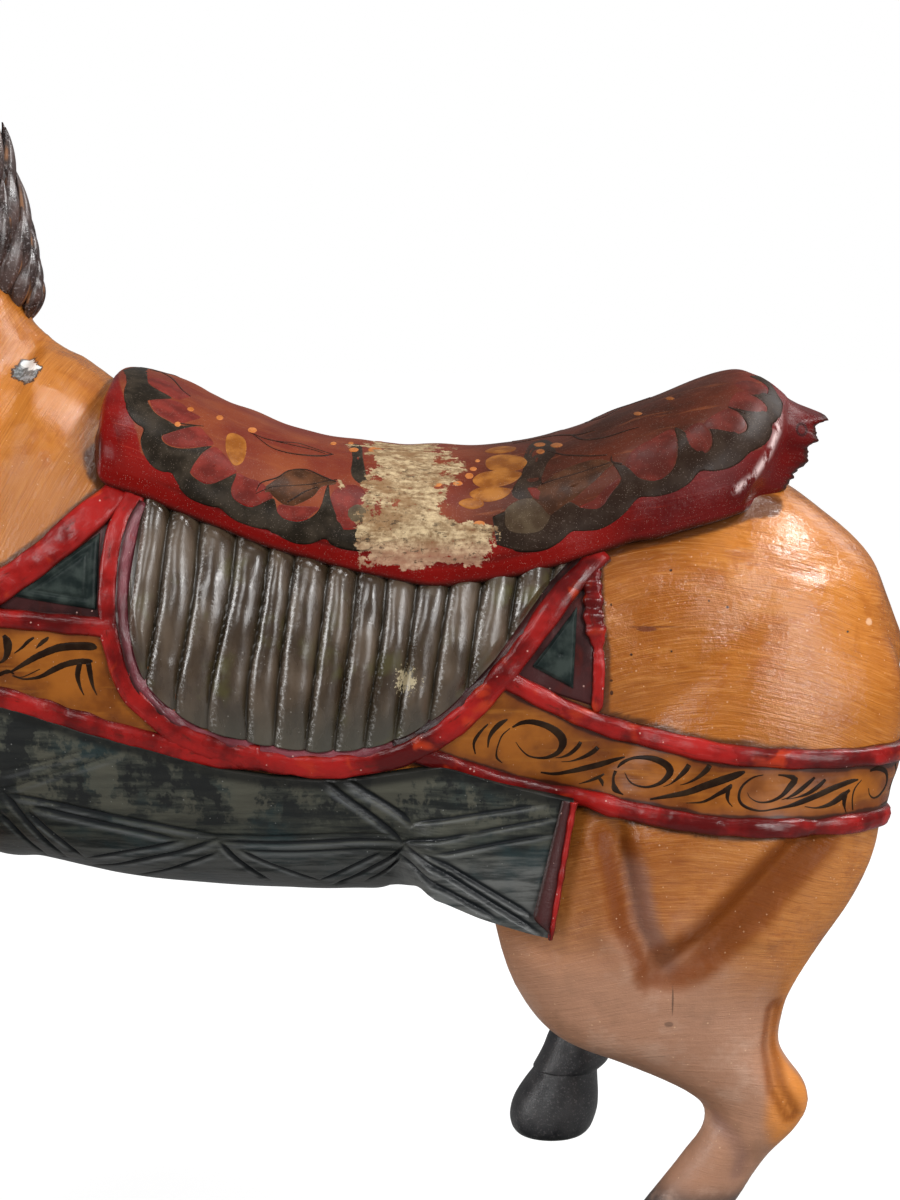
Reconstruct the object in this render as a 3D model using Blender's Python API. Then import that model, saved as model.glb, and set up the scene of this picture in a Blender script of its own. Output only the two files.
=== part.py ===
"""A carved wooden carousel horse on a low plank base.

Metres, +Z up, the horse faces -X, and the origin is the middle of the base's underside.
The flesh is lofted limb by limb and grown into one skin. The saddle and trappings are
carved from the same wood, so they are joined to it as one solid.
"""

import math

import bmesh
import bpy
import numpy as np
from mathutils import Vector
from mathutils.bvhtree import BVHTree

# Base
BASE_LENGTH = 0.78
BASE_WIDTH = 0.30
BASE_THICKNESS = 0.045
BASE_EDGE = 0.012
SEAM = 0.0003
SOLE_Z = BASE_THICKNESS + SEAM

# Skin
RING_POINTS = 20
SKIN_VOXEL = 0.0065
SKIN_SMOOTHING = 10
SKIN_TRIANGLE_SHARE = 0.060
TRUNK_ROUNDNESS = 2.25
CARVING_FLATNESS = math.radians(6.0)

# Trappings: how far each stands proud of the flesh, and how deep it is rooted in it
SADDLE_LIP = 0.012
RIDGE_RADIUS = 0.0070
RIDGE_PROUD = 0.0055
RIDGE_POINTS = 6
RIDGE_SPACING = 0.024
BLANKET_PROUD = 0.007
STRIP_PROUD = 0.0025
ROOT_DEPTH = 0.006
FLAP_ROOT = 0.022
RIB_COUNT = 14
RIB_PROFILE = (0.0005, 0.0048, 0.0058, 0.0040)
RIB_LEAN = 0.012
SKIRT_ROWS = 4
SKIRT_SPACING = 0.004
SKIRT_FRONT_GAP = 0.001
SKIRT_REAR_GAP = 0.012
SKIRT_TUCK = 0.006
BAND_COLUMNS = 26
BAND_SPACING = 0.026
BAND_LIFT = 0.004
BAND_TURN_SHARE = 0.3
BAND_SETTLE = 1.6

# A band's section: share of the way from the upper ridge to the lower, and height
BAND_PROFILE = (
    (-0.19, -0.002),
    (-0.11, RIDGE_PROUD),
    (0.07, RIDGE_PROUD),
    (0.14, STRIP_PROUD),
    (0.86, STRIP_PROUD),
    (0.93, RIDGE_PROUD),
    (1.11, RIDGE_PROUD),
    (1.19, -0.002),
)

# x, back line, belly line and half width of the trunk, from breast to buttocks
TRUNK = (
    (-0.318, 0.600, 0.520, 0.030),
    (-0.295, 0.655, 0.455, 0.078),
    (-0.235, 0.700, 0.410, 0.104),
    (-0.155, 0.735, 0.402, 0.114),
    (-0.108, 0.714, 0.394, 0.119),
    (-0.060, 0.690, 0.386, 0.122),
    (0.040, 0.672, 0.377, 0.125),
    (0.140, 0.662, 0.380, 0.123),
    (0.230, 0.668, 0.392, 0.118),
    (0.310, 0.668, 0.420, 0.112),
    (0.364, 0.634, 0.446, 0.098),
    (0.401, 0.590, 0.468, 0.080),
    (0.426, 0.552, 0.492, 0.048),
)

# Limbs: x, y, z of the middle, half thickness in the side view, half width
NECK = (
    (-0.195, 0.0, 0.570, 0.125, 0.090),
    (-0.221, 0.0, 0.650, 0.118, 0.080),
    (-0.240, 0.0, 0.715, 0.105, 0.069),
    (-0.262, 0.0, 0.790, 0.085, 0.059),
    (-0.283, 0.0, 0.860, 0.072, 0.051),
    (-0.315, 0.0, 0.915, 0.062, 0.045),
    (-0.350, 0.0, 0.935, 0.045, 0.038),
)
HEAD = (
    (-0.305, 0.0, 0.945, 0.035, 0.034),
    (-0.335, 0.0, 0.915, 0.060, 0.044),
    (-0.372, 0.0, 0.877, 0.064, 0.045),
    (-0.410, 0.0, 0.835, 0.050, 0.036),
    (-0.443, 0.0, 0.793, 0.037, 0.028),
    (-0.468, 0.0, 0.757, 0.035, 0.030),
    (-0.485, 0.0, 0.732, 0.024, 0.022),
)
JOWL = (
    (-0.318, 0.0, 0.905, 0.030, 0.036),
    (-0.345, 0.0, 0.872, 0.048, 0.050),
    (-0.372, 0.0, 0.842, 0.030, 0.036),
)
# The near hind leg by its outline: front x, z, back x, z, y of the middle, half width
NEAR_HIND_LEG = (
    (0.270, 0.600, 0.395, 0.590, -0.050, 0.050),
    (0.215, 0.520, 0.428, 0.523, -0.060, 0.062),
    (0.185, 0.450, 0.414, 0.440, -0.068, 0.064),
    (0.160, 0.385, 0.400, 0.392, -0.072, 0.060),
    (0.163, 0.350, 0.375, 0.355, -0.074, 0.056),
    (0.174, 0.320, 0.355, 0.322, -0.075, 0.049),
    (0.199, 0.291, 0.348, 0.300, -0.076, 0.043),
    (0.238, 0.274, 0.347, 0.285, -0.075, 0.037),
    (0.266, 0.262, 0.353, 0.274, -0.075, 0.033),
    (0.288, 0.250, 0.365, 0.258, -0.074, 0.030),
    (0.299, 0.239, 0.368, 0.242, -0.073, 0.0285),
    (0.297, 0.222, 0.359, 0.226, -0.073, 0.0265),
    (0.283, 0.203, 0.341, 0.205, -0.071, 0.024),
    (0.261, 0.175, 0.321, 0.176, -0.070, 0.0235),
    (0.233, 0.130, 0.291, 0.130, -0.070, 0.0250),
    (0.217, 0.105, 0.266, 0.105, -0.069, 0.0215),
    (0.206, 0.074, 0.254, 0.074, -0.069, 0.0225),
)
FAR_HIND_LEG = (
    (0.340, 0.050, 0.590, 0.060, 0.050),
    (0.320, 0.062, 0.510, 0.100, 0.064),
    (0.278, 0.070, 0.440, 0.106, 0.060),
    (0.250, 0.074, 0.396, 0.090, 0.052),
    (0.262, 0.076, 0.360, 0.066, 0.042),
    (0.300, 0.075, 0.342, 0.046, 0.033),
    (0.335, 0.073, 0.337, 0.034, 0.027),
    (0.318, 0.071, 0.316, 0.029, 0.023),
    (0.282, 0.070, 0.290, 0.0260, 0.0215),
    (0.245, 0.069, 0.266, 0.0265, 0.0240),
    (0.2250, 0.069, 0.240, 0.0200, 0.0205),
    (0.2180, 0.069, 0.215, 0.0220, 0.0215),
)
NEAR_FORE_LEG = (
    (-0.215, -0.050, 0.570, 0.085, 0.055),
    (-0.232, -0.062, 0.500, 0.080, 0.050),
    (-0.252, -0.068, 0.440, 0.060, 0.042),
    (-0.295, -0.070, 0.408, 0.042, 0.034),
    (-0.345, -0.070, 0.385, 0.034, 0.028),
    (-0.375, -0.070, 0.362, 0.033, 0.027),
    (-0.372, -0.070, 0.325, 0.026, 0.022),
    (-0.358, -0.070, 0.275, 0.023, 0.020),
    (-0.342, -0.070, 0.225, 0.0265, 0.0235),
    (-0.342, -0.070, 0.205, 0.023, 0.0215),
    (-0.348, -0.070, 0.182, 0.024, 0.0225),
)
FAR_FORE_LEG = (
    (-0.215, 0.050, 0.570, 0.085, 0.055),
    (-0.235, 0.062, 0.500, 0.076, 0.050),
    (-0.254, 0.068, 0.430, 0.055, 0.042),
    (-0.266, 0.070, 0.360, 0.041, 0.034),
    (-0.272, 0.070, 0.300, 0.033, 0.028),
    (-0.274, 0.070, 0.275, 0.034, 0.029),
    (-0.274, 0.070, 0.240, 0.026, 0.023),
    (-0.276, 0.070, 0.180, 0.023, 0.020),
    (-0.280, 0.070, 0.125, 0.0265, 0.0235),
    (-0.292, 0.070, 0.100, 0.023, 0.0215),
    (-0.304, 0.070, 0.075, 0.024, 0.0225),
)
TAIL = (
    (0.372, 0.0, 0.600, 0.030, 0.022),
    (0.384, 0.0, 0.555, 0.030, 0.030),
    (0.384, 0.0, 0.480, 0.028, 0.034),
    (0.372, 0.0, 0.410, 0.026, 0.030),
    (0.350, 0.0, 0.355, 0.020, 0.022),
    (0.334, 0.0, 0.325, 0.008, 0.010),
)
FLESH = {
    "neck": NECK,
    "head": HEAD,
    "jowl": JOWL,
    "far_hind_leg": FAR_HIND_LEG,
    "near_fore_leg": NEAR_FORE_LEG,
    "far_fore_leg": FAR_FORE_LEG,
}

# Carved grooves of the near thigh: side, depth, half breadth and x, z points
GROOVES = (
    (-1, 0.007, 0.011, ((0.237, 0.445), (0.240, 0.400), (0.256, 0.350))),
    (-1, 0.007, 0.012, ((0.350, 0.425), (0.328, 0.400), (0.298, 0.372), (0.262, 0.345))),
    (1, 0.005, 0.012, ((0.345, 0.440), (0.318, 0.405), (0.285, 0.380))),
)

# Hooves: middle of the sole and the lean of the axis forward in degrees
HOOVES = {
    "near_hind": ((0.212, -0.069, SOLE_Z), 0.0),
    "far_hind": ((0.2025, 0.069, 0.1775), 0.0),
    "near_fore": ((-0.362, -0.070, 0.150), 14.0),
    "far_fore": ((-0.318, 0.070, SOLE_Z), 0.0),
}
HOOF_HEIGHT = 0.047
HOOF_HALF_LENGTH = 0.0325
HOOF_HALF_WIDTH = 0.029
HOOF_SLOPE = 0.013
HOOF_POINTS = 16
HOOF_PROFILE = ((0.0, 0.84), (0.10, 0.96), (0.30, 1.0), (0.65, 0.93), (0.88, 0.82), (1.0, 0.76))

# Saddle: crown x and z, then edge x and z, from pommel to broken cantle
SADDLE = (
    (-0.093, 0.704, -0.092, 0.662),
    (-0.086, 0.725, -0.086, 0.655),
    (-0.039, 0.710, -0.030, 0.633),
    (-0.005, 0.696, 0.008, 0.619),
    (0.040, 0.682, 0.052, 0.605),
    (0.096, 0.676, 0.099, 0.594),
    (0.130, 0.675, 0.130, 0.592),
    (0.164, 0.676, 0.161, 0.595),
    (0.204, 0.684, 0.199, 0.604),
    (0.254, 0.703, 0.235, 0.615),
    (0.312, 0.723, 0.268, 0.622),
    (0.345, 0.719, 0.292, 0.627),
    (0.383, 0.690, 0.309, 0.6315),
)
SADDLE_ARC_POINTS = 15
SADDLE_CROWN = 0.85
# Below the saddle's edge: share of its reach, how far in from that, and how far down
SADDLE_ROOT = ((1.0, 0.001, 0.008), (1.0, SADDLE_LIP + 0.004, 0.013), (0.4, 0.0, 0.050))
POMMEL_SETBACK = 0.002
BREAK_JAG = 0.004

# Trappings on the side, as x, z points
SKIRT_EDGE = (
    (-0.076, 0.650),
    (-0.078, 0.609),
    (-0.076, 0.573),
    (-0.066, 0.544),
    (-0.046, 0.518),
    (-0.017, 0.496),
    (0.018, 0.484),
    (0.055, 0.480),
    (0.096, 0.487),
    (0.126, 0.502),
    (0.156, 0.527),
    (0.186, 0.563),
    (0.211, 0.597),
    (0.221, 0.614),
)
REAR_STRAP = ((0.223, 0.616), (0.2215, 0.560), (0.2225, 0.508))
FRONT_STRAP = ((-0.084, 0.655), (-0.130, 0.622), (-0.178, 0.580))

# Bands round rump and breast: x, z on the side, then the height at the middle of the end
REAR_BAND_TOP = (((0.167, 0.529), (0.2235, 0.505), (0.286, 0.489)), 0.481)
REAR_BAND_FOOT = (((0.1256, 0.481), (0.1636, 0.4675), (0.2235, 0.454), (0.2855, 0.443)), 0.4385)
FRONT_BAND_TOP = (((-0.080, 0.5665), (-0.150, 0.571)), 0.576)
FRONT_BAND_FOOT = (((-0.052, 0.491), (-0.106, 0.505), (-0.150, 0.518)), 0.530)
REAR_TURN_X = 0.300
FRONT_TURN_X = -0.180

# Blanket: x and z of its top edge, its rear edge, and the row where the sides turn under
BLANKET_TOP = (
    (-0.180, 0.523),
    (-0.150, 0.518),
    (-0.106, 0.505),
    (-0.062, 0.493),
    (-0.020, 0.480),
    (0.018, 0.474),
    (0.055, 0.472),
    (0.096, 0.476),
    (0.126, 0.479),
    (0.164, 0.4675),
    (0.2096, 0.457),
)
BLANKET_FRONT_X = -0.178
BLANKET_REAR_X = 0.2090
BLANKET_REAR_LEAN = 2.1
BLANKET_WRAP_X = 0.128
BLANKET_FLAP_X = 0.158
BLANKET_FLAP_Z = 0.362
BLANKET_FLAP_RISE = 0.25
BLANKET_FLAP_REACH = 0.123
BLANKET_TURN = 0.75
BLANKET_TURN_DROP = 0.80
BLANKET_LAST_DROP = 0.985
BLANKET_SIDE_ROWS = 5
BLANKET_BELLY_ROWS = 4
BLANKET_COLUMNS = 12
BLANKET_FLAP_COLUMNS = 4

# Mane: x, z along the crest, from withers to poll
MANE_CORE = (
    (-0.1515, 0.0, 0.772, 0.007, 0.010),
    (-0.164, 0.0, 0.800, 0.019, 0.024),
    (-0.185, 0.0, 0.842, 0.028, 0.037),
    (-0.210, 0.0, 0.882, 0.030, 0.040),
    (-0.241, 0.0, 0.919, 0.028, 0.040),
    (-0.274, 0.0, 0.950, 0.024, 0.036),
    (-0.312, 0.0, 0.970, 0.014, 0.026),
)
MANE_LOCKS = 7
CORE_SPACING = 0.002
LOCK_LENGTH = 0.062
LOCK_HALF_BREADTH = 0.019
LOCK_PROUD = 0.009
LOCK_STOPS = (0.10, 0.97)
LOCK_ROOT = (0.004, 0.010, 0.012)
LOCK_SHOULDER = 0.017
LOCK_SWEEP = (0.004, 0.016, 0.024)
LOCK_TIP = 0.003
FORELOCK = (
    (-0.318, 0.0, 0.975, 0.012, 0.018),
    (-0.350, 0.0, 0.972, 0.013, 0.020),
    (-0.384, 0.0, 0.935, 0.011, 0.015),
    (-0.402, 0.0, 0.900, 0.004, 0.005),
)
EAR = (
    (-0.320, 0.024, 0.950, 0.015, 0.013),
    (-0.318, 0.029, 0.975, 0.018, 0.013),
    (-0.313, 0.033, 1.000, 0.014, 0.009),
    (-0.307, 0.035, 1.018, 0.007, 0.005),
    (-0.304, 0.036, 1.027, 0.003, 0.003),
)
EYE = (-0.383, 0.0375, 0.898)
EYE_RADIUS = 0.0125
EYE_FLATNESS = 0.55


def clear_scene():
    """Remove whatever the file opened with."""
    for obj in list(bpy.data.objects):
        bpy.data.objects.remove(obj)


def paint(name, colour, roughness):
    """A painted wood material."""
    material = bpy.data.materials.new(name)
    material.use_nodes = True
    shader = material.node_tree.nodes["Principled BSDF"]
    shader.inputs["Base Color"].default_value = (*colour, 1.0)
    shader.inputs["Roughness"].default_value = roughness
    shader.inputs["Metallic"].default_value = 0.0
    return material


def smooth_rows(rows, per_gap):
    """The rows and per_gap - 1 more in each gap, on a Catmull-Rom curve through them."""
    rows = np.array(rows, float)
    ends = np.vstack([2 * rows[0] - rows[1], rows, 2 * rows[-1] - rows[-2]])
    steps = np.arange(per_gap)[:, None] / per_gap
    out = []
    for before, here, there, after in zip(ends, ends[1:], ends[2:], ends[3:]):
        out.append(
            here
            + steps * (there - before) / 2
            + steps**2 * (before - 2.5 * here + 2 * there - after / 2)
            + steps**3 * ((after - before) / 2 + 1.5 * (here - there))
        )
    return np.vstack([*out, rows[-1:]])


def spaced(points, spacing):
    """Points along a smooth curve through the given ones, about spacing apart."""
    fine = smooth_rows(points, 12)
    run = np.concatenate([[0.0], np.cumsum(np.linalg.norm(np.diff(fine, axis=0), axis=1))])
    stops = np.linspace(0, run[-1], max(2, round(run[-1] / spacing) + 1))
    return np.column_stack([np.interp(stops, run, column) for column in fine.T])


def mesh_object(name, vertices, faces):
    """A mesh object with its faces pointing out."""
    mesh = bpy.data.meshes.new(name)
    mesh.from_pydata([tuple(v) for v in vertices], [], faces)
    bm = bmesh.new()
    bm.from_mesh(mesh)
    bmesh.ops.triangulate(bm, faces=[f for f in bm.faces if len(f.verts) > 4])
    bmesh.ops.recalc_face_normals(bm, faces=bm.faces)
    bm.to_mesh(mesh)
    bm.free()
    obj = bpy.data.objects.new(name, mesh)
    bpy.context.scene.collection.objects.link(obj)
    return obj


def closed_loft(name, rings):
    """A closed solid through rings of points, all with the same number of points."""
    rings = np.array(rings, float)
    rows, count = rings.shape[:2]
    index = np.arange(rows * count).reshape(rows, count)
    after = np.roll(index, -1, axis=1)
    quads = np.stack([index[:-1], after[:-1], after[1:], index[1:]], axis=-1).reshape(-1, 4)
    faces = quads.tolist() + [index[0][::-1].tolist(), index[-1].tolist()]
    return mesh_object(name, rings.reshape(-1, 3), faces)


def shell(name, outer, inner, kept=None):
    """A closed solid between two grids of points, over the kept cells only."""
    rows, columns = outer.shape[:2]
    if kept is None:
        kept = np.ones((rows - 1, columns - 1), bool)
    index = np.arange(rows * columns).reshape(rows, columns)
    cells = np.stack([index[:-1, :-1], index[1:, :-1], index[1:, 1:], index[:-1, 1:]], axis=-1)
    cells = cells[kept]
    below = rows * columns
    edges = {}
    for cell in cells:
        for start, end in zip(cell, np.roll(cell, -1)):
            edges[int(start), int(end)] = True
    rim = [edge for edge in edges if edge[::-1] not in edges]
    faces = cells.tolist() + (cells[:, ::-1] + below).tolist()
    faces += [(end, start, start + below, end + below) for start, end in rim]
    points = np.concatenate([outer.reshape(-1, 3), inner.reshape(-1, 3)])
    used = np.unique(np.concatenate([np.ravel(face) for face in faces]))
    place = {int(old): new for new, old in enumerate(used)}
    faces = [[place[int(corner)] for corner in face] for face in faces]
    return mesh_object(name, points[used], faces)


def limb(name, rows, per_gap=2, points=RING_POINTS, roundness=2.0):
    """A tube through rows of x, y, z, half thickness and half width."""
    rows = smooth_rows(rows, per_gap)
    middle = rows[:, :3]
    along = np.gradient(middle, axis=0)
    along /= np.linalg.norm(along, axis=1)[:, None]
    side = np.array((0.0, 1.0, 0.0))
    front = np.cross(along, side)
    front /= np.linalg.norm(front, axis=1)[:, None]
    turn = np.linspace(0, math.tau, points, endpoint=False)
    bulge = 2 / roundness
    thick = np.sign(np.cos(turn)) * np.abs(np.cos(turn)) ** bulge
    wide = np.sign(np.sin(turn)) * np.abs(np.sin(turn)) ** bulge
    rings = (
        middle[:, None]
        + rows[:, None, 3:4] * thick[None, :, None] * front[:, None]
        + rows[:, None, 4:5] * wide[None, :, None] * side
    )
    return closed_loft(name, rings)


def outlined_limb(name, rows, per_gap=2, points=RING_POINTS):
    """A tube through rows of front x, z, back x, z, middle y and half width."""
    rows = smooth_rows(rows, per_gap)
    turn = np.linspace(0, math.tau, points, endpoint=False)
    middle = np.column_stack([(rows[:, 0] + rows[:, 2]) / 2, rows[:, 4], (rows[:, 1] + rows[:, 3]) / 2])
    back = np.column_stack([rows[:, 2], rows[:, 4], rows[:, 3]]) - middle
    side = np.array((0.0, 1.0, 0.0))
    rings = (
        middle[:, None]
        + np.cos(turn)[None, :, None] * back[:, None]
        + rows[:, None, 5:6] * np.sin(turn)[None, :, None] * side
    )
    return closed_loft(name, rings)


def trunk_rows():
    """The trunk as limb rows."""
    rows = np.array(TRUNK)
    middle = (rows[:, 1] + rows[:, 2]) / 2
    half = (rows[:, 1] - rows[:, 2]) / 2
    flat = np.zeros(len(rows))
    return np.column_stack([rows[:, 0], flat, middle, half, rows[:, 3]])


def baked_mesh(obj):
    """A plain mesh of the object as its modifiers leave it."""
    graph = bpy.context.evaluated_depsgraph_get()
    return bpy.data.meshes.new_from_object(obj.evaluated_get(graph), depsgraph=graph)


def cut_grooves(mesh):
    """Press the thigh's grooves into the skin along its normals."""
    points = np.empty((len(mesh.vertices), 3), np.float32)
    normals = np.empty_like(points)
    mesh.vertices.foreach_get("co", points.ravel())
    mesh.vertices.foreach_get("normal", normals.ravel())
    for side, depth, breadth, route in GROOVES:
        route = spaced(route, 0.003)
        flat = points[:, [0, 2]][:, None] - route[None]
        distance = np.sqrt((flat**2).sum(-1).min(1))
        facing = (points[:, 1] * side > 0.03) & (normals[:, 1] * side > 0.2)
        points -= (facing * depth * np.exp(-((distance / breadth) ** 2)))[:, None] * normals
    mesh.vertices.foreach_set("co", points.ravel())
    mesh.update()


def grow_skin(name):
    """The flesh of trunk, neck, head and legs as one closed skin."""
    limbs = [limb("trunk", trunk_rows(), roundness=TRUNK_ROUNDNESS)]
    limbs += [limb(part, rows) for part, rows in FLESH.items()]
    limbs.append(outlined_limb("near_hind_leg", NEAR_HIND_LEG))
    bm = bmesh.new()
    for obj in limbs:
        bm.from_mesh(obj.data)
        bpy.data.objects.remove(obj)
    mesh = bpy.data.meshes.new(name)
    bm.to_mesh(mesh)
    bm.free()
    skin = bpy.data.objects.new(name, mesh)
    bpy.context.scene.collection.objects.link(skin)
    grow = skin.modifiers.new("grow", "REMESH")
    grow.mode = "VOXEL"
    grow.voxel_size = SKIN_VOXEL
    soften = skin.modifiers.new("soften", "SMOOTH")
    soften.factor = 0.5
    soften.iterations = SKIN_SMOOTHING
    skin.data = baked_mesh(skin)
    skin.modifiers.clear()
    cut_grooves(skin.data)
    thin = skin.modifiers.new("thin", "DECIMATE")
    thin.ratio = SKIN_TRIANGLE_SHARE
    skin.data = baked_mesh(skin)
    skin.modifiers.clear()
    return skin


class Skin:
    """The flesh as something to lay trappings on."""

    def __init__(self, mesh):
        points = np.empty((len(mesh.vertices), 3), np.float32)
        mesh.vertices.foreach_get("co", points.ravel())
        faces = [tuple(face.vertices) for face in mesh.polygons]
        self.tree = BVHTree.FromPolygons([Vector(p) for p in points], faces)

    def first_hit(self, start, way):
        """Where a ray from outside first meets the flesh, and the face's normal there."""
        spot, normal, _, _ = self.tree.ray_cast(Vector(start), Vector(way))
        return np.array(spot), np.array(normal)

    def nearest(self, point):
        """The nearest spot on the flesh, and the face's normal there."""
        spot, normal, _, _ = self.tree.find_nearest(Vector(point))
        return np.array(spot), np.array(normal)

    def laid(self, guide):
        """A grid of points laid on the nearest flesh."""
        spots = [self.nearest(point)[0] for point in guide.reshape(-1, 3)]
        return np.array(spots).reshape(guide.shape)

    def side(self, x, z, sign):
        """The flesh at x, z seen from the side."""
        return self.first_hit((x, sign * 0.4, z), (0.0, -sign, 0.0))

    def girdle(self, x, z, angle, sign):
        """The flesh at height z, out from x on the middle plane, at an angle off the side."""
        out = np.array((math.sin(angle), sign * math.cos(angle), 0.0))
        return self.first_hit(np.array((x, 0.0, z)) + 0.4 * out, -out)


def settled(normals, passes=2):
    """Unit normals, each averaged with its neighbours along a path."""
    for _ in range(passes):
        padded = np.vstack([normals[:1], normals, normals[-1:]])
        normals = padded[:-2] + 2 * padded[1:-1] + padded[2:]
        normals /= np.linalg.norm(normals, axis=1)[:, None]
    return normals


def ridge(name, spots, normals):
    """A half-sunk roll along spots on the flesh."""
    normals = settled(normals)
    along = np.gradient(spots, axis=0)
    along /= np.linalg.norm(along, axis=1)[:, None]
    side = np.cross(along, normals)
    side /= np.linalg.norm(side, axis=1)[:, None]
    middle = spots + normals * (RIDGE_PROUD - RIDGE_RADIUS)
    turn = np.linspace(0, math.tau, RIDGE_POINTS, endpoint=False) + math.tau / 4
    around = np.cos(turn)[None, :, None] * side[:, None] + np.sin(turn)[None, :, None] * normals[:, None]
    rings = middle[:, None] + RIDGE_RADIUS * around
    return closed_loft(name, rings)


def side_ridge(name, skin, route, sign):
    """A ridge along x, z points on one side."""
    path = spaced(route, RIDGE_SPACING)
    hits = [skin.side(x, z, sign) for x, z in path]
    spots, normals = (np.array(part) for part in zip(*hits))
    return ridge(name, spots, normals)


def band_path(band, turn_x, count=8):
    """One half of a band: x, z, angle from its start on the side to the middle of the end."""
    route, end_z = band
    heading = 1 if turn_x > 0 else -1
    last_z = route[-1][1]
    turn_z = last_z + (end_z - last_z) * BAND_TURN_SHARE
    straight = spaced((*route, (turn_x, turn_z)), BAND_SPACING)
    angles = np.linspace(0, math.pi / 2, count)[1:]
    ease = 1 - np.cos(angles)
    start_z = straight[-1][1]
    rows = [(x, z, 0.0) for x, z in straight]
    rows += [
        (turn_x, start_z + (end_z - start_z) * min(1.0, BAND_SETTLE * part), heading * angle)
        for angle, part in zip(angles, ease)
    ]
    return rows


def band_hits(skin, band, turn_x):
    """Spots and normals along a whole band, from the near side round the end to the far."""
    half = band_path(band, turn_x)
    near = [skin.girdle(x, z, angle, -1) for x, z, angle in half]
    far = [skin.girdle(x, z, angle, 1) for x, z, angle in half[:-1]]
    hits = near + far[::-1]
    return tuple(np.array(part) for part in zip(*hits))


def band(name, skin, top, foot, turn_x):
    """A painted band round one end: a raised strip with a ridge along each edge."""
    rows = []
    for spots, normals in (band_hits(skin, top, turn_x), band_hits(skin, foot, turn_x)):
        run = np.linspace(0, len(spots) - 1, BAND_COLUMNS)
        rows.append([np.interp(run, np.arange(len(spots)), c) for c in (*spots.T, *normals.T)])
    top_row, foot_row = (np.array(row).T for row in rows)
    share, proud = np.array(BAND_PROFILE).T
    guide = top_row[None] + (foot_row - top_row)[None] * share[:, None, None]
    normals = guide[..., 3:] / np.linalg.norm(guide[..., 3:], axis=-1, keepdims=True)
    grid = skin.laid(guide[..., :3] + BAND_LIFT * normals)
    outer = grid + proud[:, None, None] * normals
    inner = grid - ROOT_DEPTH * normals
    return shell(name, outer, inner)


def grid_normals(grid):
    """Unit normals of a grid of points."""
    down = np.gradient(grid, axis=0)
    across = np.gradient(grid, axis=1)
    normals = np.cross(down, across)
    length = np.linalg.norm(normals, axis=-1, keepdims=True)
    return normals / np.maximum(length, 1e-9)


def trunk_section(x):
    """Middle height, half height and half width of the trunk at x."""
    rows = smooth_rows(TRUNK, 6)
    top, foot, wide = (np.interp(x, rows[:, 0], rows[:, i]) for i in (1, 2, 3))
    return (top + foot) / 2, (top - foot) / 2, wide


def blanket(skin):
    """The cloth carved under the girth: two sides joined below, each with a flap at the rear."""
    top_route = smooth_rows(BLANKET_TOP, 6)
    columns = np.append(
        np.linspace(BLANKET_FRONT_X, BLANKET_WRAP_X, BLANKET_COLUMNS),
        np.linspace(BLANKET_WRAP_X, BLANKET_REAR_X, BLANKET_FLAP_COLUMNS + 1)[1:],
    )
    side_rows = BLANKET_SIDE_ROWS
    rows = 2 * side_rows + BLANKET_BELLY_ROWS
    guide = np.empty((rows, len(columns), 3))
    flaps = np.clip((columns - BLANKET_WRAP_X) / (BLANKET_FLAP_X - BLANKET_WRAP_X), 0, 1)
    leans = BLANKET_REAR_LEAN * np.maximum(columns - BLANKET_WRAP_X, 0)
    for j, (x, flap, lean) in enumerate(zip(columns, flaps, leans)):
        middle, half, wide = trunk_section(x)
        top_z = np.interp(x, top_route[:, 0], top_route[:, 1])
        foot_z = BLANKET_FLAP_Z + BLANKET_FLAP_RISE * (BLANKET_REAR_X - x)
        turn_z = (middle - BLANKET_TURN_DROP * half) * (1 - flap) + foot_z * flap
        heights = np.linspace(top_z, turn_z, side_rows)
        drop = np.clip((middle - heights) / half, 0, BLANKET_LAST_DROP)
        reach = wide * (1 - drop**TRUNK_ROUNDNESS) ** (1 / TRUNK_ROUNDNESS)
        reach = reach * (1 - flap) + np.maximum(reach, BLANKET_FLAP_REACH) * flap
        side = np.column_stack([x + lean * (heights - top_z), -reach, heights])
        turn = min(reach[-1], BLANKET_TURN * wide)
        across = np.linspace(-turn, turn, BLANKET_BELLY_ROWS + 2)[1:-1]
        share = np.abs(across / wide)
        sag = middle - half * (1 - share**TRUNK_ROUNDNESS) ** (1 / TRUNK_ROUNDNESS)
        belly = np.column_stack([np.full(len(across), x), across, sag])
        guide[:, j] = np.vstack([side, belly, (side * (1, -1, 1))[::-1]])
    flap = flaps[None, :, None]
    grid = skin.laid(guide) * (1 - flap) + guide * flap
    kept = np.ones((rows - 1, len(columns) - 1), bool)
    kept[side_rows - 1 : rows - side_rows, BLANKET_COLUMNS - 1 :] = False
    normals = grid_normals(grid)
    normals *= np.sign((normals * (grid - (0.0, 0.0, 0.5))).sum(-1).mean())
    outward = np.sign(grid[..., 1:2]) * (0.0, 1.0, 0.0)
    normals = normals * (1 - flap) + outward * flap
    root = ROOT_DEPTH + (FLAP_ROOT - ROOT_DEPTH) * flap
    return shell("blanket", grid + BLANKET_PROUD * normals, grid - root * normals, kept)


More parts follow.
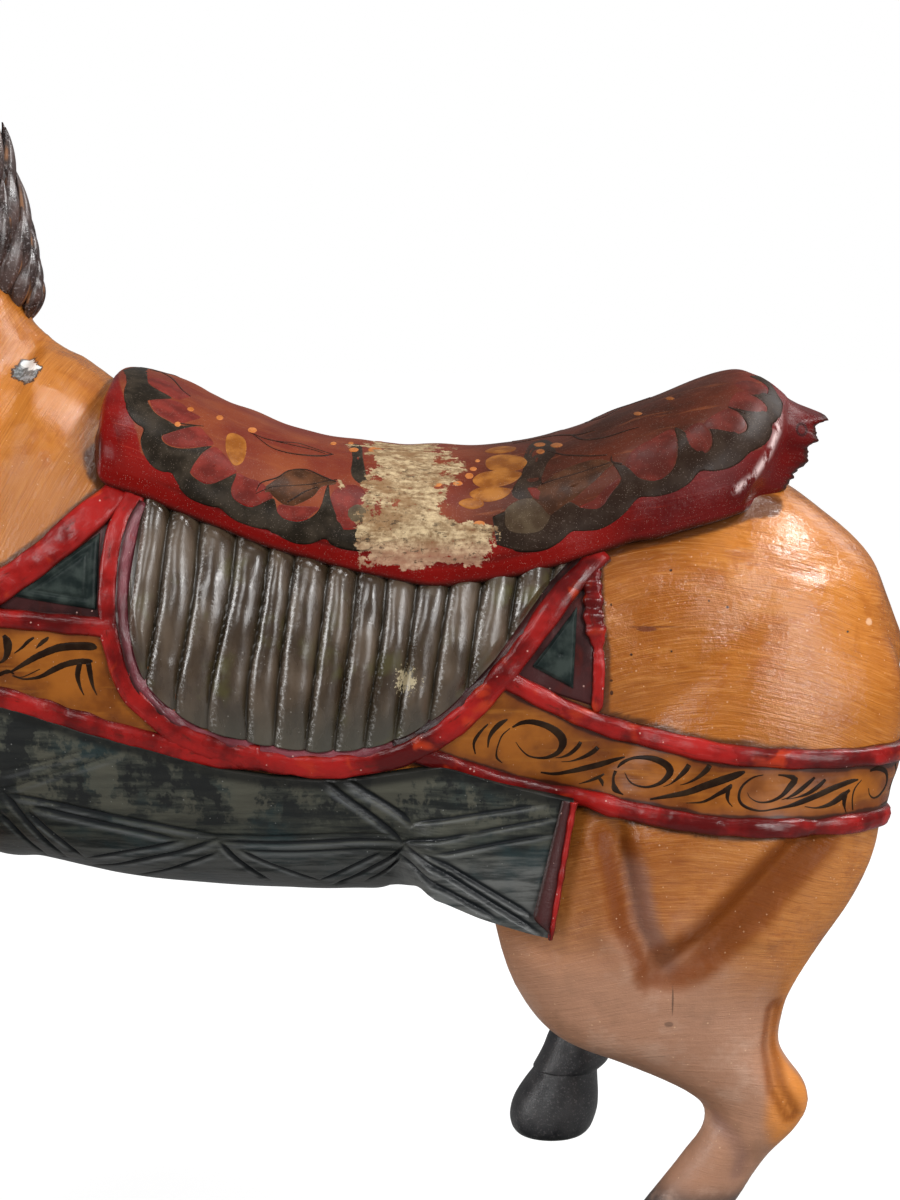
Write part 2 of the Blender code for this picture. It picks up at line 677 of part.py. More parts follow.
def saddle(skin):
    """The saddle from pommel to the broken cantle, closed inside the body."""
    angles = np.linspace(-math.pi / 2, math.pi / 2, SADDLE_ARC_POINTS)
    rings = []
    for i, (top_x, top_z, edge_x, edge_z) in enumerate(SADDLE):
        spot, _ = skin.side(edge_x, edge_z, -1)
        reach = abs(spot[1]) + SADDLE_LIP
        rise = np.abs(np.cos(angles)) ** SADDLE_CROWN
        across = reach * np.sin(angles)
        x = edge_x + (top_x - edge_x) * rise
        z = edge_z + (top_z - edge_z) * rise
        if i == len(SADDLE) - 1:
            x = x + BREAK_JAG * np.cos(np.arange(len(x)) * math.pi) * (rise > 0.5)
        arc = np.column_stack([x, across, z])
        under = np.array([(edge_x, reach * share - tuck, edge_z - sink) for share, tuck, sink in SADDLE_ROOT])
        if i == 0:
            arc[:, 0] += POMMEL_SETBACK
        rings.append(np.vstack([arc, under, (under * (1, -1, 1))[::-1]]))
    return closed_loft("saddle", rings)


def skirt(skin, sign):
    """The gathered cloth inside the skirt's edge: upright folds from saddle to edge."""
    edge = spaced(SKIRT_EDGE, SKIRT_SPACING)
    edge = edge[edge[:, 0].argmin() :]
    saddle_edge = np.array(SADDLE)[:, 2:]
    steps = RIB_COUNT * len(RIB_PROFILE)
    foot_x = np.linspace(edge[0, 0] + SKIRT_FRONT_GAP, edge[-1, 0] - SKIRT_REAR_GAP, steps + 1)
    foot_z = np.interp(foot_x, edge[:, 0], edge[:, 1])
    top_x = foot_x + RIB_LEAN
    top_z = np.interp(top_x, saddle_edge[:, 0], saddle_edge[:, 1]) + SKIRT_TUCK
    proud = np.append(np.tile(RIB_PROFILE, RIB_COUNT), RIB_PROFILE[0])
    down = np.linspace(0, 1, SKIRT_ROWS)[:, None]
    x = top_x * (1 - down) + foot_x * down
    z = top_z * (1 - down) + foot_z * down
    hits = [skin.side(*spot, sign)[0] for spot in zip(x.ravel(), z.ravel())]
    grid = np.array(hits).reshape(*x.shape, 3)
    normals = grid_normals(grid)
    normals *= np.sign(normals[..., 1:2]) * sign
    outer = grid + proud[None, :, None] * normals
    return shell(f"skirt_{side_name(sign)}", outer, grid - ROOT_DEPTH * normals)


def side_name(sign):
    """Near for the shown side, -Y, and far for the other."""
    return "near" if sign < 0 else "far"


def hoof(name, sole, lean):
    """A hoof from its flat sole to the coronet, wider below and sloping back."""
    turn = np.linspace(0, math.tau, HOOF_POINTS, endpoint=False)
    tilt = math.radians(lean)
    rings = []
    for share, swell in HOOF_PROFILE:
        x = HOOF_HALF_LENGTH * swell * np.cos(turn) + HOOF_SLOPE * share
        y = HOOF_HALF_WIDTH * swell * np.sin(turn)
        z = np.full(HOOF_POINTS, HOOF_HEIGHT * share)
        turned_x = x * math.cos(tilt) + z * math.sin(tilt)
        turned_z = z * math.cos(tilt) - x * math.sin(tilt)
        rings.append(np.column_stack([turned_x, y, turned_z]) + sole)
    return closed_loft(f"{name}_hoof", rings)


def mane():
    """The mane's core along the crest, with locks falling down both sides of it."""
    pieces = [limb("mane", MANE_CORE, points=10)]
    core = spaced(np.array(MANE_CORE)[1:], CORE_SPACING)
    stops = np.linspace(*LOCK_STOPS, MANE_LOCKS)
    off, root_thick, root_wide = LOCK_ROOT
    upper, middle, lower = LOCK_SWEEP
    for sign in (-1, 1):
        for i, stop in enumerate(stops):
            x, _, z, thick, wide = core[int(stop * (len(core) - 1))]
            inner = sign * 0.5 * wide
            deep = 0.5 * wide + LOCK_PROUD
            rows = (
                (x + 0.5 * thick, sign * off, z + 0.75 * thick, root_thick, root_wide),
                (x + 0.4 * thick, 0.6 * inner, z + 0.30 * thick, LOCK_SHOULDER, 0.7 * deep),
                (x - upper, inner, z - 0.3 * LOCK_LENGTH, LOCK_HALF_BREADTH, deep),
                (x - middle, inner, z - 0.7 * LOCK_LENGTH, 0.7 * LOCK_HALF_BREADTH, deep),
                (x - lower, 1.4 * inner, z - LOCK_LENGTH, LOCK_TIP, 0.6 * deep),
            )
            pieces.append(limb(f"lock_{i}_{side_name(sign)}", rows, per_gap=1, points=8))
    pieces.append(limb("forelock", FORELOCK, points=8))
    return pieces


def mirrored(rows):
    """Limb rows on the other side."""
    return [(x, -y, z, thick, wide) for x, y, z, thick, wide in rows]


def eye(sign):
    """A domed eye in the side of the head."""
    x, y, z = EYE
    rows = [
        (x, sign * y, z + EYE_RADIUS * s, EYE_RADIUS * c, EYE_RADIUS * EYE_FLATNESS * c)
        for s, c in ((0.96, 0.28), (0.7, 0.71), (0.0, 1.0), (-0.7, 0.71), (-0.96, 0.28))
    ]
    return limb(f"eye_{side_name(sign)}", rows, per_gap=1, points=10)


def trappings(skin):
    """Saddle, skirts, straps, bands and blanket."""
    pieces = [saddle(skin), blanket(skin)]
    for sign in (-1, 1):
        side = side_name(sign)
        pieces.append(skirt(skin, sign))
        pieces.append(side_ridge(f"skirt_edge_{side}", skin, SKIRT_EDGE, sign))
        pieces.append(side_ridge(f"rear_strap_{side}", skin, REAR_STRAP, sign))
        pieces.append(side_ridge(f"front_strap_{side}", skin, FRONT_STRAP, sign))
    pieces.append(band("rear_band", skin, REAR_BAND_TOP, REAR_BAND_FOOT, REAR_TURN_X))
    pieces.append(band("front_band", skin, FRONT_BAND_TOP, FRONT_BAND_FOOT, FRONT_TURN_X))
    return pieces


def horse():
    """The whole horse as one carved solid."""
    body = grow_skin("horse")
    skin = Skin(body.data)
    pieces = trappings(skin)
    pieces += [hoof(name, np.array(sole), lean) for name, (sole, lean) in HOOVES.items()]
    pieces += mane()
    pieces.append(limb("tail", TAIL, points=10))
    pieces += [limb("ear_far", EAR, points=8), limb("ear_near", mirrored(EAR), points=8)]
    pieces += [eye(-1), eye(1)]
    group = bpy.data.collections.new("carving")
    for piece in pieces:
        bpy.context.scene.collection.objects.unlink(piece)
        group.objects.link(piece)
        piece.hide_render = True
        piece.display_type = "WIRE"
    bpy.context.scene.collection.children.link(group)
    join = body.modifiers.new("join", "BOOLEAN")
    join.operation = "UNION"
    join.operand_type = "COLLECTION"
    join.collection = group
    join.solver = "EXACT"
    trim = body.modifiers.new("trim", "DECIMATE")
    trim.decimate_type = "DISSOLVE"
    trim.angle_limit = CARVING_FLATNESS
    body.data.materials.append(paint("ochre_varnish", (0.56, 0.22, 0.045), 0.35))
    return body


def base():
    """The low plank the horse stands on, with rounded edges."""
    half = np.array((BASE_LENGTH / 2, BASE_WIDTH / 2))
    corners = ((-1, -1), (1, -1), (1, 1), (-1, 1))
    rings = []
    for z in (0.0, BASE_THICKNESS):
        rings.append([(*(half * corner), z) for corner in corners])
    plank = closed_loft("base", rings)
    edge = plank.modifiers.new("edge", "BEVEL")
    edge.width = BASE_EDGE
    edge.segments = 3
    edge.limit_method = "ANGLE"
    plank.data.materials.append(paint("plank_paint", (0.045, 0.055, 0.050), 0.5))
    return plank


def main():
    """Build the base and the horse."""
    clear_scene()
    base()
    horse()


if __name__ == "__main__":
    main()
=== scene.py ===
"""The looks of a carved and painted carousel horse on a low plank base.

Metres, +Z up, the horse faces -X and its near side is -Y. The flesh is grown from limb
sections into one skin. The trappings are read off that skin and stand proud of it, and the
painted ornament lies on them as thin strokes.
"""

import logging
import math
from dataclasses import dataclass, field
from enum import Enum
from typing import Callable

import bpy
import numpy as np
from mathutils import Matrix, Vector


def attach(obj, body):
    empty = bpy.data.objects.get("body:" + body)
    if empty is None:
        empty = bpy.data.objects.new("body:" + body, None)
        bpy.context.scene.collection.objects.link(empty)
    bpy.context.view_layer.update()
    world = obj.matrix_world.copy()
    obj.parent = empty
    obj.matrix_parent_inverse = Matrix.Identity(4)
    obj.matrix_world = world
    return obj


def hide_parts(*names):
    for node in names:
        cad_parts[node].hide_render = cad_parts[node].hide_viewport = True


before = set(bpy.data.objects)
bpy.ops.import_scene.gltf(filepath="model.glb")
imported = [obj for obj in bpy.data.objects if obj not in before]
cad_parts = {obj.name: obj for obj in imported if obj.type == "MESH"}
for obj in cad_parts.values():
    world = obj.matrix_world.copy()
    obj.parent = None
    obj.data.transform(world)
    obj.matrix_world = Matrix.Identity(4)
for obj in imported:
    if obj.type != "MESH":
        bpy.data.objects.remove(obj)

Array = np.ndarray
Placer = Callable[[Array, Array, Array], Array]
NEAR, FAR = -1, 1
HALF_TURN = math.pi
LEVEL = np.array((0.0, 1.0, 0.0))
# How far below the skin a slab's or moulding's hidden foot is sunk
ROOT_DEPTH = 0.006
# A paint film's sunk underside, and how far its edges dip
FILM_SUNK, FILM_DIP = 0.0005, 0.00004
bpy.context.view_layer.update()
log = logging.getLogger("carousel_horse")


# ---------------------------------------------------------------- curves and grids


def smooth_rows(rows: Array, per_gap: int) -> Array:
    """Rows on a Catmull-Rom curve through the given ones.

    Args:
        rows: The knots, one a row.
        per_gap: How many rows start in each gap.

    Returns:
        The finer rows, ending on the last knot.
    """
    rows = np.asarray(rows, float)
    ends = np.vstack([2 * rows[0] - rows[1], rows, 2 * rows[-1] - rows[-2]])
    before, here, there, after = (ends[i : i + len(rows) - 1, None] for i in range(4))
    t = (np.arange(per_gap) / per_gap)[None, :, None]
    fine = (
        here
        + t * (there - before) / 2
        + t**2 * (before - 2.5 * here + 2 * there - after / 2)
        + t**3 * ((after - before) / 2 + 1.5 * (here - there))
    )
    return np.vstack([fine.reshape(-1, rows.shape[1]), rows[-1:]])


def spaced(points: Array, spacing: float, columns: int = 2) -> Array:
    """Rows about one spacing apart along a smooth curve.

    Args:
        points: The knots; the first columns are their place.
        spacing: The distance between neighbours.
        columns: How many columns count as the place.

    Returns:
        The evenly spaced rows.
    """
    fine = smooth_rows(points, 16)
    run = run_along(fine[:, :columns])
    stops = np.linspace(0, run[-1], max(3, round(run[-1] / spacing) + 1))
    return np.column_stack([np.interp(stops, run, column) for column in fine.T])


def run_along(points: Array) -> Array:
    """The distance run from the first point to each along the broken line through them."""
    return np.concatenate([[0.0], np.cumsum(np.linalg.norm(np.diff(points, axis=0), axis=1))])


def full_turn(count: int) -> Array:
    """That many even angles round a full turn, the start not repeated."""
    return np.linspace(0, 2 * HALF_TURN, count, endpoint=False)


def unit(vectors: Array) -> Array:
    """The vectors at length 1."""
    length = np.linalg.norm(vectors, axis=-1, keepdims=True)
    return vectors / np.maximum(length, 1e-12)


def ease(value: Array, start: float, end: float) -> Array:
    """0 before start, 1 after end, and a smooth cubic step between."""
    t = np.clip((value - start) / (end - start), 0, 1)
    return t * t * (3 - 2 * t)


def bell(distance: Array, breadth: float) -> Array:
    """1 at distance 0 and falling off as a bell curve of that breadth."""
    return np.exp(-((distance / breadth) ** 2))


def blurred(values: Array, passes: int) -> Array:
    """The grid with each value averaged with its neighbours, the borders held."""
    for _ in range(passes):
        for axis in (0, 1):
            padded = np.concatenate([values.take([0], axis), values, values.take([-1], axis)], axis)
            count = values.shape[axis]
            low, mid, high = (padded.take(np.arange(count) + i, axis) for i in range(3))
            values = (low + 2 * mid + high) / 4
    return values


def unevenness(a: Array, b: Array, seed: int, wave: float) -> Array:
    """A hand-cut surface's slow swell, about -1 to 1: six crossing sine waves.

    Args:
        a: First coordinate in metres.
        b: Second coordinate in metres.
        seed: Which set of waves.
        wave: The mean wave length in metres.

    Returns:
        The swell at each point.
    """
    turns, sizes, starts = np.random.default_rng(seed).random((3, 6))
    total = 0.0
    for turn, size, start in zip(turns, sizes, starts):
        angle = HALF_TURN * turn
        length = wave * (0.6 + 0.9 * size)
        phase = (a * math.cos(angle) + b * math.sin(angle)) / length + start
        total = total + np.sin(2 * HALF_TURN * phase)
    return total / 3


def distance_to_path(a: Array, b: Array, path: Array) -> Array:
    """The distance of each point from a broken line in the plane.

    Args:
        a: First coordinates of the points.
        b: Second coordinates of the points.
        path: The line's corners, (n, 2).

    Returns:
        The distances, shaped as a.
    """
    nearest = np.full(np.shape(a), np.inf)
    for (a0, b0), (a1, b1) in zip(path[:-1], path[1:]):
        along = np.array((a1 - a0, b1 - b0))
        share = ((a - a0) * along[0] + (b - b0) * along[1]) / max(along @ along, 1e-12)
        share = np.clip(share, 0, 1)
        gap = np.hypot(a - a0 - share * along[0], b - b0 - share * along[1])
        nearest = np.minimum(nearest, gap)
    return nearest


# ---------------------------------------------------------------- shapes and pieces


@dataclass
class Shape:
    """Points, four-cornered faces and per-point values of one or more closed forms."""

    points: Array
    faces: Array
    uv: Array
    marks: dict[str, Array] = field(default_factory=dict)

    def outward(self) -> "Shape":
        """The same shape with its faces turned out, by the sign of its volume."""
        a, b, c, d = (self.points[self.faces[:, i]] - self.points.mean(0) for i in range(4))
        volume = (np.cross(b - a, c - a) * a).sum() + (np.cross(c - a, d - a) * a).sum()
        if volume < 0:
            self.faces = self.faces[:, ::-1]
        return self


def joined(shapes: list[Shape]) -> Shape:
    """One shape of several."""
    starts = np.cumsum([0] + [len(shape.points) for shape in shapes[:-1]])
    return Shape(
        np.vstack([shape.points for shape in shapes]),
        np.vstack([shape.faces + start for shape, start in zip(shapes, starts)]),
        np.vstack([shape.uv for shape in shapes]),
        {key: np.concatenate([s.marks[key] for s in shapes]) for key in shapes[0].marks},
    )


def tube(rings: Array, uv: Array | None = None) -> Shape:
    """A closed form through rings of points, each ring with the same even number.

    Args:
        rings: The points, (rings, around, 3).
        uv: Per-point surface coordinates, (rings, around, 2).

    Returns:
        The form, its two ends closed by strips of quads.
    """
    rows, around = rings.shape[:2]
    index = np.arange(rows * around).reshape(rows, around)
    after = np.roll(index, -1, axis=1)
    sides = np.stack([index[:-1], after[:-1], after[1:], index[1:]], axis=-1)
    step = np.arange(around // 2 - 1)
    cap = np.stack([step, step + 1, around - 2 - step, around - 1 - step], axis=-1)
    faces = np.vstack([sides.reshape(-1, 4), cap[:, ::-1], cap + index[-1, 0]])
    if uv is None:
        share = np.meshgrid(np.linspace(0, 1, rows), np.linspace(0, 1, around), indexing="ij")
        uv = np.stack(share, axis=-1)
    return Shape(rings.reshape(-1, 3), faces, uv.reshape(-1, 2)).outward()


def slab(outer: Array, roots: Array, core: Array, uv: Array, **marks: Array) -> Shape:
    """A closed slab: a fine outer grid, walls down to its roots, and a fan to a hidden core.

    Args:
        outer: The seen surface, (rows, columns, 3), both counts odd.
        roots: The grid sunk into the wood, of which only the border is used.
        core: The hidden point the underside runs to.
        uv: Per-point surface coordinates, (rows, columns, 2).
        **marks: Per-point values, (rows, columns).

    Returns:
        The slab.
    """
    rows, columns = outer.shape[:2]
    index = np.arange(rows * columns).reshape(rows, columns)
    cells = np.stack([index[:-1, :-1], index[1:, :-1], index[1:, 1:], index[:-1, 1:]], -1)
    ring = np.concatenate([index[0, :-1], index[:-1, -1], index[-1, :0:-1], index[:0:-1, 0]])
    count = len(ring)
    below = rows * columns + np.arange(count)
    walls = np.stack([ring, np.roll(ring, -1), np.roll(below, -1), below], -1)
    start = np.arange(0, count, 2)
    fan = np.stack(
        [below[start], below[start + 1], below[(start + 2) % count], 0 * start + below[-1] + 1], -1
    )
    shape = Shape(
        np.vstack([outer.reshape(-1, 3), roots.reshape(-1, 3)[ring], core[None]]),
        np.vstack([cells.reshape(-1, 4), walls, fan]),
        np.vstack([uv.reshape(-1, 2), uv.reshape(-1, 2)[ring], uv.reshape(-1, 2)[:1]]),
    )
    for key, values in marks.items():
        flat = values.ravel()
        shape.marks[key] = np.concatenate([flat, flat[ring], flat[:1]])
    return shape.outward()


def linked(name: str, data: bpy.types.ID) -> bpy.types.Object:
    """A new object of the data, linked to the scene."""
    obj = bpy.data.objects.new(name, data)
    bpy.context.scene.collection.objects.link(obj)
    return obj


def store(mesh: bpy.types.Mesh, key: str, values: Array) -> None:
    """Keep one value a vertex on the mesh, for its finish to read."""
    mesh.attributes.new(key, "FLOAT", "POINT").data.foreach_set("value", values.astype(np.float32))


def new_object(name: str, shape: Shape) -> bpy.types.Object:
    """A smooth-shaded object of the shape, with its surface coordinates and marks."""
    mesh = bpy.data.meshes.new(name)
    mesh.from_pydata(shape.points.tolist(), [], shape.faces.tolist())
    layer = mesh.uv_layers.new(name="surface")
    layer.data.foreach_set("uv", shape.uv[shape.faces.ravel()].astype(np.float32).ravel())
    for key, values in shape.marks.items():
        store(mesh, key, values)
    mesh.shade_smooth()
    return linked(name, mesh)


def points_of(mesh: bpy.types.Mesh, what: str = "co") -> Array:
    """The mesh's vertex places or normals as an array."""
    out = np.empty(3 * len(mesh.vertices), np.float32)
    mesh.vertices.foreach_get(what, out)
    return out.reshape(-1, 3).astype(float)


def settled_mesh(obj: bpy.types.Object) -> bpy.types.Mesh:
    """A plain mesh of the object as its modifiers leave it."""
    graph = bpy.context.evaluated_depsgraph_get()
    return bpy.data.meshes.new_from_object(obj.evaluated_get(graph), depsgraph=graph)


def finish_piece(obj: bpy.types.Object, finish: "Finish", node: str = "horse") -> None:
    """Dress a piece, let it ride on the body and hide the CAD node it stands for."""
    obj.data.materials.clear()
    obj.data.materials.append(finish.material())
    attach(obj, "root")
    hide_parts(node)
    log.info("%s: %d faces, %s", obj.name, len(obj.data.polygons), finish.slot.value)


# ---------------------------------------------------------------- the flesh


@dataclass
class Flesh:
    """Trunk, neck, head and legs, lofted from their sections and grown into one skin.

    Limb rows are x, y, z of the middle, half thickness in the side view and half width.
    """

    voxel: float = 0.0040
    soften: int = 9
    around: int = 32
    trunk_roundness: float = 2.25
    # x, back line, belly line and half width
    trunk: tuple = (
        (-0.318, 0.6, 0.52, 0.03), (-0.295, 0.655, 0.455, 0.078), (-0.235, 0.7, 0.41, 0.104),
        (-0.155, 0.738, 0.402, 0.114), (-0.108, 0.724, 0.394, 0.119), (-0.06, 0.692, 0.386, 0.122),
        (0.04, 0.672, 0.38, 0.125), (0.14, 0.662, 0.388, 0.123), (0.23, 0.668, 0.394, 0.118),
        (0.31, 0.668, 0.42, 0.112), (0.364, 0.634, 0.446, 0.098), (0.401, 0.59, 0.468, 0.08),
        (0.426, 0.552, 0.492, 0.048),
    )  # fmt: skip
    neck: tuple = (
        (-0.195, 0.0, 0.57, 0.125, 0.09), (-0.221, 0.0, 0.65, 0.118, 0.08),
        (-0.24, 0.0, 0.715, 0.105, 0.069), (-0.262, 0.0, 0.79, 0.085, 0.059),
        (-0.283, 0.0, 0.86, 0.072, 0.051), (-0.315, 0.0, 0.915, 0.062, 0.045),
        (-0.35, 0.0, 0.935, 0.045, 0.038),
    )  # fmt: skip
    head: tuple = (
        (-0.305, 0.0, 0.945, 0.035, 0.034), (-0.335, 0.0, 0.915, 0.06, 0.044),
        (-0.372, 0.0, 0.877, 0.064, 0.045), (-0.41, 0.0, 0.835, 0.05, 0.036),
        (-0.443, 0.0, 0.793, 0.037, 0.028), (-0.468, 0.0, 0.757, 0.035, 0.03),
        (-0.485, 0.0, 0.732, 0.024, 0.022),
    )  # fmt: skip
    jowl: tuple = (
        (-0.318, 0.0, 0.905, 0.03, 0.036), (-0.345, 0.0, 0.872, 0.048, 0.05),
        (-0.372, 0.0, 0.842, 0.03, 0.036),
    )  # fmt: skip
    # By its outline: front x, z, back x, z, y of the middle and half width
    near_hind_leg: tuple = (
        (0.27, 0.6, 0.395, 0.59, -0.05, 0.05), (0.215, 0.52, 0.428, 0.523, -0.06, 0.062),
        (0.185, 0.45, 0.414, 0.44, -0.068, 0.064), (0.16, 0.385, 0.4, 0.392, -0.072, 0.06),
        (0.163, 0.35, 0.375, 0.355, -0.074, 0.056), (0.174, 0.32, 0.355, 0.322, -0.075, 0.049),
        (0.199, 0.291, 0.348, 0.3, -0.076, 0.043), (0.238, 0.274, 0.347, 0.285, -0.075, 0.037),
        (0.266, 0.262, 0.353, 0.274, -0.075, 0.033), (0.288, 0.25, 0.365, 0.258, -0.074, 0.03),
        (0.299, 0.239, 0.368, 0.242, -0.073, 0.0285), (0.297, 0.222, 0.359, 0.226, -0.073, 0.0265),
        (0.283, 0.203, 0.341, 0.205, -0.071, 0.024), (0.261, 0.175, 0.321, 0.176, -0.07, 0.0235),
        (0.233, 0.13, 0.291, 0.13, -0.07, 0.025), (0.217, 0.105, 0.266, 0.105, -0.069, 0.0215),
        (0.206, 0.074, 0.254, 0.074, -0.069, 0.0225),
    )  # fmt: skip
    far_hind_leg: tuple = (
        (0.34, 0.05, 0.59, 0.06, 0.05), (0.32, 0.062, 0.51, 0.1, 0.064),
        (0.278, 0.07, 0.44, 0.106, 0.06), (0.25, 0.074, 0.396, 0.09, 0.052),
        (0.262, 0.076, 0.36, 0.066, 0.042), (0.3, 0.075, 0.342, 0.046, 0.033),
        (0.335, 0.073, 0.337, 0.034, 0.027), (0.318, 0.071, 0.316, 0.029, 0.023),
        (0.282, 0.07, 0.29, 0.026, 0.0215), (0.245, 0.069, 0.266, 0.0265, 0.024),
        (0.225, 0.069, 0.24, 0.02, 0.0205), (0.218, 0.069, 0.222, 0.018, 0.019),
    )  # fmt: skip
    near_fore_leg: tuple = (
        (-0.215, -0.05, 0.57, 0.085, 0.055), (-0.232, -0.062, 0.5, 0.08, 0.05),
        (-0.252, -0.068, 0.44, 0.06, 0.042), (-0.295, -0.07, 0.408, 0.042, 0.034),
        (-0.345, -0.07, 0.385, 0.034, 0.028), (-0.375, -0.07, 0.362, 0.033, 0.027),
        (-0.372, -0.07, 0.325, 0.026, 0.022), (-0.358, -0.07, 0.275, 0.023, 0.02),
        (-0.342, -0.07, 0.225, 0.0265, 0.0235), (-0.342, -0.07, 0.205, 0.023, 0.0215),
        (-0.348, -0.07, 0.182, 0.024, 0.0225),
    )  # fmt: skip
    far_fore_leg: tuple = (
        (-0.215, 0.05, 0.57, 0.085, 0.055), (-0.235, 0.062, 0.5, 0.076, 0.05),
        (-0.254, 0.068, 0.43, 0.055, 0.042), (-0.266, 0.07, 0.36, 0.041, 0.034),
        (-0.272, 0.07, 0.3, 0.033, 0.028), (-0.274, 0.07, 0.275, 0.034, 0.029),
        (-0.274, 0.07, 0.24, 0.026, 0.023), (-0.276, 0.07, 0.18, 0.023, 0.02),
        (-0.28, 0.07, 0.125, 0.0265, 0.0235), (-0.292, 0.07, 0.1, 0.023, 0.0215),
        (-0.304, 0.07, 0.075, 0.024, 0.0225),
    )  # fmt: skip
    # The withers: how far they are planed down at each x
    withers: tuple = (
        (-0.165, 0.0), (-0.15, 0.004), (-0.1455, 0.001), (-0.139, -0.005), (-0.133, -0.0046),
        (-0.127, -0.002), (-0.117, 0.0012), (-0.11, 0.0055), (-0.1, 0.011), (-0.085, 0.016),
        (-0.05, 0.013), (-0.02, 0.005), (0.01, 0.0),
    )  # fmt: skip
    # The thigh's carved V, as x, z corners of its two arms, and the knob beside its front arm
    thigh_front_arm: tuple = ((0.2315, 0.450), (0.2400, 0.4130), (0.2470, 0.378), (0.2625, 0.346))
    thigh_back_arm: tuple = ((0.3600, 0.4330), (0.3300, 0.4010), (0.2960, 0.3660), (0.2680, 0.344))
    groove_depth: float = 0.0100
    groove_breadth: float = 0.0095
    knob_spot: tuple = (0.243, 0.428)
    # The hollows at the hock and down the shank
    hollow_depth: float = 0.0030
    hollow_breadth: float = 0.0085
    hock_hollow: tuple = ((0.3431, 0.3119), (0.3402, 0.2865), (0.3439, 0.2609), (0.3542, 0.2420))
    shank_hollow: tuple = ((0.3028, 0.2352), (0.3150, 0.2260), (0.3220, 0.2120), (0.3199, 0.1991))

    def section_tube(self, rows: Array, roundness: float = 2.0) -> Shape:
        """A limb through its rows, each section a superellipse across the limb's run.

        Args:
            rows: Limb rows.
            roundness: The superellipse's power.

        Returns:
            The closed limb.
        """
        rows = smooth_rows(rows, 6)
        middle = rows[:, :3]
        front = unit(np.cross(unit(np.gradient(middle, axis=0)), LEVEL))
        turn = full_turn(self.around)
        thick, wide = (np.sign(w) * np.abs(w) ** (2 / roundness) for w in (np.cos(turn), np.sin(turn)))
        return tube(
            middle[:, None]
            + rows[:, None, 3:4] * thick[None, :, None] * front[:, None]
            + rows[:, None, 4:5] * wide[None, :, None] * LEVEL
        )

    def outline_tube(self, rows: Array) -> Shape:
        """A limb through rows of front x, z, back x, z, middle y and half width."""
        rows = smooth_rows(rows, 6)
        turn = full_turn(self.around)
        front, back = (np.column_stack([rows[:, i], rows[:, 4], rows[:, i + 1]]) for i in (0, 2))
        middle = (front + back) / 2
        wide = rows[:, None, 5:6] * np.sin(turn)[None, :, None] * LEVEL
        return tube(middle[:, None] + np.cos(turn)[None, :, None] * (back - middle)[:, None] + wide)

    def trunk_rows(self) -> Array:
        """The trunk as limb rows."""
        x, top, foot, wide = np.array(self.trunk).T
        return np.column_stack([x, 0 * x, (top + foot) / 2, (top - foot) / 2, wide])

    def section_at(self, x: Array) -> tuple[Array, Array, Array]:
        """Middle height, half height and half width of the trunk at x."""
        rows = smooth_rows(self.trunk_rows(), 8)
        return tuple(np.interp(x, rows[:, 0], rows[:, i]) for i in (2, 3, 4))

    def grown(self) -> bpy.types.Object:
        """All limbs grown into one skin by a voxel remesh, softened and then carved."""
        limbs = [self.section_tube(self.trunk_rows(), self.trunk_roundness)]
        rows = (self.neck, self.head, self.jowl, self.far_hind_leg, self.near_fore_leg)
        limbs += [self.section_tube(limb) for limb in (*rows, self.far_fore_leg)]
        limbs.append(self.outline_tube(self.near_hind_leg))
        body = new_object("horse_body", joined(limbs))
        grow = body.modifiers.new("grow", "REMESH")
        grow.mode = "VOXEL"
        grow.voxel_size = self.voxel
        smooth = body.modifiers.new("smooth", "SMOOTH")
        smooth.factor = 0.5
        smooth.iterations = self.soften
        body.data = settled_mesh(body)
        body.modifiers.clear()
        body.data.shade_smooth()
        self.carve(body.data)
        return body

    def carve(self, mesh: bpy.types.Mesh) -> None:
        """Press grooves, muscles and the face into the skin, and mark the paint's tones and its painted
        groove shade.

        Each stroke moves the skin along its normal by a depth times a bell curve of the
        distance to the stroke's path in the side view.

        Args:
            mesh: The skin.
        """
        spots, normals = points_of(mesh), points_of(mesh, "normal")
        x, y, z = spots.T
        near = ease(-y, 0.02, 0.05) * ease(-normals[:, 1], 0.05, 0.45)
        either = ease(np.abs(normals[:, 1]), 0.1, 0.5)
        front_arm, back_arm, hock, shank = (
            distance_to_path(x, z, np.array(path))
            for path in (self.thigh_front_arm, self.thigh_back_arm, self.hock_hollow, self.shank_hollow)
        )
        fade_up = ease(z, 0.452, 0.43)
        arms = [bell(arm, self.groove_breadth) for arm in (front_arm, back_arm)]
        press = near * fade_up * self.groove_depth * np.maximum(*arms)
        inside = ease(z, 0.352, 0.372) * (x > 0.24) * (x < 0.34) * np.minimum(front_arm, back_arm)
        press -= near * 0.0025 * ease(inside, 0.004, 0.018) * fade_up
        lip = np.minimum(np.abs(front_arm - 0.016), np.abs(back_arm - 0.016))
        press -= near * fade_up * 0.0012 * bell(lip, 0.010) * ease(z, 0.33, 0.35)
        deep, broad = near * self.hollow_depth, self.hollow_breadth
        press += deep * bell(hock, broad) + deep * bell(shank, broad)
        knob = np.hypot(x - self.knob_spot[0], z - self.knob_spot[1])
        press -= near * 0.0030 * bell(knob, 0.006)
        flank = distance_to_path(x, z, np.array(((0.172, 0.362), (0.196, 0.353), (0.226, 0.356))))
        press += near * 0.0016 * bell(flank, 0.007)
        for path, depth, breadth in self.face_strokes():
            press += either * depth * bell(distance_to_path(x, z, np.array(path)), breadth)
        shoulder = distance_to_path(x, z, np.array(((-0.150, 0.640), (-0.195, 0.560), (-0.285, 0.520))))
        press += either * 0.0030 * bell(shoulder, 0.016) * (z < 0.70)
        planed = np.interp(x, *np.array(self.withers).T) * ease(z, 0.63, 0.70)
        cut = unevenness(x + 0.3 * y, z, 3, 0.075) * 0.0007
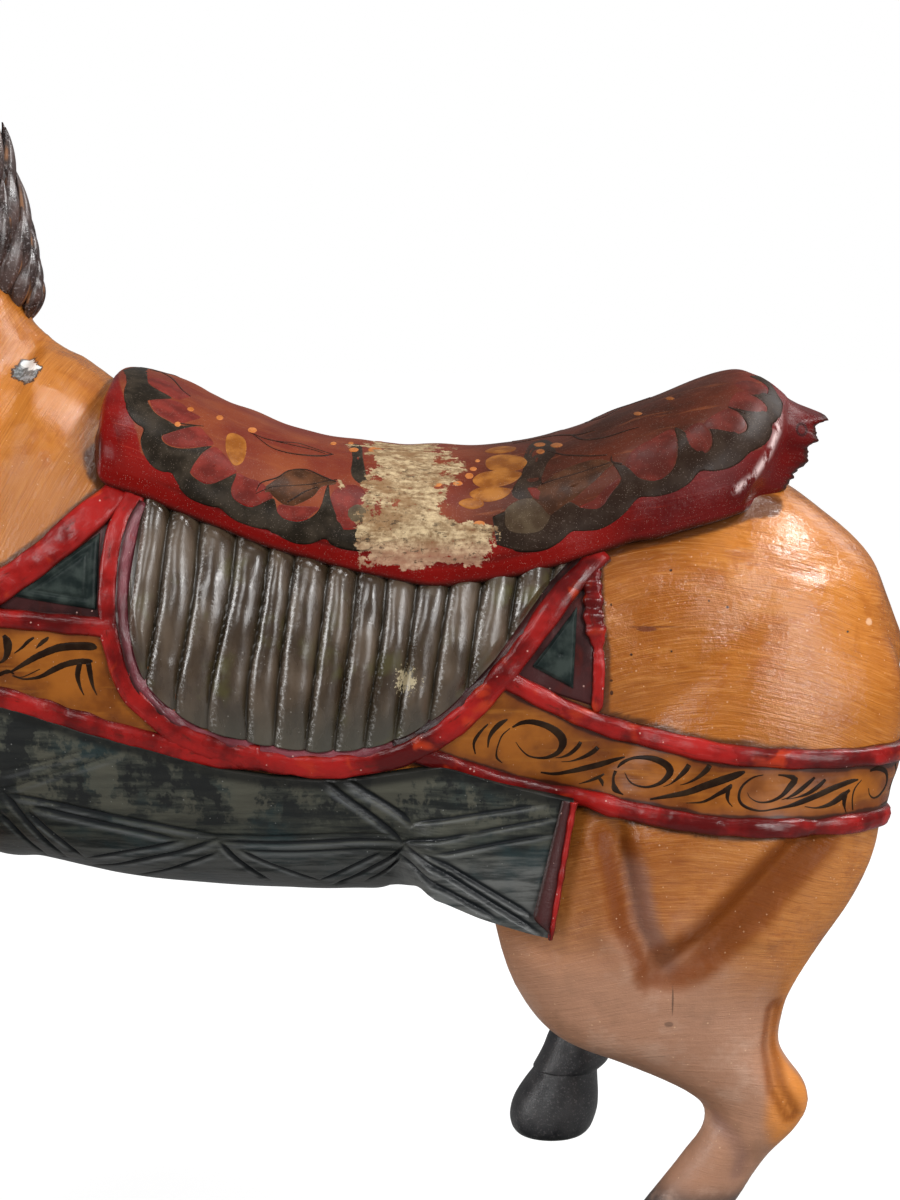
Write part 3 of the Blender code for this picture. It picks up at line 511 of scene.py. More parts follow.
        press += cut * ease(z, 0.08, 0.16)
        spots -= press[:, None] * normals
        spots[:, 2] -= planed
        mesh.vertices.foreach_set("co", spots.astype(np.float32).ravel())
        mesh.update()
        self.mark(mesh, spots, near, front_arm, back_arm, hock, shank, knob)

    def face_strokes(self) -> tuple:
        """The head's side strokes as x, z path, depth (negative stands proud) and breadth."""
        return (
            (((-0.383, 0.898), (-0.384, 0.898)), 0.0045, 0.018),
            (((-0.402, 0.905), (-0.385, 0.915), (-0.366, 0.908)), -0.0040, 0.0065),
            (((-0.398, 0.889), (-0.383, 0.882), (-0.368, 0.890)), -0.0022, 0.0055),
            (((-0.476, 0.766), (-0.470, 0.776), (-0.4665, 0.772)), 0.0075, 0.0052),
            (((-0.488, 0.779), (-0.480, 0.788), (-0.466, 0.788)), -0.0030, 0.0050),
            (((-0.497, 0.744), (-0.480, 0.742), (-0.462, 0.752), (-0.452, 0.762)), 0.0042, 0.0030),
            (((-0.486, 0.733), (-0.470, 0.733)), -0.0030, 0.0060),
            (((-0.355, 0.905), (-0.338, 0.880), (-0.345, 0.850), (-0.372, 0.838)), 0.0028, 0.0070),
            (((-0.412, 0.872), (-0.432, 0.838), (-0.450, 0.802)), -0.0022, 0.0070),
            (((-0.395, 0.860), (-0.420, 0.822), (-0.442, 0.785)), 0.0026, 0.0085),
        )

    def mark(
        self,
        mesh: bpy.types.Mesh,
        spots: Array,
        near: Array,
        front_arm: Array,
        back_arm: Array,
        hock: Array,
        shank: Array,
        knob: Array,
    ) -> None:
        """Store how much of each brushed tone the skin carries, one value a vertex; the brown and mauve tones
        also paint shade along the thigh's grooves and the leg's hollows.

        Args:
            mesh: The skin.
            spots: Its carved points.
            near: 1 on the near side of the near legs.
            front_arm: Distance to the V's front arm.
            back_arm: Distance to the V's back arm.
            hock: Distance to the hock's hollow.
            shank: Distance to the shank's hollow.
            knob: Distance to the knot at the V's front arm.
        """
        x, y, z = spots.T
        rear = ease(x, 0.10, 0.16)
        fall = ease(z + 0.45 * np.maximum(x - 0.27, 0), 0.405, 0.310)
        low_tone = np.where(rear > 0.5, 0.12 * ease(z, 0.47, 0.42) + 0.88 * fall, ease(z, 0.40, 0.30))
        hock_warm = near * ease(np.hypot((x - 0.362) * 1.2, (z - 0.243) * 0.8), 0.042, 0.018)
        behind = x - 0.345 - 0.32 * np.maximum(z - 0.30, 0)
        back_warm = near * ease(behind, -0.018, 0.006) * ease(z, 0.21, 0.24)
        warm = np.maximum(hock_warm, 0.9 * back_warm * ease(z, 0.36, 0.33))
        tan = np.clip(low_tone - 0.85 * warm, 0, 1)
        upper = ease(z, 0.455, 0.425)
        arm = np.array(self.thigh_front_arm)[::-1]
        aside = x - np.interp(z, arm[:, 1], arm[:, 0])
        front_edge = bell(aside + 0.009, 0.008) * (front_arm < 0.020)
        outer_edge = np.maximum(front_edge, bell(back_arm - 0.010, 0.010))
        # Brown tone, laid also as painted shade along the V's edges and in the hock's hollow
        brown_and_groove_shade = near * upper * np.maximum.reduce(
            [
                0.95 * outer_edge * ease(z, 0.32, 0.345),
                0.95 * bell(back_arm - 0.005, 0.009) * ease(x, 0.262, 0.30),
                0.9 * bell(knob, 0.010),
            ]
        )
        brown_and_groove_shade = np.maximum(brown_and_groove_shade, near * 0.75 * bell(hock - 0.004, 0.005))
        # Mauve tone, laid also as painted shade inside the V and down the shank's hollow
        front_inner = bell(aside - 0.007, 0.009) * (front_arm < 0.018)
        inner = np.maximum(front_inner, 0.35 * bell(back_arm, 0.006) * (x < 0.29))
        mauve = near * ease(z, 0.440, 0.405) * ease(z, 0.335, 0.35) * inner * (x > 0.238)
        mauve = np.maximum(mauve, near * 0.8 * bell(shank, 0.007))
        sock = np.maximum(ease(z, 0.205, 0.165) * rear * (y < 0), ease(z, 0.295, 0.262) * rear * (y > 0))
        fore = (x < -0.1) * np.where(y < 0, ease(z, 0.255, 0.215), ease(z, 0.150, 0.110))
        sock = np.maximum(sock, fore)
        for key, values in (("tan", tan), ("brown_and_groove_shade", brown_and_groove_shade), ("mauve", mauve), ("sock", sock), ("warm", warm)):
            store(mesh, key, np.clip(values, 0, 1))


@dataclass
class Girdle:
    """The skin of one side unrolled: u runs along the side and round both ends, z up.

    Past either bend u is the bend's radius times the turn off the side. A side's skin is
    kept as the points and normals at the nodes of a grid over u and z.
    """

    body: bpy.types.Object
    front_x: float = -0.18
    rear_x: float = 0.30
    bend: float = 0.115
    step: float = 0.002
    low: float = 0.17
    high: float = 0.82
    outside: float = 0.6

    def __post_init__(self) -> None:
        """Read both sides off the skin."""
        reach = 1.62 * self.bend
        self.us = np.arange(self.front_x - reach, self.rear_x + reach, self.step)
        self.zs = np.arange(self.low, self.high, self.step)
        self.tables = {side: self.measured(side) for side in (NEAR, FAR)}

    @property
    def end(self) -> float:
        """Where u meets the middle plane at the rump."""
        return self.rear_x + self.bend * HALF_TURN / 2

    @property
    def start(self) -> float:
        """Where u meets the middle plane at the breast."""
        return self.front_x - self.bend * HALF_TURN / 2

    def unrolled(self, spots: Array, side: int) -> Array:
        """Points of space as u, distance out and z."""
        x, out, z = spots[:, 0], side * spots[:, 1], spots[:, 2]
        beyond = np.maximum(x - self.rear_x, 0) + np.minimum(x - self.front_x, 0)
        turn = np.arctan2(np.abs(beyond), out)
        reach = np.where(beyond == 0, out, np.hypot(beyond, out))
        u = np.clip(x, self.front_x, self.rear_x) + np.sign(beyond) * self.bend * turn
        return np.column_stack([u, reach, z])

    def rolled(self, u: Array, reach: Array, z: Array, side: int) -> Array:
        """Points of space from u, distance out and z."""
        turn = (np.maximum(u - self.rear_x, 0) + np.minimum(u - self.front_x, 0)) / self.bend
        x = np.clip(u, self.front_x, self.rear_x) + reach * np.sin(turn)
        return np.stack([x, side * reach * np.cos(turn), z], axis=-1)

    def measured(self, side: int) -> Array:
        """Points and outward normals of one side at the grid's nodes, (u, z, 6)."""
        flat = self.body.data.copy()
        places = self.unrolled(points_of(flat), side).astype(np.float32)
        flat.vertices.foreach_set("co", places.ravel())
        wall = linked("wall", flat)
        u, z = np.meshgrid(self.us, self.zs, indexing="ij")
        rays = np.stack([u, np.full_like(u, self.outside), z], axis=-1).reshape(-1, 3)
        hits = laid_on(wall, rays, "PROJECT")
        bpy.data.objects.remove(wall)
        reach = hits[:, 1].reshape(u.shape)
        reach = blurred(np.where(reach > self.outside - 0.001, 0.02, reach), 5)
        spots = self.rolled(u, reach, z, side)
        normals = unit(np.cross(np.gradient(spots, axis=0), np.gradient(spots, axis=1)))
        return np.concatenate([spots, -side * normals], axis=-1)

    def place(self, side: int) -> Placer:
        """A function from u, z and height off the skin to points of space on that side.

        It reads the node table by cubic B-spline weights over the 4 by 4 nodes around. Past
        the middle plane it goes on over the other side.
        """

        def read(table: Array, u: Array, z: Array) -> Array:
            """The table's values at u, z."""
            i = np.clip((u - self.us[0]) / self.step, 1, len(self.us) - 3.001)
            j = np.clip((z - self.zs[0]) / self.step, 1, len(self.zs) - 3.001)
            i0, j0 = i.astype(int), j.astype(int)
            total = 0.0
            for a, wa in enumerate(cubic_weights(i - i0)):
                for b, wb in enumerate(cubic_weights(j - j0)):
                    total = total + (wa * wb)[..., None] * table[i0 + a - 1, j0 + b - 1]
            return total

        def placer(u: Array, z: Array, proud: Array) -> Array:
            """Points proud of the skin at u, z."""
            u, z, proud = np.broadcast_arrays(u, z, proud)
            over = (u > self.end) | (u < self.start)
            mirrored = np.where(u > self.end, 2 * self.end - u, 2 * self.start - u)
            inner = np.where(over, mirrored, u)
            own = read(self.tables[side], inner, z)
            if over.any():
                own = np.where(over[..., None], read(self.tables[-side], inner, z), own)
            return own[..., :3] + proud[..., None] * unit(own[..., 3:])

        return placer


def cubic_weights(t: Array) -> tuple[Array, Array, Array, Array]:
    """The four uniform cubic B-spline weights at share t of a cell."""
    return (
        (1 - t) ** 3 / 6,
        (3 * t**3 - 6 * t**2 + 4) / 6,
        (-3 * t**3 + 3 * t**2 + 3 * t + 1) / 6,
        t**3 / 6,
    )


def laid_on(target: bpy.types.Object, spots: Array, method: str) -> Array:
    """Points moved onto a target by a shrinkwrap, along -Y or to the nearest surface.

    Args:
        target: What they are laid on.
        spots: The points, (n, 3).
        method: PROJECT or NEAREST_SURFACEPOINT.

    Returns:
        The moved points.
    """
    mesh = bpy.data.meshes.new("guide")
    mesh.from_pydata(spots.tolist(), [], [])
    guide = linked("guide", mesh)
    wrap = guide.modifiers.new("wrap", "SHRINKWRAP")
    wrap.target = target
    wrap.wrap_method = method
    if method == "PROJECT":
        wrap.use_project_y = True
        wrap.use_negative_direction = True
        wrap.use_positive_direction = False
    moved = points_of(settled_mesh(guide))
    bpy.data.objects.remove(guide)
    return moved


# ---------------------------------------------------------------- mouldings and strokes


def square_off(place: Placer, path: Array) -> Array:
    """Steps in surface coordinates that run one metre square to a path on the surface.

    With E, F and G the surface's metric, the direction square to (da, db) is
    (-(F da + G db), E da + F db), and it is scaled to unit length in the same metric.

    Args:
        place: The surface.
        path: Surface coordinates, (n, 2).

    Returns:
        The steps, (n, 2), to the left of the way the path runs.
    """
    a, b = path.T
    probe, flat = 0.0015, 0 * a
    along_a = (place(a + probe, b, flat) - place(a - probe, b, flat)) / (2 * probe)
    along_b = (place(a, b + probe, flat) - place(a, b - probe, flat)) / (2 * probe)
    e, f, g = ((p * q).sum(-1) for p, q in ((along_a, along_a), (along_a, along_b), (along_b, along_b)))
    da, db = np.gradient(path, axis=0).T
    left = np.column_stack([-(f * da + g * db), e * da + f * db])
    length = np.sqrt(e * left[:, 0] ** 2 + 2 * f * left[:, 0] * left[:, 1] + g * left[:, 1] ** 2)
    return left / np.maximum(length, 1e-9)[:, None]


def roll_profile(half: float, proud: float, root: float = ROOT_DEPTH, flat: float = 2.6) -> Array:
    """A moulding's section, (across, height): a superellipse dome over a sunk root."""
    turn = np.linspace(HALF_TURN, 0, 14)
    across = half * np.sign(np.cos(turn)) * np.abs(np.cos(turn)) ** (2 / flat)
    height = proud * np.abs(np.sin(turn)) ** (2 / flat)
    return np.vstack([np.column_stack([across, height]), ((0.8 * half, -root), (-0.8 * half, -root))])


def moulding(
    place: Placer, path: Array, profile: Array, swell: Array | float = 1.0, seed: int = 0
) -> Shape:
    """A closed moulding: its profile carried along a path on the skin.

    Point (i, j) is the place at path i plus across j times the square step, at height j.
    A hand-cut swell makes its breadth and height uneven along the way.

    Args:
        place: The surface.
        path: Surface coordinates, (n, 2), evenly spaced.
        profile: Across and height of the section's ring, (even count, 2).
        swell: How broad and high it is along the way, 1 as drawn.
        seed: Which hand-cut unevenness.

    Returns:
        The moulding; its surface coordinates are metres along, and the share round the
        section.
    """
    steps = square_off(place, path)
    run = run_along(path)
    across, height = profile.T
    cut = 1 + 0.07 * unevenness(run, 0 * run, seed, 0.030)
    chisel = 0.0004 * unevenness(run[:, None] + 0 * across, 4 * across + 0 * run[:, None], seed, 0.012)
    scale = (np.broadcast_to(swell, run.shape) * cut)[:, None]
    spots = path[:, None] + steps[:, None] * (across * scale)[..., None]
    lift = np.where(height > 0, height * scale + chisel, height)
    share = np.broadcast_to(np.linspace(0, 1, len(across)), lift.shape)
    uv = np.stack([np.broadcast_to(run[:, None], lift.shape), share], axis=-1)
    return tube(place(spots[..., 0], spots[..., 1], lift), uv)


@dataclass(frozen=True)
class Stroke:
    """One brush stroke: knots of surface coordinates and half breadth in millimetres."""

    knots: tuple
    height: float = 0.00022

    def shape(self, place: Placer, spacing: float = 0.0016, layers: int = 9) -> Shape:
        """The stroke as a thin lens of paint hugging the surface.

        Across its breadth the paint's height is a flattened dome, and its underside is sunk
        just below the surface.

        Args:
            place: The surface.
            spacing: Distance between its sections.
            layers: Points across its upper side.

        Returns:
            The closed lens.
        """
        rows = smooth_rows(self.knots, 10)
        spots = place(rows[:, 0], rows[:, 1], 0 * rows[:, 0])
        run = run_along(spots)
        stops = np.linspace(0, run[-1], max(7, round(run[-1] / spacing)))
        rows = np.column_stack([np.interp(stops, run, column) for column in rows.T])
        steps = square_off(place, rows[:, :2])
        half = np.maximum(rows[:, 2] / 1000, 0.00012)
        share = np.linspace(-1, 1, layers)
        path = rows[:, None, :2] + steps[:, None] * (half[:, None] * share)[..., None]
        return paint_film(place, path, share, self.height)


def paint_film(place: Placer, grid: Array, share: Array, height: float) -> Shape:
    """A closed film of paint over a grid of surface coordinates.

    Args:
        place: The surface.
        grid: Surface coordinates, (sections, across, 2).
        share: Place across the film, -1 to 1.
        height: The film's height at its middle.

    Returns:
        The film, its underside sunk below the surface.
    """
    count = len(share)
    ring = np.concatenate([grid, grid[:, count - 2 : 0 : -1]], axis=1)
    dome = height * (1 - np.abs(share) ** 6) - FILM_DIP
    lift = np.concatenate([dome, np.full(count - 2, -FILM_SUNK)])
    return tube(place(ring[..., 0], ring[..., 1], np.broadcast_to(lift, ring.shape[:2])), ring)


def ribbon(place: Placer, rows: tuple, height: float) -> Shape:
    """A film between two free outlines, given as rows of both outlines' coordinates."""
    rows = smooth_rows(rows, 5)
    share = np.linspace(-1, 1, 15)
    weight = ((share + 1) / 2)[None, :, None]
    return paint_film(place, rows[:, None, :2] * (1 - weight) + rows[:, None, 2:] * weight, share, height)


def blot(place: Placer, outline: tuple, height: float) -> Shape:
    """A filled spot of paint inside a closed outline of surface coordinates."""
    knots = np.array(outline)
    edge = smooth_rows(np.vstack([knots[-1:], knots, knots[:2]]), 6)[6:-6]
    edge = edge[:-1] if len(edge) % 2 else edge
    middle = edge.mean(0)
    share = np.array((0.03, 0.3, 0.55, 0.75, 0.9, 0.97, 1.0, 0.9, 0.03))
    lift = height * (1 - share**8) - FILM_DIP
    lift[-2:] = -FILM_SUNK
    grid = middle + (edge - middle)[None] * share[:, None, None]
    return tube(place(grid[..., 0], grid[..., 1], np.broadcast_to(lift[:, None], grid.shape[:2])), grid)


def blots(place: Placer, table: tuple, height: float) -> Shape:
    """All spots of a table as one shape."""
    return joined([blot(place, outline, height) for outline in table])


def strokes(place: Placer, table: tuple, height: float = 0.00022) -> Shape:
    """All strokes of a table as one shape."""
    return joined([Stroke(knots, height).shape(place) for knots in table])


# ---------------------------------------------------------------- saddle


@dataclass
class Saddle:
    """The seat from pommel to broken cantle, with a roll along its foot.

    Its surface is read at s, 0 at the pommel to 1 at the break, and q, 0 on the crown to
    -1 under the near edge and 1 under the far one.
    """

    girdle: Girdle
    lip: float = 0.012
    roll: float = 0.0065
    seat_share: float = 0.86
    rise: float = 0.85
    # How far round the roll turns under, the cut line's distance in from the rim and its depth
    under_turn: float = 2.1
    crease_inset: float = 0.0215
    crease_depth: float = 0.0016
    # Crown x, z, edge x, z and how much of the full breadth the row has
    rows: tuple = (
        (-0.095, 0.69, -0.0945, 0.668, 1.0), (-0.0945, 0.708, -0.0925, 0.661, 1.0),
        (-0.088, 0.7265, -0.086, 0.654, 1.0), (-0.062, 0.7235, -0.06, 0.645, 1.0),
        (-0.039, 0.7135, -0.03, 0.632, 1.0), (-0.005, 0.6985, 0.008, 0.618, 1.0),
        (0.04, 0.6825, 0.052, 0.605, 1.0), (0.096, 0.676, 0.099, 0.594, 1.0),
        (0.13, 0.675, 0.13, 0.592, 1.0), (0.164, 0.676, 0.161, 0.595, 1.0),
        (0.204, 0.684, 0.199, 0.604, 1.0), (0.254, 0.703, 0.235, 0.615, 1.0),
        (0.312, 0.724, 0.268, 0.622, 1.0), (0.334, 0.7225, 0.295, 0.6285, 0.99),
        (0.351, 0.712, 0.316, 0.634, 0.95), (0.358, 0.706, 0.323, 0.636, 0.84),
        (0.37, 0.6995, 0.331, 0.6365, 0.64), (0.3825, 0.693, 0.338, 0.637, 0.46),
    )  # fmt: skip
    break_line: tuple = (
        (0.33, 0.63), (0.337, 0.6363), (0.3467, 0.6449), (0.3538, 0.6541), (0.357, 0.6593),
        (0.3673, 0.6679), (0.3646, 0.6751), (0.3737, 0.6803), (0.3709, 0.689), (0.3829, 0.6927),
    )  # fmt: skip
    # The arris down the cantle, where a broken pale streak is painted as a highlight
    arris_highlight: tuple = ((0.3440, 0.7010), (0.3420, 0.6880), (0.3350, 0.6730), (0.3240, 0.6590), (0.3120, 0.6510))

    def __post_init__(self) -> None:
        """Lay the rows' edges on the skin."""
        fine = smooth_rows(self.rows, 12)
        edge = self.girdle.place(NEAR)(fine[:, 2], fine[:, 3], 0 * fine[:, 0])
        crown_run = np.linalg.norm(np.diff(fine[:, :2], axis=0), axis=1)
        edge_run = np.linalg.norm(np.diff(fine[:, 2:4], axis=0), axis=1)
        self.stops = np.concatenate([[0.0], np.cumsum(crown_run + edge_run)])
        self.stops /= self.stops[-1]
        self.table = np.column_stack([fine[:, :4], (-edge[:, 1] + self.lip) * fine[:, 4]])

    def surface(self, s: Array, q: Array) -> Array:
        """The seat's points.

        Out to the seat's share of q the section is y = reach sin(a), with the height falling
        from crown to edge as cos(a) to the rise power. Beyond it a roll turns under.

        Args:
            s: Share from pommel to break.
            q: Share from crown to under the edge, negative on the near side.

        Returns:
            Points, shaped as s with a last axis of 3.
        """
        top_x, top_z, edge_x, edge_z, reach = (np.interp(s, self.stops, c) for c in self.table.T)
        share = np.abs(q) / self.seat_share
        a = np.clip(share, 0, 1) * HALF_TURN / 2
        under = np.clip((np.abs(q) - self.seat_share) / (1 - self.seat_share), 0, 1) * self.under_turn
        height = np.abs(np.cos(a)) ** self.rise
        foot = edge_z + self.roll
        x = edge_x + (top_x - edge_x) * height
        y = reach * np.sin(a) - self.roll * (1 - np.cos(under))
        z = foot + (top_z - foot) * height - self.roll * np.sin(under)
        return np.stack([x, np.sign(q) * y, z], axis=-1)

    def place(self, s: Array, q: Array, proud: Array) -> Array:
        """Points proud of the hand-cut seat at s, q, along its normal by small differences."""
        s, q, proud = np.broadcast_arrays(s, q, proud)
        proud = proud + 0.0006 * unevenness(0.56 * s, 0.17 * q, 8, 0.05)
        e = 0.002
        s0 = np.clip(s, e, 1 - e)
        q0 = np.where(np.abs(q) < 1e-4, 1e-4, q)
        along = self.surface(s0 + e, q0) - self.surface(s0 - e, q0)
        across = self.surface(s0, q0 + e) - self.surface(s0, q0 - e)
        return self.surface(s, q0) + proud[..., None] * unit(np.cross(along, across))

    def shape(self) -> Shape:
        """The seat and its roll as one closed form, with its distance in from the rim."""
        s = np.linspace(0, 1, 221)[:, None]
        q = np.linspace(-1, 1, 176)[None, :]
        s, q = np.broadcast_arrays(s, q)
        spots = self.surface(s, q)
        run = np.cumsum(np.linalg.norm(np.diff(spots, axis=1, prepend=spots[:, :1]), axis=-1), axis=1)
        along = np.cumsum(np.linalg.norm(np.diff(spots, axis=0, prepend=spots[:1]), axis=-1), axis=0)
        inward = np.minimum(run, run[:, -1:] - run)
        rim = np.minimum.reduce([inward, along, along[-1:] - along])
        groove = bell(inward - self.crease_inset, 0.0016) * ease(s, 0.10, 0.18) * ease(s, 0.66, 0.56)
        groove *= 0.6 + 0.4 * unevenness(along, run, 9, 0.05)
        cut = -self.crease_depth * groove
        cut += self.chisel_marks(along, inward)
        spots = self.place(s, q, cut)
        spots += self.broken(s, q)
        under = spots[:, [-1, 0]] * (1, 0.4, 1) - (0, 0, 0.05)
        rings = np.concatenate([spots, under], axis=1)
        uv = np.stack([np.concatenate([along, along[:, :2]], 1), np.concatenate([run, run[:, :2]], 1)], -1)
        shape = tube(rings, uv)
        x, z = spots[..., 0], spots[..., 2]
        near = spots[..., 1] < 0
        arris_highlight = near * bell(distance_to_path(x, z, np.array(self.arris_highlight)), 0.0021)
        marks = {"rim": rim, "crease": groove, "arris_highlight": arris_highlight}
        for key, values in marks.items():
            shape.marks[key] = np.concatenate([values, 0 * values[:, :2]], axis=1).ravel()
        return shape

    def chisel_marks(self, along: Array, inward: Array) -> Array:
        """Long shallow tool marks on the roll: waves that run along it, uneven in depth."""
        wave = np.sin(inward / 0.0012) * unevenness(along, 0.3 * inward, 11, 0.05)
        return 0.00018 * wave * ease(inward, 0.022, 0.016)

    def broken(self, s: Array, q: Array) -> Array:
        """How the cantle's broken end is torn: its outline's x by height, roughened.

        Args:
            s: Share from pommel to break.
            q: Share from crown to edge.

        Returns:
            Offsets of the points.
        """
        outline = np.array(self.break_line)
        spots = self.surface(s, q)
        rough = 0.0011 * unevenness(8 * spots[..., 2], 8 * np.abs(q), 12, 0.045)
        reach = np.interp(spots[..., 2], outline[:, 1], outline[:, 0]) - spots[..., 0] + rough
        back = ease(s, 0.968, 1.0) * reach * (np.abs(q) < self.seat_share + 0.02)
        return np.stack([back, 0 * back, -0.15 * np.abs(back)], axis=-1)


@dataclass
class SeatOrnament:
    """The seat's painted ornament, in the saddle's s and q, the near half of it."""

    front_band: tuple = (
        (0.0599, -0.152, 0.0867, 0.035), (0.0715, -0.284, 0.0984, -0.215),
        (0.0721, -0.382, 0.1032, -0.266), (0.0744, -0.453, 0.1174, -0.295),
        (0.0764, -0.483, 0.1404, -0.322), (0.0786, -0.504, 0.1078, -0.391),
        (0.0829, -0.539, 0.1127, -0.453), (0.089, -0.569, 0.1232, -0.485),
        (0.0957, -0.586, 0.1391, -0.494), (0.1031, -0.597, 0.1535, -0.497),
        (0.1007, -0.635, 0.1826, -0.435), (0.1007, -0.664, 0.1419, -0.558),
        (0.1035, -0.707, 0.1302, -0.598), (0.1094, -0.744, 0.1353, -0.626),
        (0.1184, -0.768, 0.1495, -0.623), (0.1286, -0.771, 0.1721, -0.588),
        (0.1394, -0.763, 0.2027, -0.519), (0.1457, -0.787, 0.1886, -0.581),
        (0.1536, -0.812, 0.1742, -0.66), (0.1631, -0.827, 0.1663, -0.706),
        (0.1777, -0.829, 0.1746, -0.731), (0.1901, -0.825, 0.1943, -0.727),
        (0.2029, -0.817, 0.2333, -0.623), (0.2113, -0.83, 0.225, -0.685),
        (0.2229, -0.841, 0.2223, -0.737), (0.2381, -0.842, 0.2305, -0.76),
        (0.2522, -0.84, 0.2493, -0.757), (0.2651, -0.833, 0.2797, -0.68),
        (0.2722, -0.842, 0.2837, -0.709), (0.2856, -0.85, 0.2845, -0.744),
        (0.3028, -0.851, 0.2961, -0.763), (0.3227, -0.837, 0.319, -0.743),
        (0.3439, -0.802, 0.3425, -0.666), (0.3525, -0.817, 0.3583, -0.51),
        (0.3649, -0.824, 0.3595, -0.587), (0.3813, -0.821, 0.3619, -0.651),
        (0.3997, -0.81, 0.3608, -0.729), (0.4168, -0.783, 0.3755, -0.736),
        (0.4258, -0.762, 0.3951, -0.712), (0.4476, -0.738, 0.4169, -0.64),
    )  # fmt: skip
    rear_band: tuple = (
        (0.5737, -0.767, 0.5668, -0.631), (0.5985, -0.805, 0.5905, -0.609),
        (0.6188, -0.822, 0.6129, -0.659), (0.6369, -0.828, 0.6313, -0.695),
        (0.6573, -0.818, 0.6471, -0.652), (0.674, -0.79, 0.6676, -0.643),
        (0.6923, -0.802, 0.6871, -0.694), (0.7163, -0.817, 0.7141, -0.72),
        (0.7375, -0.811, 0.726, -0.68), (0.7549, -0.789, 0.7387, -0.615),
        (0.7669, -0.76, 0.7218, -0.513), (0.7759, -0.744, 0.7433, -0.565),
        (0.7977, -0.754, 0.7636, -0.644), (0.818, -0.758, 0.7903, -0.683),
        (0.8368, -0.754, 0.8111, -0.667), (0.8507, -0.737, 0.8126, -0.599),
        (0.8595, -0.709, 0.7969, -0.438), (0.8784, -0.716, 0.8123, -0.496),
        (0.8964, -0.709, 0.8232, -0.57), (0.9089, -0.686, 0.8427, -0.621),
        (0.9144, -0.658, 0.857, -0.618), (0.9184, -0.639, 0.8532, -0.557),
        (0.9281, -0.625, 0.8338, -0.468), (0.9364, -0.595, 0.8532, -0.529),
        (0.9391, -0.557, 0.8798, -0.558), (0.9387, -0.51, 0.8975, -0.541),
        (0.9357, -0.47, 0.8932, -0.491), (0.9418, -0.435, 0.8618, -0.411),
        (0.9452, -0.38, 0.8937, -0.446), (0.9456, -0.312, 0.9157, -0.431),
        (0.9439, -0.266, 0.916, -0.378), (0.9401, -0.235, 0.8849, -0.326),
        (0.9328, -0.209, 0.9065, -0.33), (0.9259, -0.174, 0.9162, -0.253),
        (0.9199, -0.126, 0.9122, -0.196), (0.9083, -0.068, 0.8857, -0.136),
    )  # fmt: skip
    petals: tuple = (
        ((0.0976, -0.223), (0.1093, -0.181), (0.1236, -0.176), (0.1496, -0.193), (0.1669, -0.221),
         (0.1509, -0.312), (0.1353, -0.313), (0.1158, -0.298), (0.1032, -0.266)),
        ((0.1078, -0.391), (0.1187, -0.361), (0.1364, -0.337), (0.1553, -0.328), (0.1709, -0.361),
         (0.1851, -0.375), (0.172, -0.426), (0.1531, -0.495), (0.1391, -0.494), (0.1232, -0.485),
         (0.1127, -0.453)),
        ((0.1302, -0.598), (0.1419, -0.558), (0.1619, -0.495), (0.1826, -0.443), (0.193, -0.458),
         (0.2045, -0.51), (0.1721, -0.588), (0.1495, -0.623), (0.1353, -0.626)),
        ((0.1663, -0.706), (0.1742, -0.66), (0.1886, -0.581), (0.206, -0.519), (0.2185, -0.544),
         (0.2286, -0.596), (0.2333, -0.623), (0.2079, -0.701), (0.1943, -0.727), (0.1746, -0.731)),
        ((0.2229, -0.736), (0.225, -0.685), (0.2332, -0.625), (0.2485, -0.626), (0.2678, -0.62),
         (0.2816, -0.672), (0.2632, -0.731), (0.2493, -0.757), (0.2305, -0.76)),
        ((0.2845, -0.744), (0.288, -0.704), (0.3091, -0.688), (0.3428, -0.658), (0.3334, -0.7),
         (0.319, -0.743), (0.2961, -0.763)),
        ((0.3608, -0.729), (0.3619, -0.651), (0.3595, -0.587), (0.3694, -0.527), (0.3847, -0.498),
         (0.3994, -0.503), (0.4076, -0.555), (0.4081, -0.624), (0.402, -0.689), (0.3886, -0.72),
         (0.3756, -0.734)),
        ((0.6863, -0.693), (0.7019, -0.681), (0.7223, -0.633), (0.7379, -0.617), (0.73, -0.671),
         (0.7143, -0.727), (0.6985, -0.717)),
        ((0.6121, -0.511), (0.6264, -0.532), (0.6428, -0.611), (0.6409, -0.639), (0.6266, -0.603),
         (0.6163, -0.555)),
        ((0.5993, -0.707), (0.615, -0.675), (0.627, -0.67), (0.6253, -0.704), (0.6075, -0.719)),
        ((0.7412, -0.563), (0.748, -0.499), (0.7703, -0.461), (0.7964, -0.445), (0.8126, -0.599),
         (0.8111, -0.667), (0.7903, -0.683), (0.7636, -0.644)),
        ((0.8123, -0.496), (0.8238, -0.464), (0.8361, -0.481), (0.8556, -0.572), (0.8552, -0.621),
         (0.843, -0.624), (0.8235, -0.573)),
        ((0.8355, -0.472), (0.8616, -0.419), (0.8849, -0.456), (0.8965, -0.514), (0.886, -0.56),
         (0.8535, -0.532)),
        ((0.8618, -0.411), (0.8676, -0.326), (0.8894, -0.327), (0.916, -0.378), (0.916, -0.434),
         (0.8897, -0.445)),
        ((0.862, -0.254), (0.8785, -0.199), (0.897, -0.194), (0.9158, -0.239), (0.9063, -0.325),
         (0.8849, -0.326)),
    )  # fmt: skip
    dark_blots: tuple = (
        ((0.5902, -0.532), (0.6039, -0.407), (0.6072, -0.262), (0.6199, -0.114), (0.6411, -0.11),
         (0.6518, -0.303), (0.6387, -0.373), (0.6304, -0.49), (0.6346, -0.581), (0.6104, -0.59)),
        ((0.3878, -0.133), (0.4009, -0.133), (0.4039, -0.291), (0.4075, -0.415), (0.4098, -0.489),
         (0.3966, -0.484), (0.3884, -0.428), (0.3903, -0.299)),
    )  # fmt: skip
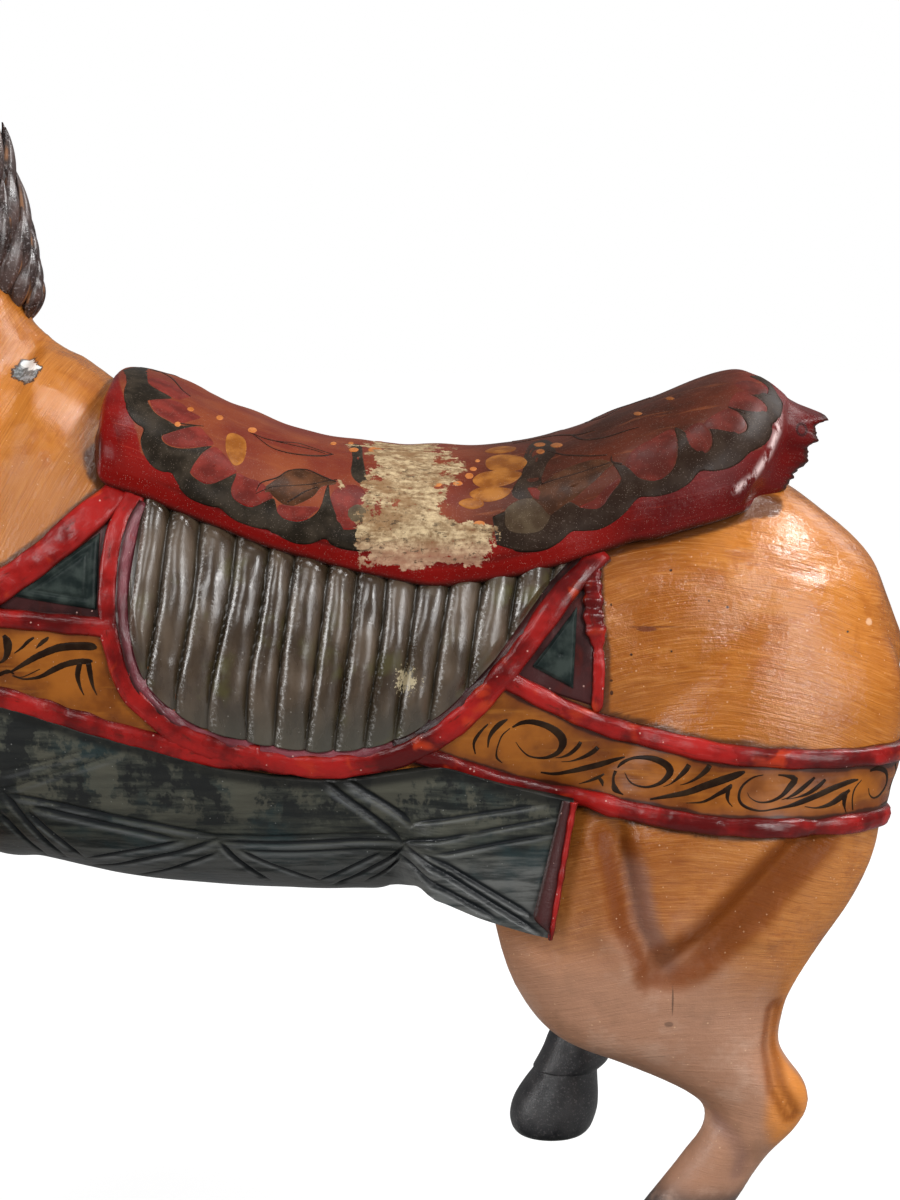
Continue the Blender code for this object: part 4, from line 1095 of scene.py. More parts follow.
    leaves: tuple = (
        ((0.2572, -0.691), (0.2848, -0.584), (0.3056, -0.499), (0.328, -0.46), (0.3522, -0.475),
         (0.3704, -0.5), (0.351, -0.538), (0.3366, -0.613), (0.3091, -0.688), (0.293, -0.699),
         (0.2726, -0.66)),
        ((0.6163, -0.563), (0.6344, -0.495), (0.6668, -0.441), (0.6988, -0.451), (0.726, -0.525),
         (0.716, -0.544), (0.7002, -0.588), (0.6758, -0.637), (0.6595, -0.664), (0.6354, -0.699),
         (0.6189, -0.656)),
    )  # fmt: skip
    grey_spots: tuple = (
        ((0.3783, -0.656), (0.384, -0.616), (0.3951, -0.591), (0.4054, -0.603), (0.4094, -0.634),
         (0.4038, -0.677), (0.3923, -0.702), (0.3817, -0.693)),
        ((0.5789, -0.663), (0.5865, -0.593), (0.6103, -0.562), (0.6347, -0.611), (0.6463, -0.694),
         (0.6359, -0.753), (0.6118, -0.751), (0.5874, -0.721)),
    )  # fmt: skip
    ochre_petals: tuple = (
        ((0.2229, -0.42), (0.2326, -0.384), (0.2472, -0.396), (0.25, -0.47), (0.2442, -0.546),
         (0.2336, -0.588), (0.2259, -0.574), (0.2208, -0.511)),
        ((0.5586, -0.257), (0.5745, -0.217), (0.5983, -0.253), (0.6134, -0.319), (0.6059, -0.373),
         (0.5821, -0.385), (0.5604, -0.339)),
        ((0.5409, -0.411), (0.5546, -0.365), (0.5821, -0.368), (0.6051, -0.407), (0.594, -0.464),
         (0.5703, -0.48), (0.5488, -0.461)),
        ((0.5371, -0.495), (0.5546, -0.463), (0.5782, -0.484), (0.5909, -0.507), (0.5823, -0.544),
         (0.5626, -0.557), (0.5449, -0.534)),
        ((0.5234, -0.551), (0.5352, -0.525), (0.5527, -0.542), (0.5548, -0.575), (0.5391, -0.585)),
        ((0.5568, -0.162), (0.575, -0.105), (0.5969, -0.149), (0.5945, -0.202), (0.5745, -0.207)),
    )  # fmt: skip
    dots: tuple = (
        ((0.1562, -0.484), (0.1539, -0.504), (0.1492, -0.513), (0.1466, -0.502), (0.1487, -0.483),
         (0.1536, -0.473)),
        ((0.1738, -0.338), (0.1716, -0.357), (0.1666, -0.367), (0.1636, -0.358), (0.1658, -0.338),
         (0.1708, -0.328)),
        ((0.2171, -0.288), (0.2147, -0.319), (0.2093, -0.334), (0.2063, -0.323), (0.2088, -0.294),
         (0.2142, -0.274)),
        ((0.2652, -0.272), (0.2622, -0.302), (0.2558, -0.317), (0.2524, -0.301), (0.2554, -0.27),
         (0.2617, -0.256)),
        ((0.3701, -0.146), (0.3683, -0.173), (0.3642, -0.181), (0.3619, -0.165), (0.3637, -0.137),
         (0.3678, -0.126)),
        ((0.3983, -0.2), (0.3953, -0.23), (0.389, -0.237), (0.3857, -0.217), (0.3887, -0.185),
         (0.395, -0.176)),
        ((0.391, -0.111), (0.3896, -0.131), (0.3861, -0.136), (0.3842, -0.12), (0.3856, -0.098),
         (0.389, -0.094)),
        ((0.4264, -0.172), (0.4224, -0.209), (0.4138, -0.217), (0.4093, -0.186), (0.4132, -0.146),
         (0.4218, -0.139)),
        ((0.5468, -0.337), (0.5444, -0.351), (0.5398, -0.351), (0.5374, -0.338), (0.5398, -0.324),
         (0.5444, -0.323)),
        ((0.5425, -0.387), (0.5398, -0.405), (0.5343, -0.405), (0.5316, -0.388), (0.5343, -0.369),
         (0.5398, -0.369)),
        ((0.5507, -0.267), (0.5492, -0.279), (0.546, -0.28), (0.5445, -0.268), (0.5461, -0.255),
         (0.5492, -0.254)),
        ((0.638, -0.185), (0.6337, -0.204), (0.6255, -0.19), (0.6216, -0.154), (0.626, -0.13),
         (0.6342, -0.147)),
        ((0.6358, -0.271), (0.6327, -0.286), (0.627, -0.277), (0.6242, -0.253), (0.6273, -0.234),
         (0.633, -0.243)),
        ((0.6594, -0.261), (0.6553, -0.276), (0.6471, -0.257), (0.6432, -0.22), (0.6475, -0.199),
         (0.6556, -0.222)),
        ((0.7925, -0.208), (0.7901, -0.214), (0.7853, -0.197), (0.783, -0.17), (0.7855, -0.162),
         (0.7903, -0.183)),
        ((0.7567, -0.246), (0.754, -0.253), (0.7488, -0.234), (0.7464, -0.205), (0.7491, -0.197),
         (0.7542, -0.219)),
        ((0.5288, -0.438), (0.5257, -0.451), (0.5195, -0.453), (0.5163, -0.441), (0.5194, -0.427),
         (0.5257, -0.425)),
        ((0.503, -0.448), (0.4998, -0.463), (0.4936, -0.463), (0.4904, -0.449), (0.4935, -0.435),
         (0.4998, -0.434)),
        ((0.5578, -0.664), (0.5539, -0.677), (0.5459, -0.675), (0.5419, -0.661), (0.5459, -0.648),
         (0.5538, -0.65)),
    )  # fmt: skip
    veins: tuple = (
        ((0.2558, -0.321, 0.14), (0.2785, -0.322, 0.41), (0.3006, -0.298, 0.41), (0.3225, -0.261, 0.41),
         (0.3412, -0.266, 0.41), (0.3654, -0.286, 0.28)),
        ((0.2607, -0.325, 0.14), (0.2817, -0.373, 0.41), (0.3041, -0.372, 0.55), (0.329, -0.353, 0.83),
         (0.3504, -0.326, 0.97), (0.3669, -0.286, 0.41)),
        ((0.2704, -0.324, 0.14), (0.2912, -0.312, 0.41), (0.3164, -0.296, 0.41), (0.3382, -0.284, 0.55),
         (0.3565, -0.295, 0.28)),
        ((0.2572, -0.691, 0.28), (0.2836, -0.62, 0.41), (0.3097, -0.584, 0.41), (0.3355, -0.545, 0.55),
         (0.3548, -0.503, 0.41), (0.3701, -0.479, 0.28)),
        ((0.3, -0.68, 0.55), (0.3141, -0.637, 0.83), (0.3279, -0.593, 0.69), (0.3446, -0.55, 0.41)),
        ((0.2576, -0.68, 0.28), (0.2678, -0.62, 0.41), (0.2918, -0.557, 0.55), (0.3088, -0.494, 0.55),
         (0.3312, -0.456, 0.69), (0.3522, -0.475, 0.69), (0.3699, -0.493, 0.41)),
        ((0.1548, -0.482, 0.55), (0.1688, -0.46, 0.55), (0.1894, -0.424, 0.14)),
        ((0.0919, 0.035, 0.69), (0.1206, -0.048, 0.83), (0.1496, -0.193, 0.69), (0.1652, -0.229, 0.28)),
        ((0.6694, -0.157, 0.37), (0.6838, -0.265, 1.1), (0.7065, -0.31, 1.1), (0.7301, -0.336, 0.73),
         (0.7534, -0.354, 0.18)),
        ((0.5954, -0.068, 0.55), (0.6207, -0.054, 1.1), (0.6499, -0.084, 1.1), (0.6769, -0.19, 0.92),
         (0.6998, -0.214, 0.37)),
        ((0.7215, -0.48, 0.18), (0.723, -0.515, 0.73), (0.7367, -0.548, 0.92)),
        ((0.6304, -0.509, 0.73), (0.6588, -0.501, 0.73), (0.6908, -0.501, 0.73), (0.7197, -0.514, 0.55)),
        ((0.6395, -0.278, 0.55), (0.6595, -0.353, 0.73), (0.683, -0.401, 0.73), (0.7152, -0.462, 0.37)),
        ((0.6917, 0.035, 0.37), (0.71, -0.069, 0.92), (0.7381, -0.012, 0.73), (0.7698, 0.035, 0.37)),
        ((0.8618, -0.411, 0.37), (0.8735, -0.431, 0.92), (0.89, -0.448, 0.73)),
    )  # fmt: skip

    def shapes(self, saddle: Saddle) -> dict[str, Shape]:
        """Every film of the ornament on both halves of the seat, by the paint's name."""
        made = {}
        for mirror in (1, -1):

            def place(s: Array, q: Array, proud: Array, mirror: int = mirror) -> Array:
                """The seat's points on one half."""
                return saddle.place(s, mirror * q, proud)

            bands = [ribbon(place, rows, 0.00020) for rows in (self.front_band, self.rear_band)]
            parts = {
                "scalloped_band": joined([*bands, blots(place, self.dark_blots, 0.00016)]),
                "red_petals": blots(place, self.petals, 0.00024),
                "leaves": blots(place, self.leaves, 0.00028),
                "grey_spots": blots(place, self.grey_spots, 0.00030),
                "ochre_petals": blots(place, self.ochre_petals, 0.00034),
                "orange_dots": blots(place, self.dots, 0.00040),
                "veins": strokes(place, self.veins, 0.00036),
            }
            for key, shape in parts.items():
                made[key] = joined([made[key], shape]) if key in made else shape
        return made


@dataclass
class BandOrnament:
    """The bands' black scrolls, in u, z and half breadth in millimetres."""

    rump_scrolls: tuple = (
        ((0.1676, 0.5024, 0.3), (0.1629, 0.4983, 0.51), (0.1605, 0.493, 0.51), (0.1592, 0.4877, 0.51),
         (0.1595, 0.4834, 0.81), (0.1629, 0.48, 0.3)),
        ((0.1692, 0.5031, 0.61), (0.175, 0.506, 1.42), (0.1823, 0.5065, 1.83), (0.1918, 0.5034, 2.24),
         (0.1993, 0.4979, 2.85), (0.2013, 0.4925, 2.64), (0.1984, 0.4866, 1.83), (0.1921, 0.4834, 1.32),
         (0.1857, 0.483, 0.81), (0.1793, 0.4847, 0.61), (0.1745, 0.4891, 0.41), (0.1713, 0.4938, 0.2)),
        ((0.1661, 0.5082, 0.61), (0.1613, 0.5053, 1.83), (0.1571, 0.501, 1.63), (0.1545, 0.4962, 1.02),
         (0.1537, 0.4904, 0.41)),
        ((0.1538, 0.5053, 0.51), (0.1498, 0.5011, 0.92), (0.1462, 0.4963, 1.22), (0.1448, 0.4921, 0.81),
         (0.1459, 0.4863, 0.41)),
        ((0.2126, 0.4932, 1.22), (0.2105, 0.4897, 1.52), (0.2058, 0.4854, 1.32), (0.2006, 0.4833, 0.61),
         (0.1969, 0.483, 0.2)),
        ((0.2237, 0.4895, 1.52), (0.2201, 0.4863, 1.63), (0.2143, 0.4831, 1.22), (0.207, 0.4807, 0.51),
         (0.2006, 0.4803, 0.2)),
        ((0.2417, 0.4825, 0.51), (0.2352, 0.4807, 1.42), (0.2264, 0.4783, 2.03), (0.2156, 0.4759, 2.03),
         (0.205, 0.4737, 1.52), (0.1965, 0.4723, 1.22), (0.1874, 0.4735, 0.61)),
        ((0.2123, 0.4656, 0.2), (0.2183, 0.4669, 0.81), (0.2238, 0.4688, 1.22), (0.2287, 0.4714, 0.61)),
        ((0.2248, 0.4696, 0.81), (0.2273, 0.4664, 1.42), (0.228, 0.4634, 0.3)),
        ((0.2361, 0.4735, 1.22), (0.2347, 0.4698, 0.92), (0.2347, 0.4657, 1.22), (0.2355, 0.4625, 2.24),
         (0.2382, 0.4604, 1.02), (0.2406, 0.4592, 0.3)),
        ((0.2371, 0.4754, 0.41), (0.2397, 0.4784, 1.22), (0.2459, 0.4817, 1.02), (0.2531, 0.4827, 1.42),
         (0.2602, 0.4821, 2.03), (0.2672, 0.4789, 2.44), (0.2692, 0.4749, 2.54), (0.2666, 0.4707, 1.83),
         (0.2619, 0.4669, 1.22), (0.2548, 0.4647, 0.81), (0.2477, 0.4656, 0.61), (0.2438, 0.4683, 0.51),
         (0.2416, 0.4728, 0.2)),
        ((0.281, 0.4797, 1.63), (0.2784, 0.4758, 1.83), (0.2732, 0.4705, 1.02), (0.2691, 0.4672, 0.41),
         (0.265, 0.4655, 0.2)),
        ((0.2936, 0.4798, 1.63), (0.2911, 0.4762, 1.83), (0.2855, 0.4714, 1.02), (0.2794, 0.4681, 0.51),
         (0.2752, 0.4669, 0.2)),
        ((0.3136, 0.4757, 0.81), (0.309, 0.4737, 2.24), (0.2998, 0.47, 2.64), (0.2895, 0.4663, 2.44),
         (0.2793, 0.4623, 2.03), (0.269, 0.4599, 1.52), (0.2567, 0.4573, 0.61)),
        ((0.3062, 0.4679, 0.61), (0.3044, 0.4653, 1.83), (0.2988, 0.4617, 1.32), (0.2895, 0.4568, 0.81),
         (0.2787, 0.4557, 0.2)),
        ((0.3051, 0.4664, 0.81), (0.3039, 0.4612, 1.42), (0.3044, 0.457, 0.61), (0.3066, 0.4539, 0.3)),
        ((0.3238, 0.4735, 0.3), (0.3182, 0.472, 0.61), (0.3126, 0.4674, 0.81), (0.3103, 0.4622, 0.92),
         (0.3107, 0.457, 1.02), (0.3143, 0.4533, 1.02), (0.3214, 0.451, 0.61), (0.3288, 0.4518, 0.61),
         (0.3363, 0.4532, 1.02), (0.3438, 0.4555, 1.83), (0.3533, 0.4593, 2.03), (0.3627, 0.4635, 2.03),
         (0.3726, 0.4668, 1.63), (0.3778, 0.4675, 0.61)),
        ((0.3322, 0.4733, 0.51), (0.3368, 0.4726, 1.02), (0.3414, 0.4704, 2.24), (0.3385, 0.4657, 2.03),
         (0.3337, 0.4601, 1.22), (0.3271, 0.4567, 0.81), (0.3207, 0.4566, 0.51), (0.3162, 0.4595, 0.3),
         (0.3149, 0.4626, 0.2)),
        ((0.3524, 0.471, 0.81), (0.3487, 0.4675, 1.42), (0.343, 0.4624, 1.42), (0.3374, 0.4589, 0.61),
         (0.3336, 0.4577, 0.2)),
        ((0.3584, 0.4693, 1.02), (0.3542, 0.4651, 1.52), (0.3486, 0.4611, 1.22), (0.342, 0.4588, 0.41),
         (0.3364, 0.4579, 0.2)),
        ((0.3727, 0.4614, 1.02), (0.3678, 0.4577, 2.24), (0.361, 0.4534, 1.63), (0.3533, 0.4516, 0.61),
         (0.3466, 0.4528, 0.3)),
        ((0.3708, 0.46, 1.22), (0.3695, 0.4542, 1.63), (0.3703, 0.4498, 0.61), (0.3714, 0.4469, 0.3)),
        ((0.3801, 0.467, 0.3), (0.3759, 0.4621, 0.61), (0.3747, 0.4558, 0.61), (0.3758, 0.448, 0.61)),
        ((0.3856, 0.4723, 0.81), (0.3916, 0.4731, 1.63), (0.3995, 0.4691, 1.63), (0.4016, 0.4615, 1.32),
         (0.3977, 0.4555, 1.22), (0.3917, 0.4535, 0.71), (0.3871, 0.4562, 0.51), (0.3856, 0.4609, 0.3)),
        ((0.409, 0.4729, 0.92), (0.4136, 0.4663, 0.81), (0.4101, 0.4597, 0.51), (0.4078, 0.4557, 0.3)),
        ((0.4126, 0.4637, 0.61), (0.4116, 0.4578, 0.81), (0.4104, 0.4493, 0.61), (0.3997, 0.4472, 0.3)),
    )  # fmt: skip
    breast_leaves: tuple = (
        ((-0.0918, 0.5532, 0.9), (-0.0948, 0.554, 2.6), (-0.1029, 0.5544, 2.65), (-0.1155, 0.5533, 2.53),
         (-0.1283, 0.5483, 2.17), (-0.1372, 0.5433, 1.69), (-0.1461, 0.538, 0.84),
         (-0.1511, 0.5361, 0.24)),
        ((-0.0945, 0.545, 0.6), (-0.0972, 0.545, 1.7), (-0.1031, 0.5448, 2.1), (-0.112, 0.5427, 2.17),
         (-0.1197, 0.5392, 2.05), (-0.1286, 0.5346, 1.21), (-0.1387, 0.5331, 0.6),
         (-0.1461, 0.5349, 0.24)),
        ((-0.1025, 0.5446, 1.9), (-0.1043, 0.5359, 1.75), (-0.1029, 0.5289, 0.96),
         (-0.1005, 0.5232, 0.24)),
        ((-0.0972, 0.5442, 1.8), (-0.0958, 0.5347, 1.6), (-0.0944, 0.5284, 0.84),
         (-0.0922, 0.5233, 0.24)),
        ((-0.1446, 0.5492, 0.36), (-0.1395, 0.5529, 0.96), (-0.1357, 0.5567, 1.21),
         (-0.1318, 0.5593, 0.72)),
        ((-0.1307, 0.5524, 0.24), (-0.1275, 0.5556, 1.45), (-0.1242, 0.5581, 1.45),
         (-0.1223, 0.5597, 0.6)),
        ((-0.1461, 0.5356, 0.24), (-0.1399, 0.5343, 0.36), (-0.1285, 0.5394, 0.36)),
        ((-0.1513, 0.5606, 1.21), (-0.1489, 0.556, 2.89), (-0.149, 0.5497, 2.41),
         (-0.1515, 0.5448, 1.21), (-0.156, 0.5423, 0.36)),
        ((-0.1574, 0.5348, 0.96), (-0.1536, 0.5361, 1.45), (-0.1486, 0.538, 1.21),
         (-0.1449, 0.5362, 0.48)),
    )  # fmt: skip


# ---------------------------------------------------------------- skirt, bands, panels, blanket


@dataclass
class Skirt:
    """The ribbed cloth under the saddle on one side, its border and the bevel inside it."""

    girdle: Girdle
    saddle: Saddle
    side: int
    rib_height: float = 0.0088
    rib_lean: float = 0.135
    lean_from: float = 0.600
    # Where across a rib its crest lies
    crest: float = 0.46
    border_half: float = 0.0078
    border_proud: float = 0.0072
    # The bevel inside the border: across and height
    bevel: tuple = (
        (0.004, 0.0062), (0.0062, 0.006), (0.0085, 0.005), (0.0108, 0.0036),
        (0.0124, 0.0024), (0.013, 0.0008), (0.012, -ROOT_DEPTH), (0.004, -ROOT_DEPTH),
    )  # fmt: skip
    rib_edges: tuple = (
        -0.09, -0.069, -0.051, -0.0311, -0.0081, 0.0149, 0.0317, 0.0535, 0.0721, 0.0908, 0.1095, 0.13,
        0.151, 0.1735, 0.196, 0.24,
    )  # fmt: skip
    border: tuple = (
        (-0.068, 0.649), (-0.0765, 0.634), (-0.0812, 0.6175), (-0.0837, 0.5979), (-0.0843, 0.58),
        (-0.0828, 0.5635), (-0.0788, 0.5455), (-0.0716, 0.5271), (-0.06, 0.5142), (-0.044, 0.501),
        (-0.018, 0.4895), (0.018, 0.4815), (0.055, 0.4785), (0.096, 0.485), (0.131, 0.504),
        (0.16, 0.533), (0.1795, 0.5575), (0.2015, 0.586), (0.226, 0.611),
    )  # fmt: skip

    @property
    def suffix(self) -> str:
        """The side's name at the end of a piece's name."""
        return "near" if self.side == NEAR else "far"

    def rib(self, x: Array, z: Array) -> tuple[Array, Array]:
        """Height share and place within its rib of each point.

        A rib rises as a quarter ellipse over the first two fifths of its breadth, its steep
        front, and falls away over the rest as a flatter one into the next valley.
        """
        drift = 0.0016 * unevenness(z, x, 21, 0.09)
        middle = x - self.rib_lean * (z - self.lean_from) + drift
        edges = np.array(self.rib_edges)
        index = np.clip(np.searchsorted(edges, middle) - 1, 0, len(edges) - 2)
        share = (middle - edges[index]) / (edges[index + 1] - edges[index])
        front = np.clip((self.crest - share) / self.crest, 0, 1)
        back = np.clip((share - self.crest) / (1 - self.crest), 0, 1)
        lift = np.where(share < self.crest, (1 - front**2.0) ** 0.52, (1 - back**2.0) ** 0.75)
        size = 0.92 + 0.12 * np.sin(7.3 * index + 1.0)
        return lift * size, share

    def cloth(self) -> Shape:
        """The ribs, on a grid from the saddle's edge down to the border."""
        rows, columns = (141, 361) if self.side == NEAR else (71, 181)
        edge = spaced(self.border, 0.002)
        run = unit(np.gradient(edge, axis=0))
        inset = 0.0118 - 0.0014 * ease(np.linspace(0, 1, len(edge)), 0.16, 0.40)
        edge = edge + inset[:, None] * np.column_stack([-run[:, 1], run[:, 0]])
        edge = edge[edge[:, 0].argmin() : edge[:, 0].argmax()]
        saddle_edge = np.array(self.saddle.rows)[:, 2:4]
        across = np.linspace(0, 1, columns)[None, :]
        down = np.linspace(0, 1, rows)[:, None]
        foot_x = edge[0, 0] + across * (edge[-1, 0] - 0.004 - edge[0, 0])
        foot_z = np.interp(foot_x, edge[:, 0], edge[:, 1])
        top_x = foot_x + 0.010
        top_z = np.interp(top_x, saddle_edge[:, 0], saddle_edge[:, 1]) + 0.008
        x = top_x * (1 - down) + foot_x * down
        z = top_z * (1 - down) + foot_z * down
        lift, share = self.rib(x, z)
        depth = (1 - 0.55 * ease(down, 0.78, 1.0)) * (0.45 + 0.55 * ease(down, 0.03, 0.14))
        gouges = 0.00020 * unevenness(x, z, 22, 0.016) + 0.0006 * unevenness(x, 0.6 * z, 23, 0.030)
        proud = 0.0024 + self.rib_height * lift * depth + gouges
        place = self.girdle.place(self.side)
        outer = place(x, z, proud)
        roots = place(x, z, np.full_like(x, -0.007))
        core = np.array((0.07, 0.0, 0.56))
        uv = np.stack([x, z], axis=-1)
        return slab(outer, roots, core, uv, share=share, lift=lift)

    def border_shapes(self) -> tuple[Shape, Shape, Shape]:
        """The rounded border, and the bevel inside it: its front and foot, and its rear."""
        place = self.girdle.place(self.side)
        path = spaced(self.border, 0.0025)
        run = np.linspace(0, 1, len(path))
        swell = 0.90 + 0.14 * ease(run, 0.16, 0.42)
        roll = roll_profile(self.border_half, self.border_proud, flat=3.0)
        border = moulding(place, path, roll, swell, 31)
        bevel = np.array(self.bevel)
        split = int(0.64 * len(path))
        left, rear = path[2:split], path[split - 2 : -2]
        wide = 1.12 - 0.20 * ease(np.linspace(0, 1, len(left)), 0.25, 0.60)
        return border, moulding(place, left, bevel, wide, 32), moulding(place, rear, bevel, 0.95, 33)


@dataclass
class Trapping:
    """The bands round breast and rump: a painted strip between two ridges."""

    girdle: Girdle
    ridge_half: float = 0.0066
    ridge_proud: float = 0.0068
    strip_proud: float = 0.0028
    rear_top: tuple = ((0.160, 0.536), (0.2235, 0.505), (0.286, 0.4895), (0.335, 0.4835), (0.400, 0.4812))
    rear_foot: tuple = (
        (0.098, 0.489), (0.126, 0.481), (0.1636, 0.4675), (0.2235, 0.454), (0.2855, 0.443),
        (0.35, 0.4395),
    )  # fmt: skip
    rear_ends: tuple = (0.481, 0.4385)
    front_top: tuple = ((-0.080, 0.5655), (-0.150, 0.5710), (-0.200, 0.5740), (-0.270, 0.5757))
    front_foot: tuple = (
        (0.01, 0.484), (-0.018, 0.4855), (-0.05, 0.4895), (-0.106, 0.505), (-0.15, 0.518),
        (-0.2, 0.5255), (-0.27, 0.5293),
    )  # fmt: skip
    front_ends: tuple = (0.576, 0.530)

    def round_end(self, knots: tuple, end_z: float, middle: float) -> Array:
        """A path from the near side round an end to the far side.

        Args:
            knots: u, z on the near side.
            end_z: Height on the middle plane.
            middle: u of the middle plane.

        Returns:
            The path's knots, mirrored past the middle.
        """
        knots = np.array(knots)
        mirrored = np.column_stack([2 * middle - knots[::-1, 0], knots[::-1, 1]])
        return np.vstack([knots, [[middle, end_z]], mirrored])

    def on_strip(self, side: int) -> Placer:
        """The strip's hand-cut outer face."""
        place = self.girdle.place(side)
        return lambda u, z, proud: place(u, z, proud + self.strip_proud + 0.0003 * unevenness(u, z, 80, 0.02))

    def band(self, top: Array, foot: Array, seed: int, foot_half: float) -> tuple[Shape, Shape, Shape]:
        """The painted strip between two ridges, and the ridges.

        Args:
            top: Knots of the upper ridge.
            foot: Knots of the lower ridge.
            seed: Which hand-cut unevenness.
            foot_half: Half breadth of the lower ridge.

        Returns:
            Strip, upper ridge, lower ridge.
        """
        place = self.girdle.place(NEAR)
        upper, lower = (spaced(knots, 0.003) for knots in (top, foot))
        count = 2 * (len(upper) // 2) + 1
        share = np.linspace(0, 1, count)
        ends = [
            np.column_stack([np.interp(share, np.linspace(0, 1, len(p)), c) for c in p.T])
            for p in (upper, lower)
        ]
        across = np.linspace(0.02, 0.98, 21)[:, None, None]
        grid = ends[0][None] * (1 - across) + ends[1][None] * across
        u, z = grid[..., 0], grid[..., 1]
        outer = self.on_strip(NEAR)(u, z, 0 * u)
        roots = place(u, z, np.full_like(u, -ROOT_DEPTH))
        breadth = np.linalg.norm(ends[0] - ends[1], axis=1)
        gap = np.minimum(across[..., 0], 1 - across[..., 0]) * breadth[None]
        strip = slab(outer, roots, outer.reshape(-1, 3).mean(0), np.stack([u, z], axis=-1), gap=gap)
        profile = roll_profile(self.ridge_half, self.ridge_proud)
        low = roll_profile(foot_half, self.ridge_proud)
        return (
            strip,
            moulding(place, upper, profile, 1.0, seed + 1),
            moulding(place, lower, low, 1.0, seed + 2),
        )


@dataclass
class CornerPanel:
    """A small three-sided panel sunk between ridges, ahead of or behind the skirt."""

    girdle: Girdle
    side: int
    corners: tuple
    shade_bed_corners: tuple
    ridges: tuple
    inset: float

    def sheet(self, corners: tuple, proud: float, cut: float) -> Shape:
        """A three-sided sheet: a grid that narrows from one side to the opposite corner.

        Args:
            corners: Its corners.
            proud: How far it stands off the skin.
            cut: How deep the line inside its edges is cut.

        Returns:
            The sheet.
        """
        a, b, c = np.array(corners)
        s = np.linspace(0, 1, 41)[:, None, None]
        t = np.linspace(0, 0.985, 41)[None, :, None]
        spots = (a * (1 - s) + b * s) * (1 - t) + c * t
        u, z = spots[..., 0], spots[..., 1]
        middle = (a + b + c) / 3
        inner = np.array([middle + (corner - middle) * self.inset for corner in (a, b, c, a)])
        line = distance_to_path(u, z, inner)
        edge = distance_to_path(u, z, np.array((a, b, c, a)))
        lift = proud * (0.55 + 0.45 * ease(edge, 0.0, 0.0022)) - cut * bell(line, 0.0011)
        lift = lift + 0.0003 * unevenness(u, z, 41, 0.02)
        place = self.girdle.place(self.side)
        roots = place(u, z, np.full_like(u, -ROOT_DEPTH))
        uv = np.stack([u, z], axis=-1)
        return slab(place(u, z, lift), roots, roots.reshape(-1, 3).mean(0), uv, line=bell(line, 0.0016))

    def panel(self) -> Shape:
        """The panel with bevelled edges."""
        return self.sheet(self.corners, 0.0036, 0.0012)

    def shade_bed(self) -> Shape:
        """The sunk bed the panel and the ridges stand on, a dark sheet painted as the shade in the recess
        round them.
        """
        return self.sheet(self.shade_bed_corners, 0.0010, 0.0)

    def frame(self) -> Shape:
        """The ridges round the panel: knots, half breadth, height, roughness and how it tapers."""
        place = self.girdle.place(self.side)
        rolls = []
        for i, (knots, half, proud, rough, taper) in enumerate(self.ridges):
            path = spaced(knots, 0.0018)
            run = np.linspace(0, 1, len(path))
            notch = 0.5 + 0.5 * np.sin(2 * HALF_TURN * (run * len(path) / 4.3 + 0.3 * np.sin(9 * run)))
            notch *= rough * (1 - 0.7 * ease(run, 0.55, 0.70))
            swell = (1 - notch) * (0.55 + 0.45 * ease(run, 0, 0.05) * ease(run, 1, 0.95))
            swell *= (1 + (taper - 1) * ease(run, 0.50, 0.60)) * (1 - 0.8 * rough * bell(run - 0.56, 0.05))
            rolls.append(moulding(place, path, roll_profile(half, proud, flat=3.4), swell, 50 + i))
        return joined(rolls)


